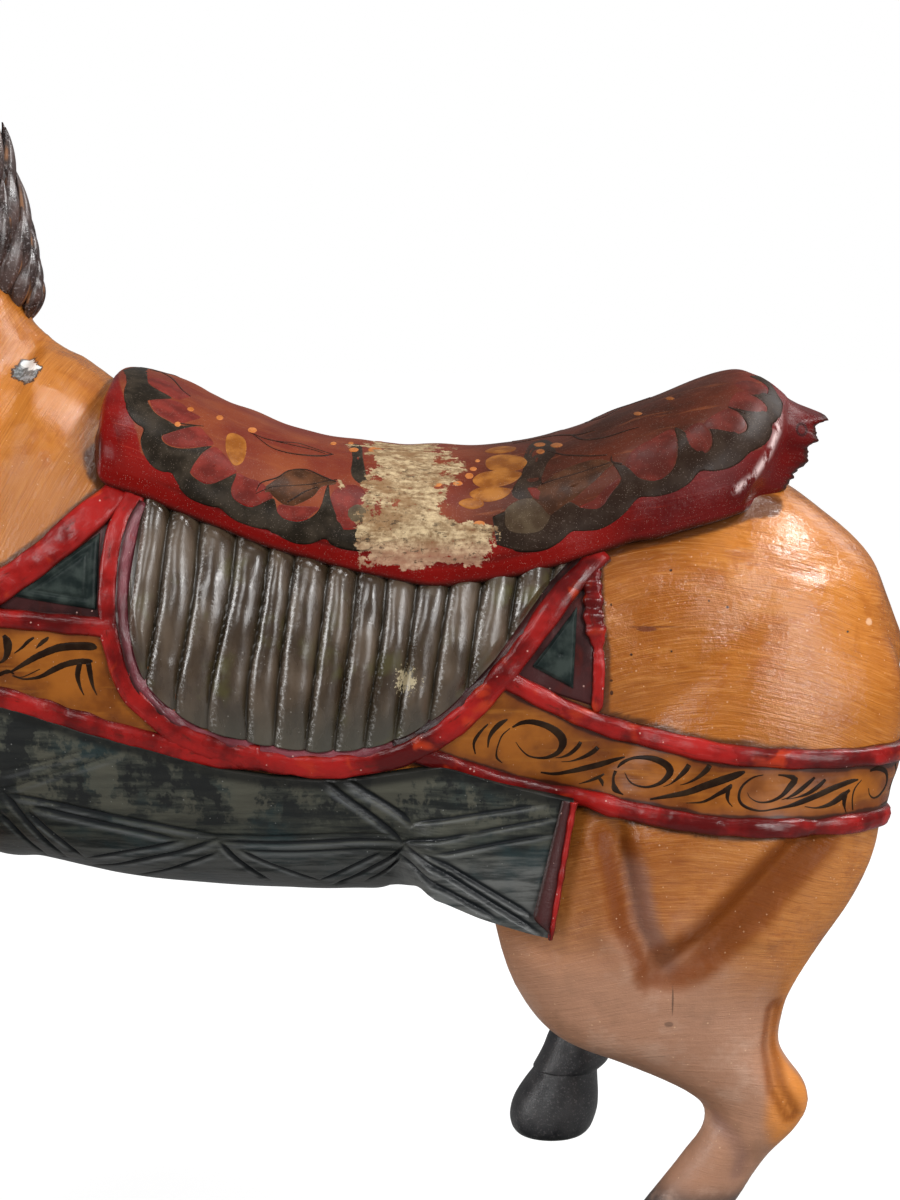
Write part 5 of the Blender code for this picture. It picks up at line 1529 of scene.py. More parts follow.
@dataclass
class Blanket:
    """The cloth carved under the girth on one side, down to the middle of the belly.

    Its surface coordinates are x, and the distance a down the cloth from z = 0.50.
    """

    flesh: Flesh
    body: bpy.types.Object
    girdle: Girdle
    side: int
    proud: float = 0.0075
    front_x: float = -0.178
    rear_x: float = 0.2105
    lean: float = 0.168
    level: float = 0.500
    # How far out the hanging part hangs, and how much lower the belly's foot is than its table
    hang_out: float = 0.1215
    belly_drop: float = 0.0245
    foot_x: tuple = (0.05, 0.098, 0.108, 0.1145, 0.1205, 0.1245, 0.130, 0.160, 0.196, 0.215)
    foot: tuple = (0.4045, 0.4017, 0.4001, 0.3994, 0.4000, 0.3962, 0.3918, 0.3805, 0.3700, 0.3655)
    top: tuple = (
        (-0.18, 0.523), (-0.15, 0.518), (-0.106, 0.505), (-0.062, 0.493), (-0.02, 0.48), (0.018, 0.474),
        (0.055, 0.472), (0.096, 0.476), (0.126, 0.479), (0.164, 0.4675), (0.212, 0.456),
    )  # fmt: skip
    # The hem's bevel: share of its breadth inward, and height
    bevel: tuple = (
        (-1.0, 0.0096), (-0.75, 0.0104), (-0.1, 0.0075), (0.1, 0.003), (0.1, -0.016), (-1.0, -0.004),
    )  # fmt: skip
    # Its knife cuts: x, a of both ends, half breadth and depth
    cuts: tuple = (
        (-0.1558, 0.0278, -0.094, 0.009, 0.0016, 0.0012),
        (-0.157, 0.0403, -0.076, 0.0113, 0.0016, 0.0012),
        (-0.1542, 0.0426, -0.1236, 0.1054, 0.0032, 0.0026),
        (-0.1401, 0.0578, -0.1101, 0.1014, 0.003, 0.0024),
        (-0.1542, 0.0426, -0.0207, 0.0707, 0.0026, 0.002),
        (-0.1358, 0.0536, -0.044, 0.0758, 0.003, 0.0024),
        (-0.1082, 0.1027, -0.042, 0.0758, 0.0026, 0.0022),
        (-0.1045, 0.1161, -0.019, 0.0742, 0.003, 0.0024),
        (-0.0765, 0.1249, -0.0198, 0.0854, 0.0028, 0.0022),
        (-0.0172, 0.0776, 0.0106, 0.1226, 0.0032, 0.0026),
        (-0.004, 0.0839, 0.0441, 0.1206, 0.0028, 0.0024),
        (-0.0187, 0.0706, 0.1018, 0.0682, 0.0018, 0.0013),
        (-0.0158, 0.0767, 0.0999, 0.074, 0.0026, 0.0022),
        (-0.004, 0.0839, 0.0857, 0.0834, 0.0022, 0.0018),
        (0.0441, 0.1206, 0.0857, 0.0862, 0.0028, 0.0024), (0.0543, 0.128, 0.1071, 0.0789, 0.003, 0.0026),
        (0.0761, 0.123, 0.1054, 0.0899, 0.0026, 0.0022),
        (0.0494, 0.0281, 0.1051, 0.0751, 0.0034, 0.0028),
        (0.0627, 0.0277, 0.1114, 0.0597, 0.0034, 0.0028),
        (0.1114, 0.0589, 0.1909, 0.0451, 0.0024, 0.0018),
        (0.1064, 0.0733, 0.1474, 0.0651, 0.0026, 0.002),
        (0.1474, 0.0651, 0.2008, 0.0536, 0.0024, 0.0018),
        (0.1253, 0.0791, 0.2002, 0.0648, 0.0024, 0.0019),
        (0.1053, 0.0863, 0.1747, 0.1206, 0.003, 0.0026), (0.109, 0.0762, 0.2034, 0.1299, 0.0032, 0.0028),
        (0.1238, 0.0791, 0.198, 0.1196, 0.003, 0.0026),
        (-0.1592, 0.0584, -0.1374, 0.1104, 0.003, 0.0024),
    )  # fmt: skip

    def __post_init__(self) -> None:
        """Lay the cloth's grid on the flesh."""
        fine = self.side == NEAR
        columns, rows = (421, 191) if fine else (141, 71)
        w = np.linspace(0, 1, rows)[:, None]
        x = np.linspace(self.front_x, self.rear_x, columns)[None, :]
        middle, half, wide = self.flesh.section_at(x)
        top = np.array(self.top)
        top_z = np.interp(x, *top.T)
        power = self.flesh.trunk_roundness
        first = np.arcsin(np.clip((middle - top_z) / half, 0, 1) ** (power / 2))
        angle = first + (HALF_TURN / 2 - first) * w
        barrel_y = wide * np.abs(np.cos(angle)) ** (2 / power)
        barrel_z = middle - half * np.abs(np.sin(angle)) ** (2 / power)
        hang = ease(x, 0.072, 0.132)
        foot_z = np.interp(x, self.foot_x, self.foot)
        foot_z = foot_z - self.belly_drop * (1 - hang)
        short = (top_z - foot_z) / (top_z - barrel_z[-1:])
        barrel_z = top_z + (barrel_z - top_z) * (1 + (short - 1) * ease(x, 0.05, 0.098))
        hang_z = top_z + (foot_z - top_z) * w
        hang_y = self.hang_out + 0.004 * ease(w, 0.2, 0.9) + 0 * x
        back = self.lean * np.maximum(top_z - hang_z, 0) * ease(x, 0.05, 0.20)
        y = barrel_y * (1 - hang) + hang_y * hang
        z = barrel_z * (1 - hang) + hang_z * hang
        guide = np.stack([x - back, self.side * y, z], axis=-1)
        laid = laid_on(self.body, guide.reshape(-1, 3), "NEAREST_SURFACEPOINT").reshape(guide.shape)
        laid[..., 0] = guide[..., 0]
        middle_line = ease(w, 0.93, 1.0) * (1 - hang)
        laid[..., 1] = laid[..., 1] * (1 - middle_line) + guide[..., 1] * middle_line
        slip = ease(w, 0.55, 0.90) * ease(x, 0.055, 0.084)
        laid[..., 2] = laid[..., 2] * (1 - slip) + guide[..., 2] * slip
        out = np.maximum(np.abs(laid[..., 1]), np.abs(guide[..., 1]))
        hung = np.stack([guide[..., 0], self.side * out, guide[..., 2]], axis=-1)
        base = laid * (1 - hang[..., None]) + hung * hang[..., None]
        self.base = blurred(base, 24)
        self.base[-1, :, 1] *= hang[0]
        self.normals = unit(np.cross(np.gradient(self.base, axis=1), np.gradient(self.base, axis=0)))
        if (self.normals[..., 1] * self.side).mean() < 0:
            self.normals = -self.normals
        self.normals[..., 2] *= 1 - hang * ease(w, 0.80, 0.97)
        step = np.linalg.norm(np.diff(self.base, axis=0, prepend=self.base[:1]), axis=-1)
        run = np.cumsum(step, axis=0)
        self.across = np.broadcast_to(x, run.shape)
        self.down = run + (self.level - self.base[:1, :, 2])
        self.hang = np.broadcast_to(hang, run.shape)
        # Painted shade: a dark line along the cloth's top, under the ridge
        self.seam = ease(run, 0.0085, 0.0030)
        self.thin = 1 - 0.40 * ease(w, 0.60, 0.95)

    def depth(self, cut: tuple) -> Array:
        """How deep one knife cut goes: a V one side steep, deepest along its middle third.

        Args:
            cut: x, a of both ends, then its half breadth and depth.

        Returns:
            Depth at each point of the grid.
        """
        x0, a0, x1, a1, half, deep = cut
        path = np.array(((x0, a0), (x1, a1)))
        gap = distance_to_path(self.across, self.down, path)
        along = path[1] - path[0]
        share = ((self.across - x0) * along[0] + (self.down - a0) * along[1]) / (along @ along)
        fade = ease(share, -0.02, 0.16) * ease(share, 1.02, 0.80)
        return deep * np.clip(1 - gap / half, 0, 1) * (0.35 + 0.65 * fade)

    def shape(self) -> Shape:
        """The cloth as a closed slab, its cuts pressed in along its normals."""
        cut = np.zeros_like(self.down)
        for row in self.cuts:
            cut = np.maximum(cut, self.depth(row))
        below = np.roll(cut, 4 if self.side == NEAR else 2, axis=0)
        # The lower lip of each cut, where the slate is painted paler as a highlight
        lip = np.clip(below / 0.0032, 0, 1) * ease(cut, 0.0008, 0.0001)
        swell = 0.0005 * unevenness(self.across, self.down, 61, 0.06)
        lift = self.proud * self.thin + swell - cut
        outer = self.base + lift[..., None] * self.normals
        sunk = 0.006 + 0.016 * self.hang
        roots = self.base - sunk[..., None] * self.normals
        core = np.array((0.03, self.side * 0.03, 0.47))
        uv = np.stack([self.across, self.down], axis=-1)
        return slab(outer, roots, core, uv, cut=cut / 0.003, seam=self.seam, lip=lip)

    def hem(self) -> tuple[Shape, Shape]:
        """The bevel and the bright rim down the cloth's rear edge."""
        edge, normal = self.base[:, -1], self.normals[:, -1]
        share = np.linspace(0, 1, len(edge))
        along = unit(np.gradient(edge, axis=0))
        back = unit(np.cross(along, normal))
        back *= np.sign((back[:, :1]).mean())
        bevel_width = ((0.0065 + 0.0065 * share) * ease(share, 0.96, 0.84) + 0.001)[:, None]
        bevel = np.array(self.bevel)
        ring = (
            edge[:, None]
            + bevel[None, :, 0:1] * bevel_width[:, None] * back[:, None]
            + bevel[None, :, 1:2] * normal[:, None]
        )
        turn = full_turn(10)
        thick = 0.0030 * (1 + 0.15 * unevenness(share, 0 * share, 63, 0.15))
        thick = (thick * (1 - 0.3 * share))[:, None, None]
        rim = (
            (edge + 0.0065 * normal)[:, None]
            + thick * np.cos(turn)[None, :, None] * 0.8 * back[:, None]
            + (thick * 1.3) * np.sin(turn)[None, :, None] * normal[:, None]
        )
        return tube(ring), tube(rim)


# ---------------------------------------------------------------- mane, tail, hooves, head


@dataclass
class Mane:
    """The carved mane: a core along the crest, and tufts that hang down it and overlap."""

    flesh: Flesh
    core: tuple = (
        (-0.15, 0.0, 0.774, 0.003, 0.006), (-0.1585, 0.0, 0.796, 0.008, 0.016),
        (-0.173, 0.0, 0.83, 0.016, 0.027), (-0.195, 0.0, 0.875, 0.023, 0.033),
        (-0.229, 0.0, 0.918, 0.025, 0.034), (-0.272, 0.0, 0.946, 0.021, 0.032),
        (-0.312, 0.0, 0.967, 0.013, 0.024),
    )  # fmt: skip
    tuft_length: float = 0.066
    tuft_half: float = 0.0088
    tuft_proud: float = 0.0056
    # Each column's turn from the crest, how many tufts, and their start along the core
    columns: tuple = ((0.0, 8, 0.12), (0.62, 9, 0.05), (1.15, 8, 0.12), (1.62, 7, 0.24))

    def tuft(self, root: Array, tip: Array, out: Array, half: float, proud: float) -> Shape:
        """One tuft: a plump leaf from root to tip that bows off the neck.

        Its middle runs from root to tip, lifted along out as sin(pi t) to the 0.8 power, and
        its sections are ellipses whose size follows the same wave, fullest near the tip.

        Args:
            root: Where it starts.
            tip: Where it ends.
            out: The way it bows.
            half: Half breadth.
            proud: How far it bows.

        Returns:
            The tuft.
        """
        t = np.linspace(0, 1, 19)[:, None]
        middle = root + (tip - root) * t + out * (proud * np.sin(HALF_TURN * t) ** 0.8)
        along = unit(np.gradient(middle, axis=0))
        side = unit(np.cross(along, out))
        size = np.maximum(np.sin(HALF_TURN * np.clip(t, 0.02, 0.985) ** 1.35) ** 0.60, 0.05)
        turn = full_turn(24)
        strand = 1 - 0.14 * np.maximum(np.cos(5 * turn - HALF_TURN / 2), 0) * (np.sin(turn) > -0.2)
        ring = middle[:, None] + (half * size * np.cos(turn) * strand)[..., None] * side[:, None]
        tuft = tube(ring + (0.70 * half * size * np.sin(turn) * strand)[..., None] * out)
        rim = bell(np.abs(np.cos(turn)) - 0.98, 0.03) * (np.sin(turn) > -0.1) * ease(size, 0.3, 0.7)
        tuft.marks["edge"] = rim.ravel()
        return tuft

    def shape(self) -> Shape:
        """The core and both sides' tufts."""
        parts = [self.flesh.section_tube(self.core)]
        parts[0].marks["edge"] = np.zeros(len(parts[0].points))
        knots = smooth_rows(self.core, 20)
        draw = np.random.default_rng(5)
        for angle, count, start in self.columns:
            for share in start + (0.97 - start) * np.arange(count) / count:
                at = int(share * (len(knots) - 4))
                x, _, z, thick, wide = knots[at]
                crest = unit(np.array((knots[at + 3][0] - x, 0.0, knots[at + 3][2] - z)))
                up = np.array((crest[2], 0.0, -crest[0]))
                jitter = draw.random(4) - 0.5
                for side in (NEAR, FAR) if angle else (NEAR,):
                    turn = angle + 0.14 * jitter[0]
                    level = np.array((0, side, 0))
                    out = up * math.cos(turn) + level * math.sin(turn)
                    rise = up * thick * math.cos(turn) + level * wide * math.sin(turn)
                    seat = np.array((x, 0, z)) + rise * 0.84
                    fall = level * math.cos(turn) - up * math.sin(turn)
                    way = unit(-crest * 0.80 - up * (0.42 + 0.2 * jitter[3]) + fall * 0.16)
                    long = (self.tuft_length + 0.014 * jitter[1]) * (0.45 + 0.55 * min(1.0, 3.0 * share))
                    root = seat - way * 0.34 * long
                    half = (self.tuft_half + 0.0022 * jitter[2]) * (0.60 + 0.40 * min(1.0, 3.5 * share))
                    parts.append(self.tuft(root, root + way * long, out, half, self.tuft_proud))
        return joined(parts)

    def lock(self, rows: tuple, strands: int) -> Shape:
        """A long lock such as the forelock or tail, its sides cut into strands.

        Args:
            rows: Limb rows.
            strands: How many grooves run along it.

        Returns:
            The lock.
        """
        fine = smooth_rows(rows, 14)
        middle = fine[:, :3]
        front = unit(np.cross(unit(np.gradient(middle, axis=0)), LEVEL))
        turn = full_turn(64)
        run = np.linspace(0, 1, len(fine))[:, None]
        groove = np.abs(np.sin(strands / 2 * turn[None] + 2.2 * run + 0.6 * np.sin(5 * run))) ** 0.5
        size = 0.86 + 0.17 * groove
        thick = fine[:, 3:4] * np.cos(turn) * size
        wide = fine[:, 4:5] * np.sin(turn) * size
        return tube(middle[:, None] + thick[..., None] * front[:, None] + wide[..., None] * LEVEL)


@dataclass
class Hoof:
    """A hoof and the cuff above it, by its outline in the side view.

    Rows are height share, front x and back x from the middle, and half width, in metres.
    """

    name: str
    middle: tuple
    lean: float = 0.0
    rows: tuple = (
        (0.0, -0.022, 0.018, 0.019), (0.0015, -0.026, 0.023, 0.024), (0.006, -0.0295, 0.0275, 0.0275),
        (0.013, -0.031, 0.0305, 0.0288), (0.021, -0.03, 0.0325, 0.0285), (0.03, -0.0265, 0.033, 0.0268),
        (0.04, -0.02, 0.0325, 0.0245), (0.0465, -0.015, 0.0322, 0.0235),
        (0.049, -0.0135, 0.0325, 0.0232), (0.05, -0.0142, 0.034, 0.0242), (0.056, -0.011, 0.04, 0.025),
        (0.064, -0.007, 0.0415, 0.0245), (0.072, -0.004, 0.035, 0.0225), (0.079, -0.001, 0.029, 0.0195),
    )  # fmt: skip

    def shape(self) -> Shape:
        """Elliptic sections between the outline's front and back, leaned about the sole."""
        rows = smooth_rows(self.rows, 4)
        height, front, back, wide = rows.T
        turn = full_turn(48)
        x = ((front + back) / 2)[:, None] + ((back - front) / 2)[:, None] * np.cos(turn)
        y = wide[:, None] * np.sin(turn)
        z = height[:, None] + 0 * x
        tilt = math.radians(self.lean)
        leaned = x * math.cos(tilt) + z * math.sin(tilt)
        z = z * math.cos(tilt) - x * math.sin(tilt)
        return tube(np.stack([leaned, y, z], axis=-1) + np.array(self.middle))


@dataclass
class Head:
    """Ears and eyes."""

    girdle: Girdle
    eye_spot: tuple = (-0.3835, 0.0372, 0.898)
    eye_size: float = 0.0105
    # The eye's length and depth beside its height
    eye_length: float = 1.15
    eye_depth: float = 0.62
    ear: tuple = (
        (-0.32, 0.024, 0.95, 0.015, 0.013), (-0.318, 0.029, 0.975, 0.018, 0.013),
        (-0.313, 0.033, 1.0, 0.014, 0.009), (-0.307, 0.035, 1.018, 0.007, 0.005),
        (-0.304, 0.036, 1.0265, 0.003, 0.003),
    )  # fmt: skip

    def ears(self) -> Shape:
        """Both ears, each scooped out on its front by a groove along its length."""
        parts = []
        for side in (NEAR, FAR):
            rows = smooth_rows(np.array(self.ear) * (1, side, 1, 1, 1), 8)
            turn = full_turn(40)
            cup = bell((turn - HALF_TURN + side * 0.5) / 0.75, 1.0)
            depth = np.clip(np.linspace(-0.3, 2.5, len(rows)), 0, 1)[:, None] * 0.75
            size = 1 - depth * cup[None]
            x = rows[:, 0:1] + rows[:, 3:4] * np.cos(turn) * size
            y = rows[:, 1:2] + rows[:, 4:5] * np.sin(turn) * size
            parts.append(tube(np.stack([x, y, rows[:, 2:3] + 0 * x], axis=-1)))
        return joined(parts)

    def eyes(self) -> Shape:
        """Both eyes, flattened domes sunk in their sockets."""
        parts = []
        for side in (NEAR, FAR):
            polar = np.linspace(0.06, HALF_TURN - 0.06, 17)[:, None]
            turn = full_turn(32)[None]
            along = np.sin(polar) * np.cos(turn) * self.eye_length
            out = np.cos(polar) * self.eye_depth + 0 * turn
            ball = np.stack([along, out, np.sin(polar) * np.sin(turn)], axis=-1)
            spot = np.array(self.eye_spot) * (1, side, 1)
            parts.append(tube(spot + self.eye_size * ball))
        return joined(parts)


# ---------------------------------------------------------------- finishes


class Slot(Enum):
    """The record's material slots."""

    OCHRE = "ochre_varnish"
    CRIMSON = "crimson_paint"
    SADDLE = "saddle_paint"
    BRONZE = "bronze_paint"
    SLATE = "slate_paint"
    BLACK = "black_paint"
    BASE = "base_paint"


class Bench:
    """A node tree being wired."""

    def __init__(self, tree: bpy.types.NodeTree) -> None:
        """Work on the given tree."""
        self.tree = tree

    def add(self, kind: str, inputs: dict | None = None, **settings) -> bpy.types.Node:
        """Add a node, set it up and feed its inputs.

        Args:
            kind: The node's type, without the ShaderNode prefix.
            inputs: Input name or number to a value, a socket or a node.
            **settings: The node's own properties.

        Returns:
            The node.
        """
        node = self.tree.nodes.new("ShaderNode" + kind)
        for key, value in settings.items():
            setattr(node, key, value)
        for key, value in (inputs or {}).items():
            self.feed(node, key, value)
        return node

    def feed(self, node: bpy.types.Node, key: str | int, value: object) -> None:
        """Link a socket or node to an input, or set its value."""
        if isinstance(value, bpy.types.Node):
            value = value.outputs[0]
        if isinstance(value, bpy.types.NodeSocket):
            self.tree.links.new(value, node.inputs[key])
        elif isinstance(value, tuple) and len(value) == 3 and node.inputs[key].type == "RGBA":
            node.inputs[key].default_value = (*value, 1.0)
        else:
            node.inputs[key].default_value = value

    def calc(self, operation: str, a: object, b: object = 0.0, c: object = 0.0) -> bpy.types.NodeSocket:
        """A math node's result."""
        node = self.add("Math", {0: a, 1: b}, operation=operation)
        if operation == "MULTIPLY_ADD":
            self.feed(node, 2, c)
        return node.outputs[0]

    def times(self, a: object, b: object) -> bpy.types.NodeSocket:
        """a times b."""
        return self.calc("MULTIPLY", a, b)

    def ragged(self, value: object, noise: object, by: float) -> bpy.types.NodeSocket:
        """The value moved by a noise about its middle, up to half of by either way."""
        return self.calc("MULTIPLY_ADD", self.calc("SUBTRACT", noise, 0.5), by, value)

    def length(self, vector: object) -> bpy.types.NodeSocket:
        """A vector's length."""
        return self.add("VectorMath", {0: vector}, operation="LENGTH").outputs[1]

    def axis(self, vector: object, name: str) -> bpy.types.NodeSocket:
        """One of a vector's parts: x, y or z."""
        return self.add("SeparateXYZ", {0: vector}).outputs["xyz".index(name)]

    def specks(self, vector: object, scale: float, share: float, size: float) -> bpy.types.Node:
        """The shared fine specks at a scale, with the share kept and their size."""
        return self.group(Effects.get("specks"), Vector=vector, Scale=scale, Share=share, Size=size)

    def span(
        self, value: object, low: float, high: float, to_low: float = 0.0, to_high: float = 1.0
    ) -> bpy.types.NodeSocket:
        """A value eased from one range to another."""
        inputs = {"Value": value, "From Min": low, "From Max": high, "To Min": to_low, "To Max": to_high}
        return self.add("MapRange", inputs, interpolation_type="SMOOTHSTEP").outputs[0]

    def blend(self, share: object, a: object, b: object, how: str = "MIX") -> bpy.types.NodeSocket:
        """Colour a turned towards colour b by a share."""
        node = self.add("Mix", data_type="RGBA", blend_type=how)
        for key, value in ((0, share), (6, a), (7, b)):
            self.feed(node, key, value)
        return node.outputs[2]

    def noise(
        self, vector: object, scale: float, detail: float = 4.0, rough: float = 0.55, bend: float = 0.0
    ) -> bpy.types.NodeSocket:
        """A noise value."""
        inputs = {"Vector": vector, "Scale": scale, "Detail": detail, "Roughness": rough, "Distortion": bend}
        return self.add("TexNoise", inputs).outputs[0]

    def stretched(self, vector: object, scale: tuple, move: tuple = (0.0, 0.0, 0.0)) -> bpy.types.NodeSocket:
        """A vector scaled along its axes."""
        return self.add("Mapping", {"Vector": vector, "Scale": scale, "Location": move}).outputs[0]

    def place(self) -> bpy.types.NodeSocket:
        """Object coordinates, which are metres in the row's frame."""
        return self.add("TexCoord").outputs["Object"]

    def surface(self) -> bpy.types.NodeSocket:
        """The piece's own surface coordinates."""
        return self.add("UVMap", uv_map="surface").outputs[0]

    def mark(self, name: str) -> bpy.types.NodeSocket:
        """A per-point value of the piece."""
        return self.add("Attribute", attribute_name=name).outputs["Fac"]

    def group(self, tree: bpy.types.NodeTree, **inputs: object) -> bpy.types.Node:
        """Place a node group, its inputs named with underscores for spaces."""
        node = self.add("Group", node_tree=tree)
        for key, value in inputs.items():
            self.feed(node, key.replace("_", " "), value)
        return node


def new_group(name: str, inputs: dict, outputs: tuple) -> tuple[bpy.types.NodeTree, Bench, object, object]:
    """A node group with named sockets, ready to wire.

    Args:
        name: Its name.
        inputs: Name to default; a tuple default makes a vector, a number a value.
        outputs: Names of value outputs.

    Returns:
        The group, its bench, and its input and output nodes.
    """
    tree = bpy.data.node_groups.new(name, "ShaderNodeTree")
    for key, default in inputs.items():
        kind = "NodeSocketVector" if isinstance(default, tuple) else "NodeSocketFloat"
        tree.interface.new_socket(key, in_out="INPUT", socket_type=kind).default_value = default
    for key in outputs:
        tree.interface.new_socket(key, in_out="OUTPUT", socket_type="NodeSocketFloat")
    return tree, Bench(tree), tree.nodes.new("NodeGroupInput"), tree.nodes.new("NodeGroupOutput")


class Effects:
    """The node groups that several finishes share, each built once."""

    made: dict = {}

    @classmethod
    def get(cls, name: str) -> bpy.types.NodeTree:
        """A group by name, built on first use."""
        if name not in cls.made:
            cls.made[name] = getattr(cls, name)()
        return cls.made[name]

    @staticmethod
    def specks() -> bpy.types.NodeTree:
        """Fine round specks: the middles of random cells, a share of them kept."""
        inputs = {"Vector": (0.0, 0.0, 0.0), "Scale": 700.0, "Share": 0.2, "Size": 0.25}
        tree, bench, given, out = new_group("specks", inputs, ("Mask",))
        cells = bench.add("TexVoronoi", {"Vector": given.outputs["Vector"], "Scale": given.outputs["Scale"]})
        pick = bench.add("SeparateColor", {0: cells.outputs["Color"]})
        size = bench.times(given.outputs["Size"], pick.outputs[1])
        dot = bench.calc("LESS_THAN", cells.outputs["Distance"], size)
        kept = bench.calc("LESS_THAN", pick.outputs[0], given.outputs["Share"])
        bench.feed(out, "Mask", bench.times(dot, kept))
        return tree

    @staticmethod
    def brush_grain() -> bpy.types.NodeTree:
        """Long fine brush marks that run level and arch over the round of the body."""
        inputs = {"Vector": (0.0, 0.0, 0.0), "Arch": 2.2, "Middle": 0.29, "Fine": 1250.0}
        tree, bench, given, out = new_group("brush_grain", inputs, ("Grain", "Streaks"))
        parts = bench.add("SeparateXYZ", {0: given.outputs["Vector"]})
        away = bench.calc("SUBTRACT", parts.outputs[0], given.outputs["Middle"])
        bow = bench.times(bench.times(away, away), given.outputs["Arch"])
        z = bench.calc("ADD", parts.outputs[2], bow)
        swell = bench.noise(given.outputs["Vector"], 9.0, 2.0)
        z = bench.calc("MULTIPLY_ADD", swell, 0.016, z)
        fast = bench.times(z, given.outputs["Fine"])
        vector = bench.add(
            "CombineXYZ",
            {
                0: bench.times(parts.outputs[0], 55.0),
                1: bench.times(parts.outputs[1], 55.0),
                2: fast,
            },
        )
        bench.feed(out, "Grain", bench.noise(vector, 1.0, 3.0, 0.6))
        slow = bench.add("Mapping", {"Vector": vector, "Scale": (0.35, 0.35, 0.22)})
        bench.feed(out, "Streaks", bench.noise(slow, 1.0, 3.0, 0.6))
        return tree

    @staticmethod
    def worn_patch() -> bpy.types.NodeTree:
        """Where the seat is worn to its ground: an uneven upright patch with torn edges."""
        inputs = {"Vector": (0.0, 0.0, 0.0)}
        tree, bench, given, out = new_group("worn_patch", inputs, ("Patch", "Flecks"))
        vector = given.outputs["Vector"]
        parts = bench.add("SeparateXYZ", {0: vector})
        x, y, z = parts.outputs
        torn = bench.noise(vector, 46.0, 8.0, 0.72)
        ragged = bench.ragged(x, torn, 0.120)
        left = bench.span(ragged, 0.070, 0.080)
        lower = bench.span(z, 0.640, 0.622)
        limit = bench.calc("MULTIPLY_ADD", lower, 0.026, 0.1280)
        right = bench.span(bench.calc("SUBTRACT", limit, ragged), -0.004, 0.006)
        wave = bench.ragged(z, torn, 0.030)
        foot = bench.span(wave, 0.601, 0.606)
        side = bench.span(y, 0.018, -0.004)
        patch = bench.times(bench.times(left, right), bench.times(foot, side))
        flakes = bench.noise(vector, 210.0, 6.0, 0.7)
        comb = bench.noise(bench.stretched(vector, (60.0, 240.0, 420.0)), 1.0, 4.0, 0.6)
        flakes = bench.calc("MULTIPLY_ADD", comb, 0.35, bench.times(flakes, 0.65))
        kept = bench.span(bench.calc("MULTIPLY_ADD", patch, 0.36, flakes), 0.70, 0.78)
        bench.feed(out, "Patch", bench.times(kept, bench.span(patch, 0.02, 0.25)))
        bench.feed(out, "Flecks", flakes)
        return tree

    @staticmethod
    def foot_shade() -> bpy.types.NodeTree:
        """Painted shade along both feet of a moulding, from its share round the section."""
        inputs = {"Surface": (0.0, 0.0, 0.0), "Breadth": 0.09}
        tree, bench, given, out = new_group("foot_shade", inputs, ("Mask",))
        share = bench.add("SeparateXYZ", {0: given.outputs["Surface"]}).outputs[1]
        ragged = bench.noise(bench.stretched(given.outputs["Surface"], (90.0, 4.0, 1.0)), 1.0, 4.0)
        share = bench.ragged(share, ragged, 0.10)
        reach = given.outputs["Breadth"]
        near = bench.calc("SUBTRACT", 1.0, bench.calc("DIVIDE", share, reach))
        far = bench.calc("DIVIDE", bench.calc("SUBTRACT", share, bench.calc("SUBTRACT", 0.87, reach)), reach)
        bench.feed(out, "Mask", bench.span(bench.calc("MAXIMUM", near, far), 0.0, 1.0))
        return tree


@dataclass(frozen=True)
class Finish:
    """A finish: its material's name and the record's slot it belongs to."""

    name: str
    slot: Slot

    def material(self) -> bpy.types.Material:
        """The finish's material, made on first use."""
        made = bpy.data.materials.get(self.name)
        if made is None:
            made = bpy.data.materials.new(self.name)
            made.use_nodes = True
            shader = made.node_tree.nodes["Principled BSDF"]
            self.wire(Bench(made.node_tree), shader)
        return made

    def wire(self, bench: Bench, shader: bpy.types.Node) -> None:
        """Wire the finish's nodes into its shader."""
        raise NotImplementedError

    def press(
        self, bench: Bench, shader: bpy.types.Node, height: object, strength: float, deep: float
    ) -> None:
        """Feed the shader's normal with a bump of the height, deep in metres."""
        bump = bench.add("Bump", {"Strength": strength, "Distance": deep, "Height": height})
        bench.feed(shader, "Normal", bump)


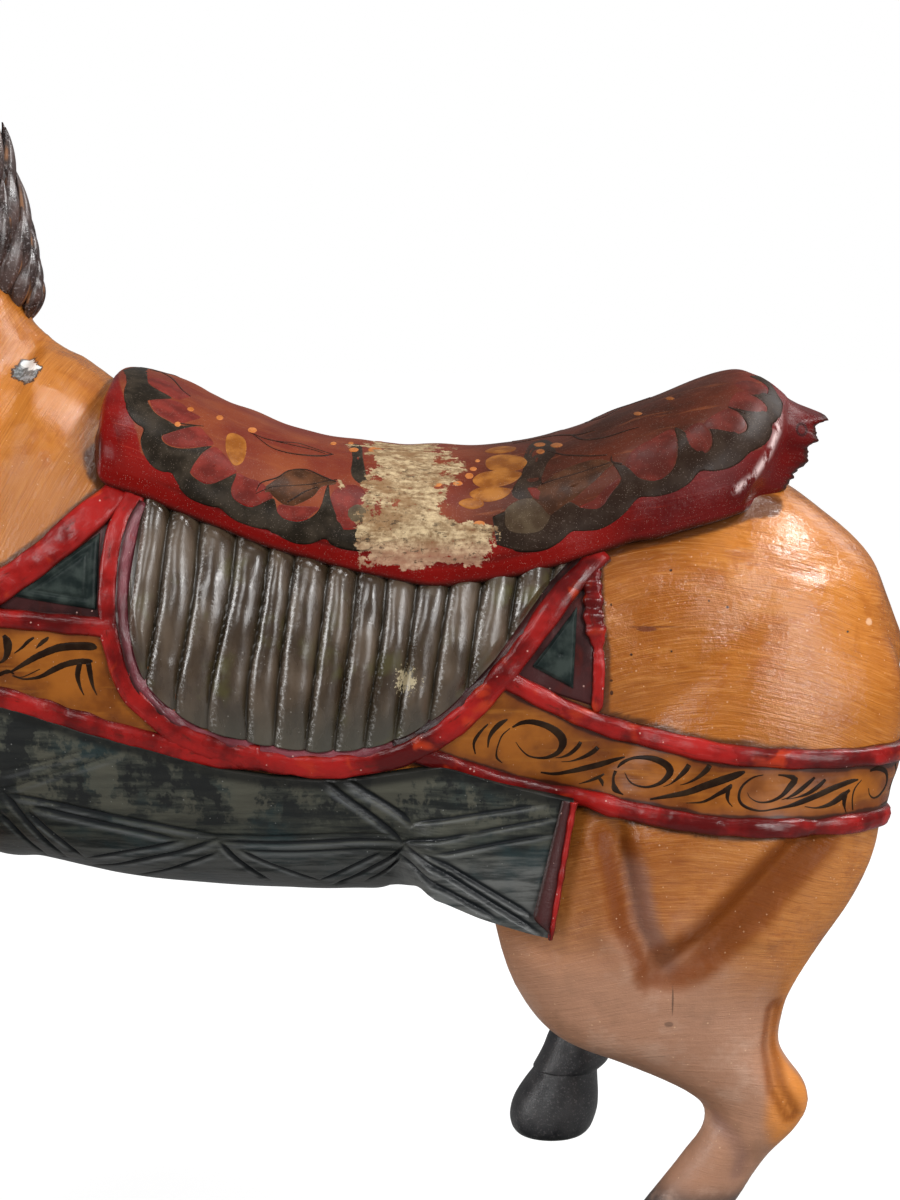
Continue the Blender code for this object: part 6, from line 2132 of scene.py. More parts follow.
@dataclass(frozen=True)
class OchreVarnish(Finish):
    """Orange-brown varnish brushed over carved wood, with the legs' airbrushed tones, painted shade along
    their grooves and hollows, and painted shade at the feet of the trappings.
    """

    marks: bool = True
    # Small damage on the near side: x, z, reach along and down, tone and strength
    damage: tuple = (
        (0.27, 0.6006, 0.0011, 0.0009, (0.03, 0.01, 0.004), 1.0),
        (0.2939, 0.5815, 0.0009, 0.0009, (0.03, 0.01, 0.004), 1.0),
        (0.3058, 0.5775, 0.001, 0.0009, (0.03, 0.01, 0.004), 1.0),
        (0.3843, 0.5603, 0.001, 0.0009, (0.02, 0.012, 0.008), 1.0),
        (0.2445, 0.5482, 0.0009, 0.0009, (0.03, 0.01, 0.004), 1.0),
        (0.27, 0.55, 0.0009, 0.0009, (0.03, 0.01, 0.004), 1.0),
        (0.2318, 0.5794, 0.0007, 0.001, (0.03, 0.01, 0.004), 0.9),
        (0.2318, 0.532, 0.001, 0.0008, (0.03, 0.01, 0.004), 0.9),
        (0.2322, 0.524, 0.0009, 0.0014, (0.03, 0.01, 0.004), 0.9),
        (0.262, 0.5655, 0.024, 0.0005, (0.13, 0.035, 0.012), 0.6),
        (0.2545, 0.564, 0.006, 0.0012, (0.11, 0.026, 0.016), 0.7),
        (0.4004, 0.5647, 0.0024, 0.0022, (0.72, 0.42, 0.24), 0.8),
        (0.2722, 0.326, 0.0006, 0.0085, (0.12, 0.06, 0.035), 0.8),
        (0.27, 0.31, 0.0028, 0.0018, (0.09, 0.05, 0.034), 0.55),
    )  # fmt: skip
    chip: tuple = (-0.1450, 0.7252, 0.0108, 0.0064)

    def wire(self, bench: Bench, shader: bpy.types.Node) -> None:
        """Brushed ochre from dark to light, toned by the skin's marks, glossy with fine grain."""
        place = bench.place()
        grain = bench.group(Effects.get("brush_grain"), Vector=place)
        hairs, streaks = grain.outputs
        cloud = bench.noise(place, 9.0, 3.0)
        mottle = bench.noise(place, 34.0, 6.0, 0.66, 0.4)
        colour = bench.blend(bench.span(cloud, 0.30, 0.70), (0.360, 0.108, 0.011), (0.500, 0.172, 0.026))
        colour = bench.blend(bench.span(mottle, 0.52, 0.36, 0, 0.50), colour, (0.290, 0.072, 0.008))
        x = bench.axis(place, "x")
        saddle_side = bench.times(bench.span(x, 0.20, 0.23), bench.span(x, 0.31, 0.245, 0, 0.50))
        colour = bench.blend(saddle_side, colour, (0.250, 0.062, 0.006))
        colour = bench.blend(bench.span(streaks, 0.50, 0.72, 0, 0.26), colour, (0.600, 0.240, 0.050))
        colour = bench.blend(bench.span(hairs, 0.50, 0.70, 0, 0.34), colour, (0.680, 0.300, 0.080))
        colour = bench.blend(bench.span(hairs, 0.48, 0.30, 0, 0.50), colour, (0.220, 0.054, 0.005))
        if self.marks:
            colour = self.toned(bench, cloud, colour)
            colour = self.damaged(bench, place, mottle, colour)
        pins = bench.specks(place, 38.0, 0.05, 0.035)
        colour = bench.blend(bench.times(pins, 0.85), colour, (0.020, 0.008, 0.003))
        lint = bench.specks(place, 420.0, 0.10, 0.26)
        colour = bench.blend(bench.times(lint, 0.40), colour, (0.850, 0.560, 0.340))
        # Painted shade: dark brown at the feet of the saddle and the ridges
        trapping_shade = bench.ragged(bench.mark("trapping_shade"), mottle, 0.8)
        colour = bench.blend(bench.span(trapping_shade, 0.25, 0.95, 0, 0.85), colour, (0.070, 0.022, 0.008))
        bench.feed(shader, "Base Color", colour)
        height = bench.axis(place, "z")
        matt = bench.span(height, 0.455, 0.400, 0.0, 0.30)
        bench.feed(shader, "Specular IOR Level", bench.span(bench.mark("brown_and_groove_shade"), 0.10, 0.70, 0.50, 0.12))
        bench.feed(shader, "Roughness", bench.calc("ADD", bench.span(mottle, 0.35, 0.68, 0.10, 0.26), matt))
        height = bench.calc("MULTIPLY_ADD", streaks, 1.8, bench.times(hairs, 1.0))
        height = bench.calc("MULTIPLY_ADD", bench.noise(place, 58.0, 5.0, 0.62), 3.2, height)
        height = bench.calc("MULTIPLY_ADD", bench.noise(place, 150.0, 4.0, 0.7), 1.5, height)
        self.press(bench, shader, height, 0.5, 0.0006)

    def toned(self, bench: Bench, cloud: object, colour: object) -> object:
        """The colour with the legs' brushed tones over it, each by its mark on the skin; the brown and mauve
        ones are also painted shade in the grooves and hollows.
        """
        for key, tone, share in (
            ("tan", (0.430, 0.225, 0.140), 0.88),
            ("warm", (0.660, 0.235, 0.040), 0.85),
            ("mauve", (0.250, 0.125, 0.092), 0.75),
            ("brown_and_groove_shade", (0.190, 0.046, 0.008), 0.88),
            ("sock", (0.030, 0.029, 0.033), 1.0),
        ):
            ragged = bench.ragged(bench.mark(key), cloud, 0.30)
            colour = bench.blend(bench.span(ragged, 0.05, 0.95, 0.0, share), colour, tone)
        wash = bench.noise(bench.place(), 26.0, 5.0, 0.62)
        tan = bench.mark("tan")
        pale = bench.times(bench.span(wash, 0.50, 0.68, 0, 0.45), tan)
        colour = bench.blend(pale, colour, (0.560, 0.350, 0.250))
        grey = bench.times(bench.span(wash, 0.48, 0.32, 0, 0.45), tan)
        return bench.blend(grey, colour, (0.300, 0.150, 0.085))

    def damaged(self, bench: Bench, place: object, mottle: object, colour: object) -> object:
        """The colour with pin holes, scratches and the chip on the neck, near side only.

        Args:
            bench: The material's bench.
            place: Object coordinates.
            mottle: A noise that roughens the outlines.
            colour: The colour underneath.

        Returns:
            The marked colour.
        """
        y = bench.axis(place, "y")
        near = bench.span(y, -0.020, -0.030)
        wobble = bench.calc("SUBTRACT", mottle, 0.5)

        def away(x: float, z: float, along: float, down: float, rough: float) -> object:
            """How far from a spot, 1 at its rim, with a ragged outline."""
            flat = bench.stretched(place, (1 / along, 0.0, 1 / down), (-x / along, 0.0, -z / down))
            return bench.calc("MULTIPLY_ADD", wobble, rough, bench.length(flat))

        for x, z, along, down, tone, share in self.damage:
            spot = bench.times(bench.span(away(x, z, along, down, 2.0), 1.25, 0.70, 0, share), near)
            colour = bench.blend(spot, colour, tone)
        reach = away(*self.chip, 3.0)
        colour = bench.blend(bench.times(bench.span(reach, 1.22, 1.12), near), colour, (0.060, 0.030, 0.018))
        fine = bench.noise(place, 260.0, 5.0, 0.7)
        primer = bench.blend(bench.span(fine, 0.44, 0.60), (0.110, 0.120, 0.120), (0.300, 0.320, 0.330))
        x, z, along, down = self.chip
        white = bench.span(away(x + 0.003, z + 0.0035, 0.9 * along, 0.55 * down, 5.0), 1.0, 0.75)
        primer = bench.blend(white, primer, (0.830, 0.830, 0.800))
        return bench.blend(bench.times(bench.span(reach, 1.04, 0.98), near), colour, primer)


@dataclass(frozen=True)
class Crimson(Finish):
    """Thick crimson paint, rubbed pink on its crowns as wear and as a painted sheen, with painted shade dark
    brown at its feet.
    """

    bright: tuple = (0.360, 0.010, 0.008)
    deep: tuple = (0.085, 0.003, 0.003)
    warm: tuple = (0.520, 0.045, 0.010)
    # The rub's colour and share: wear, and a painted sheen
    rub_and_sheen: tuple = (0.560, 0.120, 0.105)
    sheen_rub_share: float = 0.16

    def wire(self, bench: Bench, shader: bpy.types.Node) -> None:
        """Deep and bright crimson in patches, orange where thin, pink where rubbed and as painted sheen,
        painted shade dark at the feet.
        """
        place, surface = bench.place(), bench.surface()
        cloud = bench.noise(place, 24.0, 4.0)
        colour = bench.blend(bench.span(cloud, 0.36, 0.62), self.deep, self.bright)
        thin = bench.noise(place, 38.0, 3.0, 0.5, 0.6)
        colour = bench.blend(bench.span(thin, 0.58, 0.72, 0, 0.7), colour, self.warm)
        run = bench.stretched(surface, (60.0, 9.0, 1.0))
        lines = bench.noise(run, 1.0, 5.0, 0.65)
        colour = bench.blend(bench.span(lines, 0.44, 0.28, 0, 0.75), colour, (0.070, 0.009, 0.005))
        # Wear and painted sheen: pale pink along the streak lines
        colour = bench.blend(bench.span(lines, 0.60, 0.74, 0, self.sheen_rub_share), colour, self.rub_and_sheen)
        # Painted shade: near-black along both feet of the moulding
        foot = bench.group(Effects.get("foot_shade"), Surface=surface, Breadth=0.26)
        colour = bench.blend(bench.times(foot, 0.92), colour, (0.024, 0.006, 0.004))
        lint = bench.specks(place, 420.0, 0.05, 0.3)
        colour = bench.blend(bench.times(lint, 0.6), colour, (0.70, 0.42, 0.36))
        bench.feed(shader, "Base Color", colour)
        bench.feed(shader, "Roughness", bench.span(cloud, 0.3, 0.7, 0.20, 0.34))
        shader.inputs["Specular IOR Level"].default_value = 0.30
        height = bench.calc("MULTIPLY_ADD", lines, 1.2, bench.noise(place, 150.0, 3.0))
        self.press(bench, shader, height, 0.5, 0.0006)


@dataclass(frozen=True)
class SeatPaint(Finish):
    """The seat: brown-red ground, crimson rim, painted shade in its crease and under its roll, a painted
    highlight on the cantle's arris, specked and worn to a cream ground.
    """

    def wire(self, bench: Bench, shader: bpy.types.Node) -> None:
        """Ground by place along the seat, crimson by distance from the rim, painted shade and a painted
        highlight, then wear.
        """
        place, surface = bench.place(), bench.surface()
        x = bench.axis(place, "x")
        cloud = bench.noise(place, 20.0, 4.0)
        fore = bench.blend(bench.span(cloud, 0.35, 0.65), (0.150, 0.022, 0.011), (0.220, 0.050, 0.018))
        aft = bench.blend(bench.span(cloud, 0.35, 0.65), (0.034, 0.009, 0.004), (0.076, 0.016, 0.007))
        ground = bench.blend(bench.span(x, 0.115, 0.175), fore, aft)
        ground = bench.blend(bench.span(x, 0.300, 0.345, 0, 0.6), ground, (0.170, 0.022, 0.014))
        streak = bench.noise(bench.stretched(surface, (24.0, 180.0, 1.0)), 1.0, 4.0)
        ground = bench.blend(bench.span(streak, 0.55, 0.75, 0, 0.35), ground, (0.300, 0.090, 0.030))
        red = bench.blend(bench.span(cloud, 0.36, 0.62), (0.100, 0.004, 0.003), (0.205, 0.008, 0.006))
        foot = bench.noise(bench.stretched(surface, (14.0, 420.0, 1.0)), 1.0, 5.0, 0.65)
        red = bench.blend(bench.span(foot, 0.56, 0.74, 0, 0.40), red, (0.420, 0.045, 0.025))
        rim = bench.ragged(bench.mark("rim"), cloud, 0.004)
        red = bench.blend(bench.span(x, 0.20, 0.29, 0, 0.62), red, (0.060, 0.004, 0.004))
        roll = bench.times(bench.span(rim, 0.0215, 0.0195), bench.span(x, 0.24, 0.18))
        red = bench.blend(bench.times(roll, 0.75), red, (0.170, 0.003, 0.002))
        reach = bench.calc("SUBTRACT", rim, bench.span(x, 0.14, 0.33, 0.0, 0.020))
        colour = bench.blend(bench.span(reach, 0.0370, 0.0350), ground, red)
        # Painted shade in the carved crease
        seam = bench.times(bench.mark("crease"), 0.8)
        colour = bench.blend(seam, colour, (0.030, 0.005, 0.004))
        # Painted shade: near-black under the roll and along the pommel's and the break's edges
        colour = bench.blend(bench.span(rim, 0.0125, 0.0070, 0, 0.85), colour, (0.030, 0.008, 0.005))
        # Painted highlight: a broken pale streak along the cantle's arris
        rub_and_sheen = bench.noise(bench.stretched(place, (110.0, 110.0, 70.0)), 1.0, 5.0, 0.75)
        arris_highlight = bench.times(bench.mark("arris_highlight"), bench.span(rub_and_sheen, 0.40, 0.56))
        colour = bench.blend(bench.times(arris_highlight, 0.90), colour, (0.800, 0.600, 0.580))
        flat = bench.stretched(place, (1.0, 0.0, 1.0), (-0.3610, 0.0, -0.6870))
        ring = bench.length(flat)
        ring = bench.calc("ABSOLUTE", bench.calc("SUBTRACT", ring, 0.0036))
        colour = bench.blend(bench.span(ring, 0.0014, 0.0005, 0, 0.85), colour, (0.026, 0.005, 0.005))
        colour, wear = worn(bench, place, colour)
        bench.feed(shader, "Base Color", colour)
        gloss = bench.span(rim, 0.030, 0.040, 0.24, 0.42)
        bench.feed(shader, "Roughness", bench.calc("MULTIPLY_ADD", wear, 0.34, gloss))
        shader.inputs["Specular IOR Level"].default_value = 0.13
        fine = bench.calc("MULTIPLY_ADD", foot, 0.8, bench.noise(place, 240.0, 3.0))
        self.press(bench, shader, bench.calc("MULTIPLY_ADD", wear, -0.8, fine), 0.4, 0.0006)


def worn(bench: Bench, place: object, colour: object) -> tuple[object, object]:
    """Lay the worn cream patch and the dust specks over a seat colour.

    Args:
        bench: The material's bench.
        place: Object coordinates.
        colour: The colour underneath.

    Returns:
        The worn colour and the patch's mask.
    """
    wear = bench.group(Effects.get("worn_patch"), Vector=place)
    patch, flecks = wear.outputs
    cream = bench.blend(bench.span(flecks, 0.38, 0.66), (0.200, 0.125, 0.062), (0.560, 0.425, 0.250))
    stain = bench.noise(bench.stretched(place, (30.0, 60.0, 60.0)), 1.0, 5.0, 0.65)
    cream = bench.blend(bench.span(stain, 0.46, 0.62, 0, 0.80), cream, (0.200, 0.105, 0.045))
    z = bench.axis(place, "z")
    pink = bench.times(bench.span(z, 0.625, 0.607), 0.35)
    cream = bench.blend(pink, cream, (0.480, 0.200, 0.150))
    pits = bench.noise(bench.stretched(place, (170.0, 300.0, 300.0)), 1.0, 5.0, 0.8)
    cream = bench.blend(bench.span(pits, 0.56, 0.63, 0, 0.85), cream, (0.060, 0.036, 0.020))
    colour = bench.blend(patch, colour, cream)
    dust = bench.specks(place, 1500.0, 0.35, 0.36)
    return bench.blend(bench.times(dust, 0.22), colour, (0.560, 0.420, 0.340)), patch


@dataclass(frozen=True)
class BrushPaint(Finish):
    """Opaque brush paint of the ornament, thin at its dry ends."""

    tone: tuple = (0.014, 0.006, 0.003)
    shade: tuple = (0.030, 0.016, 0.008)
    on_seat: bool = False
    rough: float = 0.38

    def wire(self, bench: Bench, shader: bpy.types.Node) -> None:
        """Two close tones in soft patches, with the seat's wear where it lies on the seat."""
        place = bench.place()
        cloud = bench.noise(place, 75.0, 4.0)
        colour = bench.blend(bench.span(cloud, 0.38, 0.66), self.tone, self.shade)
        if self.on_seat:
            x = bench.axis(place, "x")
            colour = bench.blend(bench.span(x, 0.12, 0.20, 0.0, 0.50), colour, (0.026, 0.010, 0.006))
            colour, _ = worn(bench, place, colour)
        bench.feed(shader, "Base Color", colour)
        bench.feed(shader, "Roughness", bench.span(cloud, 0.2, 0.8, self.rough - 0.06, self.rough + 0.06))
        shader.inputs["Specular IOR Level"].default_value = 0.10
        self.press(bench, shader, bench.noise(place, 260.0, 3.0), 0.25, 0.0004)


@dataclass(frozen=True)
class BronzePaint(Finish):
    """The ribs' olive-bronze paint: painted shade in the valleys, painted glints on the steep fronts,
    green-grey foot and a gritty gloss.
    """

    # Where the paint is chipped off a rib
    chip: tuple = (0.1030, -0.129, 0.534)

    def wire(self, bench: Bench, shader: bpy.types.Node) -> None:
        """Tone by height and by lift off the valley, with painted glints of pale grit on the steep fronts."""
        place = bench.place()
        z = bench.axis(place, "z")
        cloud = bench.noise(bench.stretched(place, (60.0, 60.0, 22.0)), 1.0, 4.0)
        body = bench.blend(bench.span(cloud, 0.35, 0.68), (0.040, 0.024, 0.013), (0.098, 0.066, 0.041))
        body = bench.blend(bench.span(z, 0.530, 0.490, 0, 0.6), body, (0.060, 0.062, 0.046))
        olive = bench.noise(place, 30.0, 3.0)
        body = bench.blend(bench.span(olive, 0.55, 0.68, 0, 0.6), body, (0.080, 0.072, 0.022))
        lift, share = bench.mark("lift"), bench.mark("share")
        # Painted shade: the valleys between the ribs darkened
        valley = bench.span(lift, 0.62, 0.10)
        colour = bench.blend(bench.times(valley, 0.85), body, (0.026, 0.018, 0.008))
        # Painted glints: pale grit on the steep rib fronts
        grit = bench.noise(place, 520.0, 3.0, 0.7)
        front = bench.times(bench.span(share, 0.30, 0.10), bench.span(lift, 0.35, 0.8))
        pale = bench.times(front, bench.span(grit, 0.50, 0.62, 0, 0.85))
        colour = bench.blend(pale, colour, (0.560, 0.545, 0.520))
        dust = bench.specks(place, 430.0, 0.20, 0.22)
        colour = bench.blend(bench.times(dust, 0.35), colour, (0.450, 0.410, 0.360))
        chip = bench.add("VectorMath", {0: place, 1: self.chip}, operation="DISTANCE").outputs[1]
        ragged = bench.ragged(chip, grit, 0.030)
        colour = bench.blend(bench.span(ragged, 0.0066, 0.0054, 0, 0.95), colour, (0.480, 0.400, 0.250))
        bench.feed(shader, "Base Color", colour)
        bench.feed(shader, "Roughness", bench.span(cloud, 0.3, 0.7, 0.22, 0.34))
        shader.inputs["Specular IOR Level"].default_value = 0.75
        height = bench.calc("MULTIPLY_ADD", bench.noise(place, 110.0, 2.0), 1.2, grit)
        self.press(bench, shader, height, 0.30, 0.0005)


@dataclass(frozen=True)
class SlatePaint(Finish):
    """Slate paint over the carved cloth: dry grey-green streaks, black smears, teal patches."""

    knife: str = "cut"

    def wire(self, bench: Bench, shader: bpy.types.Node) -> None:
        """Level dry streaks, smears and patches, with painted shade black in the knife cuts and along the
        cloth's top, and a painted highlight on the cuts' lower lips.
        """
        place = bench.place()
        z = bench.axis(place, "z")
        run = bench.noise(bench.stretched(place, (26.0, 26.0, 210.0)), 1.0, 5.0, 0.6)
        colour = bench.blend(bench.span(run, 0.36, 0.66), (0.010, 0.012, 0.011), (0.058, 0.060, 0.046))
        cloud = bench.noise(place, 17.0, 4.0, 0.6)
        colour = bench.blend(bench.span(cloud, 0.52, 0.66, 0, 0.70), colour, (0.010, 0.028, 0.031))
        smear = bench.noise(bench.stretched(place, (34.0, 34.0, 26.0), (0.4, 0.0, 0.2)), 1.0, 5.0, 0.68)
        upper = bench.span(z, 0.425, 0.455)
        pale = bench.times(bench.span(smear, 0.50, 0.44), upper)
        colour = bench.blend(bench.times(pale, 0.55), colour, (0.105, 0.100, 0.072))
        black = bench.times(bench.span(smear, 0.52, 0.57), upper)
        colour = bench.blend(bench.times(black, 0.90), colour, (0.008, 0.009, 0.009))
        belly = bench.times(bench.span(z, 0.432, 0.405), bench.span(run, 0.34, 0.60, 0.15, 0.75))
        colour = bench.blend(belly, colour, (0.130, 0.132, 0.128))
        cut = bench.mark(self.knife)
        # Painted highlight on the lower lip of each knife cut
        lip = bench.times(bench.mark("lip"), bench.span(run, 0.36, 0.52, 0.25, 0.85))
        colour = bench.blend(lip, colour, (0.150, 0.158, 0.162))
        # Painted shade: black in the knife cuts
        colour = bench.blend(bench.span(cut, 0.15, 0.50, 0, 0.95), colour, (0.006, 0.008, 0.010))
        # Painted shade along the cloth's top, under the ridge
        colour = bench.blend(bench.times(bench.mark("seam"), 0.85), colour, (0.005, 0.005, 0.004))
        dust = bench.specks(place, 430.0, 0.10, 0.22)
        colour = bench.blend(bench.times(dust, 0.35), colour, (0.360, 0.360, 0.340))
        bench.feed(shader, "Base Color", colour)
        bench.feed(shader, "Roughness", bench.span(run, 0.3, 0.7, 0.30, 0.48))
        shader.inputs["Specular IOR Level"].default_value = 0.35
        height = bench.calc("MULTIPLY_ADD", run, 2.0, bench.noise(place, 220.0, 3.0))
        self.press(bench, shader, height, 0.45, 0.0006)


@dataclass(frozen=True)
class BlackGloss(Finish):
    """Black-brown gloss paint with pale speckle and ochre in its grooves."""

    dark: tuple = (0.020, 0.010, 0.008)
    light: tuple = (0.075, 0.040, 0.032)
    speckle: float = 0.5
    rough: float = 0.30

    def wire(self, bench: Bench, shader: bpy.types.Node) -> None:
        """Two dark tones, fine pale speckle and a gritty gloss."""
        place = bench.place()
        cloud = bench.noise(place, 55.0, 4.0)
        colour = bench.blend(bench.span(cloud, 0.35, 0.68), self.dark, self.light)
        grit = bench.noise(place, 620.0, 3.0, 0.7)
        colour = bench.blend(bench.span(grit, 0.56, 0.66, 0, self.speckle), colour, (0.400, 0.360, 0.360))
        edge = bench.times(bench.mark("edge"), bench.span(cloud, 0.42, 0.56))
        colour = bench.blend(bench.times(edge, 0.8), colour, (0.360, 0.150, 0.045))
        bench.feed(shader, "Base Color", colour)
        bench.feed(shader, "Roughness", bench.span(cloud, 0.3, 0.7, self.rough - 0.05, self.rough + 0.08))
        shader.inputs["Specular IOR Level"].default_value = 0.75
        self.press(bench, shader, bench.calc("MULTIPLY_ADD", cloud, 1.5, grit), 0.45, 0.0005)


@dataclass(frozen=True)
class StripOchre(Finish):
    """The bands' orange ochre strip, with painted shade towards its ridges."""

    def wire(self, bench: Bench, shader: bpy.types.Node) -> None:
        """Ochre in level streaks with brown patches."""
        place = bench.place()
        run = bench.noise(bench.stretched(place, (18.0, 18.0, 190.0)), 1.0, 4.0)
        cloud = bench.noise(place, 30.0, 4.0)
        colour = bench.blend(bench.span(cloud, 0.34, 0.66), (0.150, 0.038, 0.004), (0.330, 0.100, 0.008))
        colour = bench.blend(bench.span(run, 0.52, 0.74, 0, 0.5), colour, (0.420, 0.150, 0.018))
        dust = bench.specks(place, 700.0, 0.10, 0.22)
        colour = bench.blend(bench.times(dust, 0.5), colour, (0.700, 0.520, 0.380))
        # Painted shade: brown, then near-black, towards the feet of the ridges
        gap = bench.ragged(bench.mark("gap"), cloud, 0.008)
        colour = bench.blend(bench.span(gap, 0.0165, 0.0085, 0, 0.55), colour, (0.120, 0.024, 0.006))
        colour = bench.blend(bench.span(gap, 0.0098, 0.0078, 0, 0.90), colour, (0.030, 0.007, 0.004))
        bench.feed(shader, "Base Color", colour)
        bench.feed(shader, "Roughness", bench.span(cloud, 0.3, 0.7, 0.26, 0.40))
        shader.inputs["Specular IOR Level"].default_value = 0.35
        self.press(bench, shader, bench.calc("MULTIPLY_ADD", run, 1.4, cloud), 0.3, 0.0005)


@dataclass(frozen=True)
class PlankPaint(Finish):
    """Worn dark green-grey paint on the base's plank."""

    def wire(self, bench: Bench, shader: bpy.types.Node) -> None:
        """Level wood streaks under dark paint, rubbed to brown in patches."""
        place = bench.place()
        run = bench.noise(bench.stretched(place, (7.0, 120.0, 120.0)), 1.0, 5.0, 0.6)
        colour = bench.blend(bench.span(run, 0.36, 0.66), (0.018, 0.026, 0.024), (0.055, 0.066, 0.058))
        cloud = bench.noise(place, 16.0, 6.0, 0.66)
        colour = bench.blend(bench.span(cloud, 0.60, 0.68, 0, 0.8), colour, (0.130, 0.070, 0.030))
        bench.feed(shader, "Base Color", colour)
        bench.feed(shader, "Roughness", bench.span(run, 0.3, 0.7, 0.38, 0.60))
        self.press(bench, shader, bench.calc("MULTIPLY_ADD", run, 2.0, cloud), 0.5, 0.0010)


# ---------------------------------------------------------------- studio


@dataclass
class Studio:
    """Camera, floor and soft lights."""

    eye: tuple = (0.13, -1.6, 0.752)
    down: float = 6.5
    floor_reach: float = 40.0
    film: float = 36.0
    lens: float = 71.13
    # Name, place, aim, width, height, watts
    lights: tuple = (
        ("skylight", (1.70, 0.0, 2.15), (0.34, -0.08, 0.62), 0.70, 0.34, 34.0),
        ("right_window", (1.27, -1.66, 1.46), (0.34, -0.10, 0.58), 0.32, 0.28, 15.0),
        ("left_window", (-0.95, -2.20, 1.85), (0.1, 0.0, 0.6), 0.8, 0.9, 20.0),
        ("shoulder_window", (0.12, -0.28, 2.75), (-0.1, -0.05, 0.68), 0.7, 0.5, 13.0),
        ("side_window", (-2.30, -0.60, 1.10), (0.1, 0.0, 0.55), 0.6, 1.3, 30.0),
        ("back_window", (1.90, 1.70, 1.90), (0.3, 0.0, 0.6), 0.8, 0.8, 5.0),
        ("right_fill", (2.10, -2.10, 0.90), (0.3, 0.0, 0.45), 1.3, 0.9, 24.0),
    )

    def camera(self) -> None:
        """The camera, level from side to side and looking slightly down."""
        data = bpy.data.cameras.new("camera")
        data.sensor_width = self.film
        data.lens = self.lens
        camera = linked("camera", data)
        camera.location = self.eye
        camera.rotation_euler = (math.radians(90.0 - self.down), 0.0, 0.0)
        bpy.context.scene.camera = camera

    def light(self) -> None:
        """Soft area lights and a pale surround."""
        for name, spot, aim, width, height, watts in self.lights:
            data = bpy.data.lights.new(name, "AREA")
            data.shape = "RECTANGLE"
            data.size, data.size_y, data.energy = width, height, watts
            lamp = linked(name, data)
            lamp.location = spot
            lamp.rotation_euler = (Vector(aim) - Vector(spot)).to_track_quat("-Z", "Y").to_euler()
        world = bpy.data.worlds.new("surround")
        world.use_nodes = True
        bench = Bench(world.node_tree)
        back = world.node_tree.nodes["Background"]
        rays = bench.add("LightPath").outputs["Is Camera Ray"]
        bench.feed(back, "Strength", bench.span(rays, 0.0, 1.0, 0.20, 1.0))
        bench.feed(back, "Color", (1.0, 1.0, 1.0))
        bpy.context.scene.world = world
        bpy.context.scene.view_settings.view_transform = "Standard"

    def floor(self) -> None:
        """A pale floor that runs out of sight."""
        reach = self.floor_reach
        corners = np.array([(-reach, -reach, 0), (reach, -reach, 0), (reach, reach, 0), (-reach, reach, 0)])
        floor = new_object("floor", Shape(corners, np.array([[0, 1, 2, 3]]), corners[:, :2]))
        material = bpy.data.materials.new("pale_floor")
        material.use_nodes = True
        shader = material.node_tree.nodes["Principled BSDF"]
        bench = Bench(material.node_tree)
        cloud = bench.noise(bench.place(), 3.0, 3.0)
        bench.feed(shader, "Base Color", bench.blend(cloud, (0.26, 0.26, 0.26), (0.30, 0.30, 0.30)))
        shader.inputs["Roughness"].default_value = 0.9
        shader.inputs["Emission Color"].default_value = (1.0, 1.0, 1.0, 1.0)
        rays = bench.add("LightPath").outputs["Is Camera Ray"]
        away = bench.length(bench.place())
        glow = bench.span(away, 0.4, 0.9, 0.72, 0.95)
        bench.feed(shader, "Emission Strength", bench.times(rays, glow))
        floor.data.materials.append(material)


# ---------------------------------------------------------------- the whole


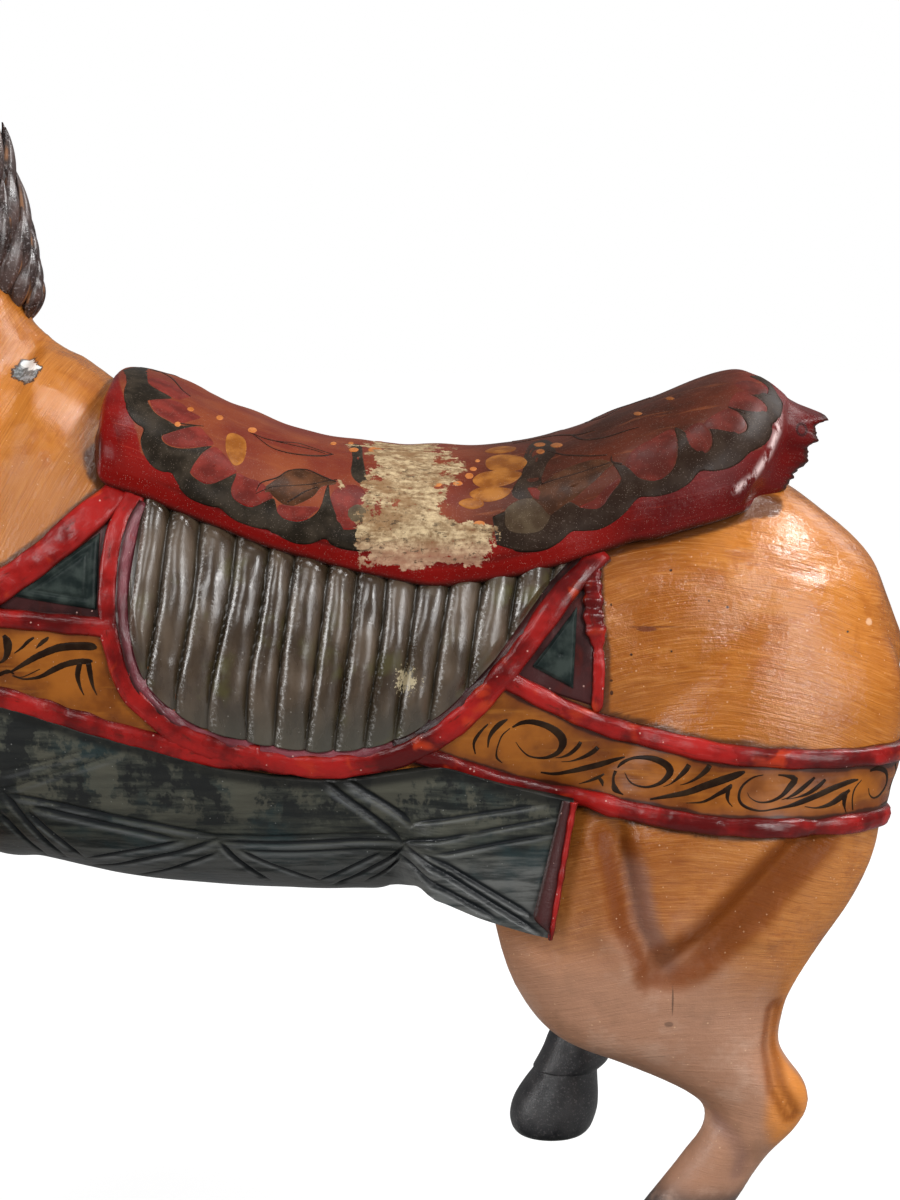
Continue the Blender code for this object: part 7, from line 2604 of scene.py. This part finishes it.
@dataclass
class CarouselHorse:
    """All pieces of the horse, built in order from the skin outward."""

    front_panel: tuple = ((-0.0905, 0.6245), (-0.0927, 0.5772), (-0.1462, 0.5855))
    rear_panel: tuple = ((0.2100, 0.5780), (0.2075, 0.5275), (0.1818, 0.5415))
    # Dark beds under the panels: painted shade for the recesses round them
    front_shade_bed: tuple = ((-0.0705, 0.6520), (-0.0850, 0.5660), (-0.1590, 0.5780))
    rear_shade_bed: tuple = ((0.2205, 0.6060), (0.2225, 0.5150), (0.1670, 0.5345))
    # Each ridge: knots, half breadth, height, roughness, taper
    front_ridges: tuple = (
        (((-0.076, 0.652), (-0.1002, 0.632), (-0.1215, 0.6135), (-0.1403, 0.5995), (-0.172, 0.58)),
         0.0102, 0.0066, 0.0, 1.0),
    )  # fmt: skip
    rear_ridges: tuple = (
        (((0.2196, 0.609), (0.2202, 0.5839), (0.2205, 0.57),
          (0.223, 0.556), (0.2238, 0.535), (0.2225, 0.512)),
         0.007, 0.0066, 0.2, 0.6),
    )  # fmt: skip
    hooves: tuple = (
        ("hoof_near_hind", (0.2145, -0.069, 0.0452), 0.0),
        ("hoof_far_hind", (0.2045, 0.069, 0.1728), 0.0),
        ("hoof_near_fore", (-0.362, -0.070, 0.150), 14.0),
        ("hoof_far_fore", (-0.318, 0.070, 0.0452), 0.0),
    )
    tail: tuple = (
        (0.372, 0, 0.6, 0.03, 0.022), (0.384, 0, 0.555, 0.03, 0.03), (0.384, 0, 0.48, 0.028, 0.034),
        (0.372, 0, 0.41, 0.026, 0.03), (0.35, 0, 0.355, 0.02, 0.022), (0.334, 0, 0.325, 0.008, 0.01),
    )  # fmt: skip
    forelock: tuple = (
        (-0.318, 0, 0.975, 0.012, 0.018), (-0.35, 0, 0.972, 0.013, 0.02),
        (-0.384, 0, 0.935, 0.011, 0.015), (-0.402, 0, 0.9, 0.004, 0.005),
    )  # fmt: skip

    def __post_init__(self) -> None:
        """Make the finishes the pieces share."""
        self.varnish = OchreVarnish("brushed_varnish", Slot.OCHRE)
        self.crimson = Crimson("crimson_gloss", Slot.CRIMSON)
        # The bevel's whitish rub is mostly a painted highlight, and the maroon's pink rub a painted sheen
        self.mauve = Crimson(
            "mauve_bevel", Slot.CRIMSON, (0.230, 0.050, 0.065), (0.110, 0.020, 0.026),
            (0.340, 0.030, 0.026), (0.620, 0.450, 0.470), 0.75,
        )  # fmt: skip
        self.maroon = Crimson(
            "maroon_seam", Slot.CRIMSON, (0.060, 0.016, 0.016), (0.024, 0.009, 0.009),
            (0.110, 0.014, 0.010), (0.200, 0.060, 0.060), 0.3,
        )  # fmt: skip
        self.seat = SeatPaint("seat_ground", Slot.SADDLE)
        self.bronze = BronzePaint("bronze_ribs", Slot.BRONZE)
        self.strip = StripOchre("strip_ochre", Slot.OCHRE)
        self.slate = SlatePaint("slate_cloth", Slot.SLATE)
        self.black = BlackGloss("black_hair", Slot.BLACK)
        self.hoof = BlackGloss(
            "charcoal_hoof", Slot.BLACK, (0.018, 0.018, 0.021), (0.052, 0.050, 0.052), 0.25, 0.36
        )
        self.seat_paints = {
            "scalloped_band": ((0.014, 0.010, 0.006), (0.036, 0.026, 0.017)),
            "red_petals": ((0.110, 0.016, 0.012), (0.200, 0.028, 0.020)),
            "leaves": ((0.045, 0.018, 0.008), (0.110, 0.040, 0.016)),
            "grey_spots": ((0.060, 0.040, 0.022), (0.110, 0.080, 0.045)),
            "ochre_petals": ((0.230, 0.070, 0.010), (0.420, 0.160, 0.030)),
            "orange_dots": ((0.380, 0.110, 0.020), (0.560, 0.200, 0.060)),
            "veins": ((0.012, 0.006, 0.004), (0.030, 0.016, 0.010)),
        }
        self.ink = BrushPaint("black_scroll", Slot.BLACK)
        self.teal = BrushPaint("teal_panel", Slot.SLATE, (0.010, 0.016, 0.015), (0.040, 0.052, 0.046))

    def build(self) -> None:
        """Build every piece."""
        flesh = Flesh()
        body = flesh.grown()
        girdle = Girdle(body)
        saddle = Saddle(girdle)
        self.paint_trapping_shade(body, saddle)
        finish_piece(body, self.varnish)
        finish_piece(new_object("saddle", saddle.shape()), self.seat)
        for key, shape in SeatOrnament().shapes(saddle).items():
            paint = BrushPaint("seat_" + key, Slot.SADDLE, *self.seat_paints[key], True)
            finish_piece(new_object("seat_" + key, shape), paint)
        self.build_skirts(girdle, saddle)
        self.build_bands(girdle)
        self.build_blanket(flesh, body, girdle)
        self.build_extremities(flesh, girdle)

    def paint_trapping_shade(self, body: bpy.types.Object, saddle: Saddle) -> None:
        """Store how near the skin lies to the foot of a ridge or of the saddle, as painted shade there.

        Args:
            body: The skin.
            saddle: The saddle on it.
        """
        spots = points_of(body.data)
        x, y, z = spots.T
        trap = Trapping(saddle.girdle)
        edge = np.array(saddle.rows)[:, 2:4]
        # Painted shade: the skin darkens within a few millimetres of each ridge's foot and the saddle's foot
        trapping_shade = 0 * x
        for path, half in (
            (edge + (0.0, 0.004), 0.0070),
            (self.front_ridges[0][0], 0.0105),
            (self.rear_ridges[0][0], 0.0060),
            (trap.front_top, 0.0070),
            (trap.front_foot, 0.0105),
            (trap.rear_top, 0.0070),
            (trap.rear_foot, 0.0070),
        ):
            gap = distance_to_path(x, z, np.array(path)) - half
            trapping_shade = np.maximum(trapping_shade, ease(gap, 0.0045, 0.0))
        trapping_shade *= ease(np.abs(y), 0.04, 0.06) * ease(x, 0.37, 0.34)
        store(body.data, "trapping_shade", trapping_shade)

    def build_skirts(self, girdle: Girdle, saddle: Saddle) -> None:
        """Ribbed cloths, their borders and the corner panels of both sides."""
        for side in (NEAR, FAR):
            skirt = Skirt(girdle, saddle, side)
            border, bevel, rear_bevel = skirt.border_shapes()
            for name, shape, finish in (
                ("skirt", skirt.cloth(), self.bronze),
                ("skirt_border", border, self.crimson),
                ("skirt_bevel", bevel, self.mauve),
                ("skirt_rear_bevel", rear_bevel, self.maroon),
            ):
                finish_piece(new_object(f"{name}_{skirt.suffix}", shape), finish)
            for name, corners, shade_bed, ridges, inset in (
                ("front", self.front_panel, self.front_shade_bed, self.front_ridges, 0.62),
                ("rear", self.rear_panel, self.rear_shade_bed, self.rear_ridges, 0.0),
            ):
                panel = CornerPanel(girdle, side, corners, shade_bed, ridges, inset)
                finish_piece(new_object(f"{name}_panel_{skirt.suffix}", panel.panel()), self.teal)
                finish_piece(new_object(f"{name}_panel_shade_bed_{skirt.suffix}", panel.shade_bed()), self.maroon)
                finish_piece(new_object(f"{name}_panel_ridges_{skirt.suffix}", panel.frame()), self.crimson)

    def build_bands(self, girdle: Girdle) -> None:
        """The breast band and the rump band with their ridges."""
        trap = Trapping(girdle)
        for name, top, foot, ends, middle, half in (
            ("breast", trap.front_top, trap.front_foot, trap.front_ends, girdle.start, 0.0095),
            ("rump", trap.rear_top, trap.rear_foot, trap.rear_ends, girdle.end, trap.ridge_half),
        ):
            paths = [trap.round_end(knots, end, middle) for knots, end in zip((top, foot), ends)]
            strip, upper, lower = trap.band(*paths, 80, half)
            finish_piece(new_object(f"{name}_band_strip", strip), self.strip)
            finish_piece(new_object(f"{name}_band_upper_ridge", upper), self.crimson)
            finish_piece(new_object(f"{name}_band_lower_ridge", lower), self.crimson)
        ornament = BandOrnament()
        for name in ("breast_leaves", "rump_scrolls"):
            table = getattr(ornament, name)
            both = joined([strokes(trap.on_strip(side), table) for side in (NEAR, FAR)])
            finish_piece(new_object(name, both), self.ink)

    def build_blanket(self, flesh: Flesh, body: bpy.types.Object, girdle: Girdle) -> None:
        """The cloth of each side with its rear hem."""
        for side, suffix in ((NEAR, "near"), (FAR, "far")):
            blanket = Blanket(flesh, body, girdle, side)
            finish_piece(new_object(f"blanket_{suffix}", blanket.shape()), self.slate)
            bevel, rim = blanket.hem()
            finish_piece(new_object(f"blanket_bevel_{suffix}", bevel), self.maroon)
            finish_piece(new_object(f"blanket_rim_{suffix}", rim), self.crimson)

    def build_extremities(self, flesh: Flesh, girdle: Girdle) -> None:
        """Mane, forelock, tail, hooves, ears and eyes."""
        mane = Mane(flesh)
        finish_piece(new_object("mane", mane.shape()), self.black)
        finish_piece(new_object("forelock", mane.lock(self.forelock, 6)), self.black)
        finish_piece(new_object("tail", mane.lock(self.tail, 9)), self.black)
        for name, middle, lean in self.hooves:
            finish_piece(new_object(name, Hoof(name, middle, lean).shape()), self.hoof)
        head = Head(girdle)
        finish_piece(new_object("ears", head.ears()), self.varnish)
        finish_piece(new_object("eyes", head.eyes()), self.black)


def main() -> None:
    """Build the horse, dress the base and set up the studio."""
    logging.basicConfig(level=logging.INFO, format="%(name)s: %(message)s")
    CarouselHorse().build()
    plank = PlankPaint("worn_plank", Slot.BASE).material()
    for slot in bpy.data.objects["base"].material_slots:
        slot.material = plank
    studio = Studio()
    studio.camera()
    studio.light()
    studio.floor()


if __name__ == "__main__":
    main()
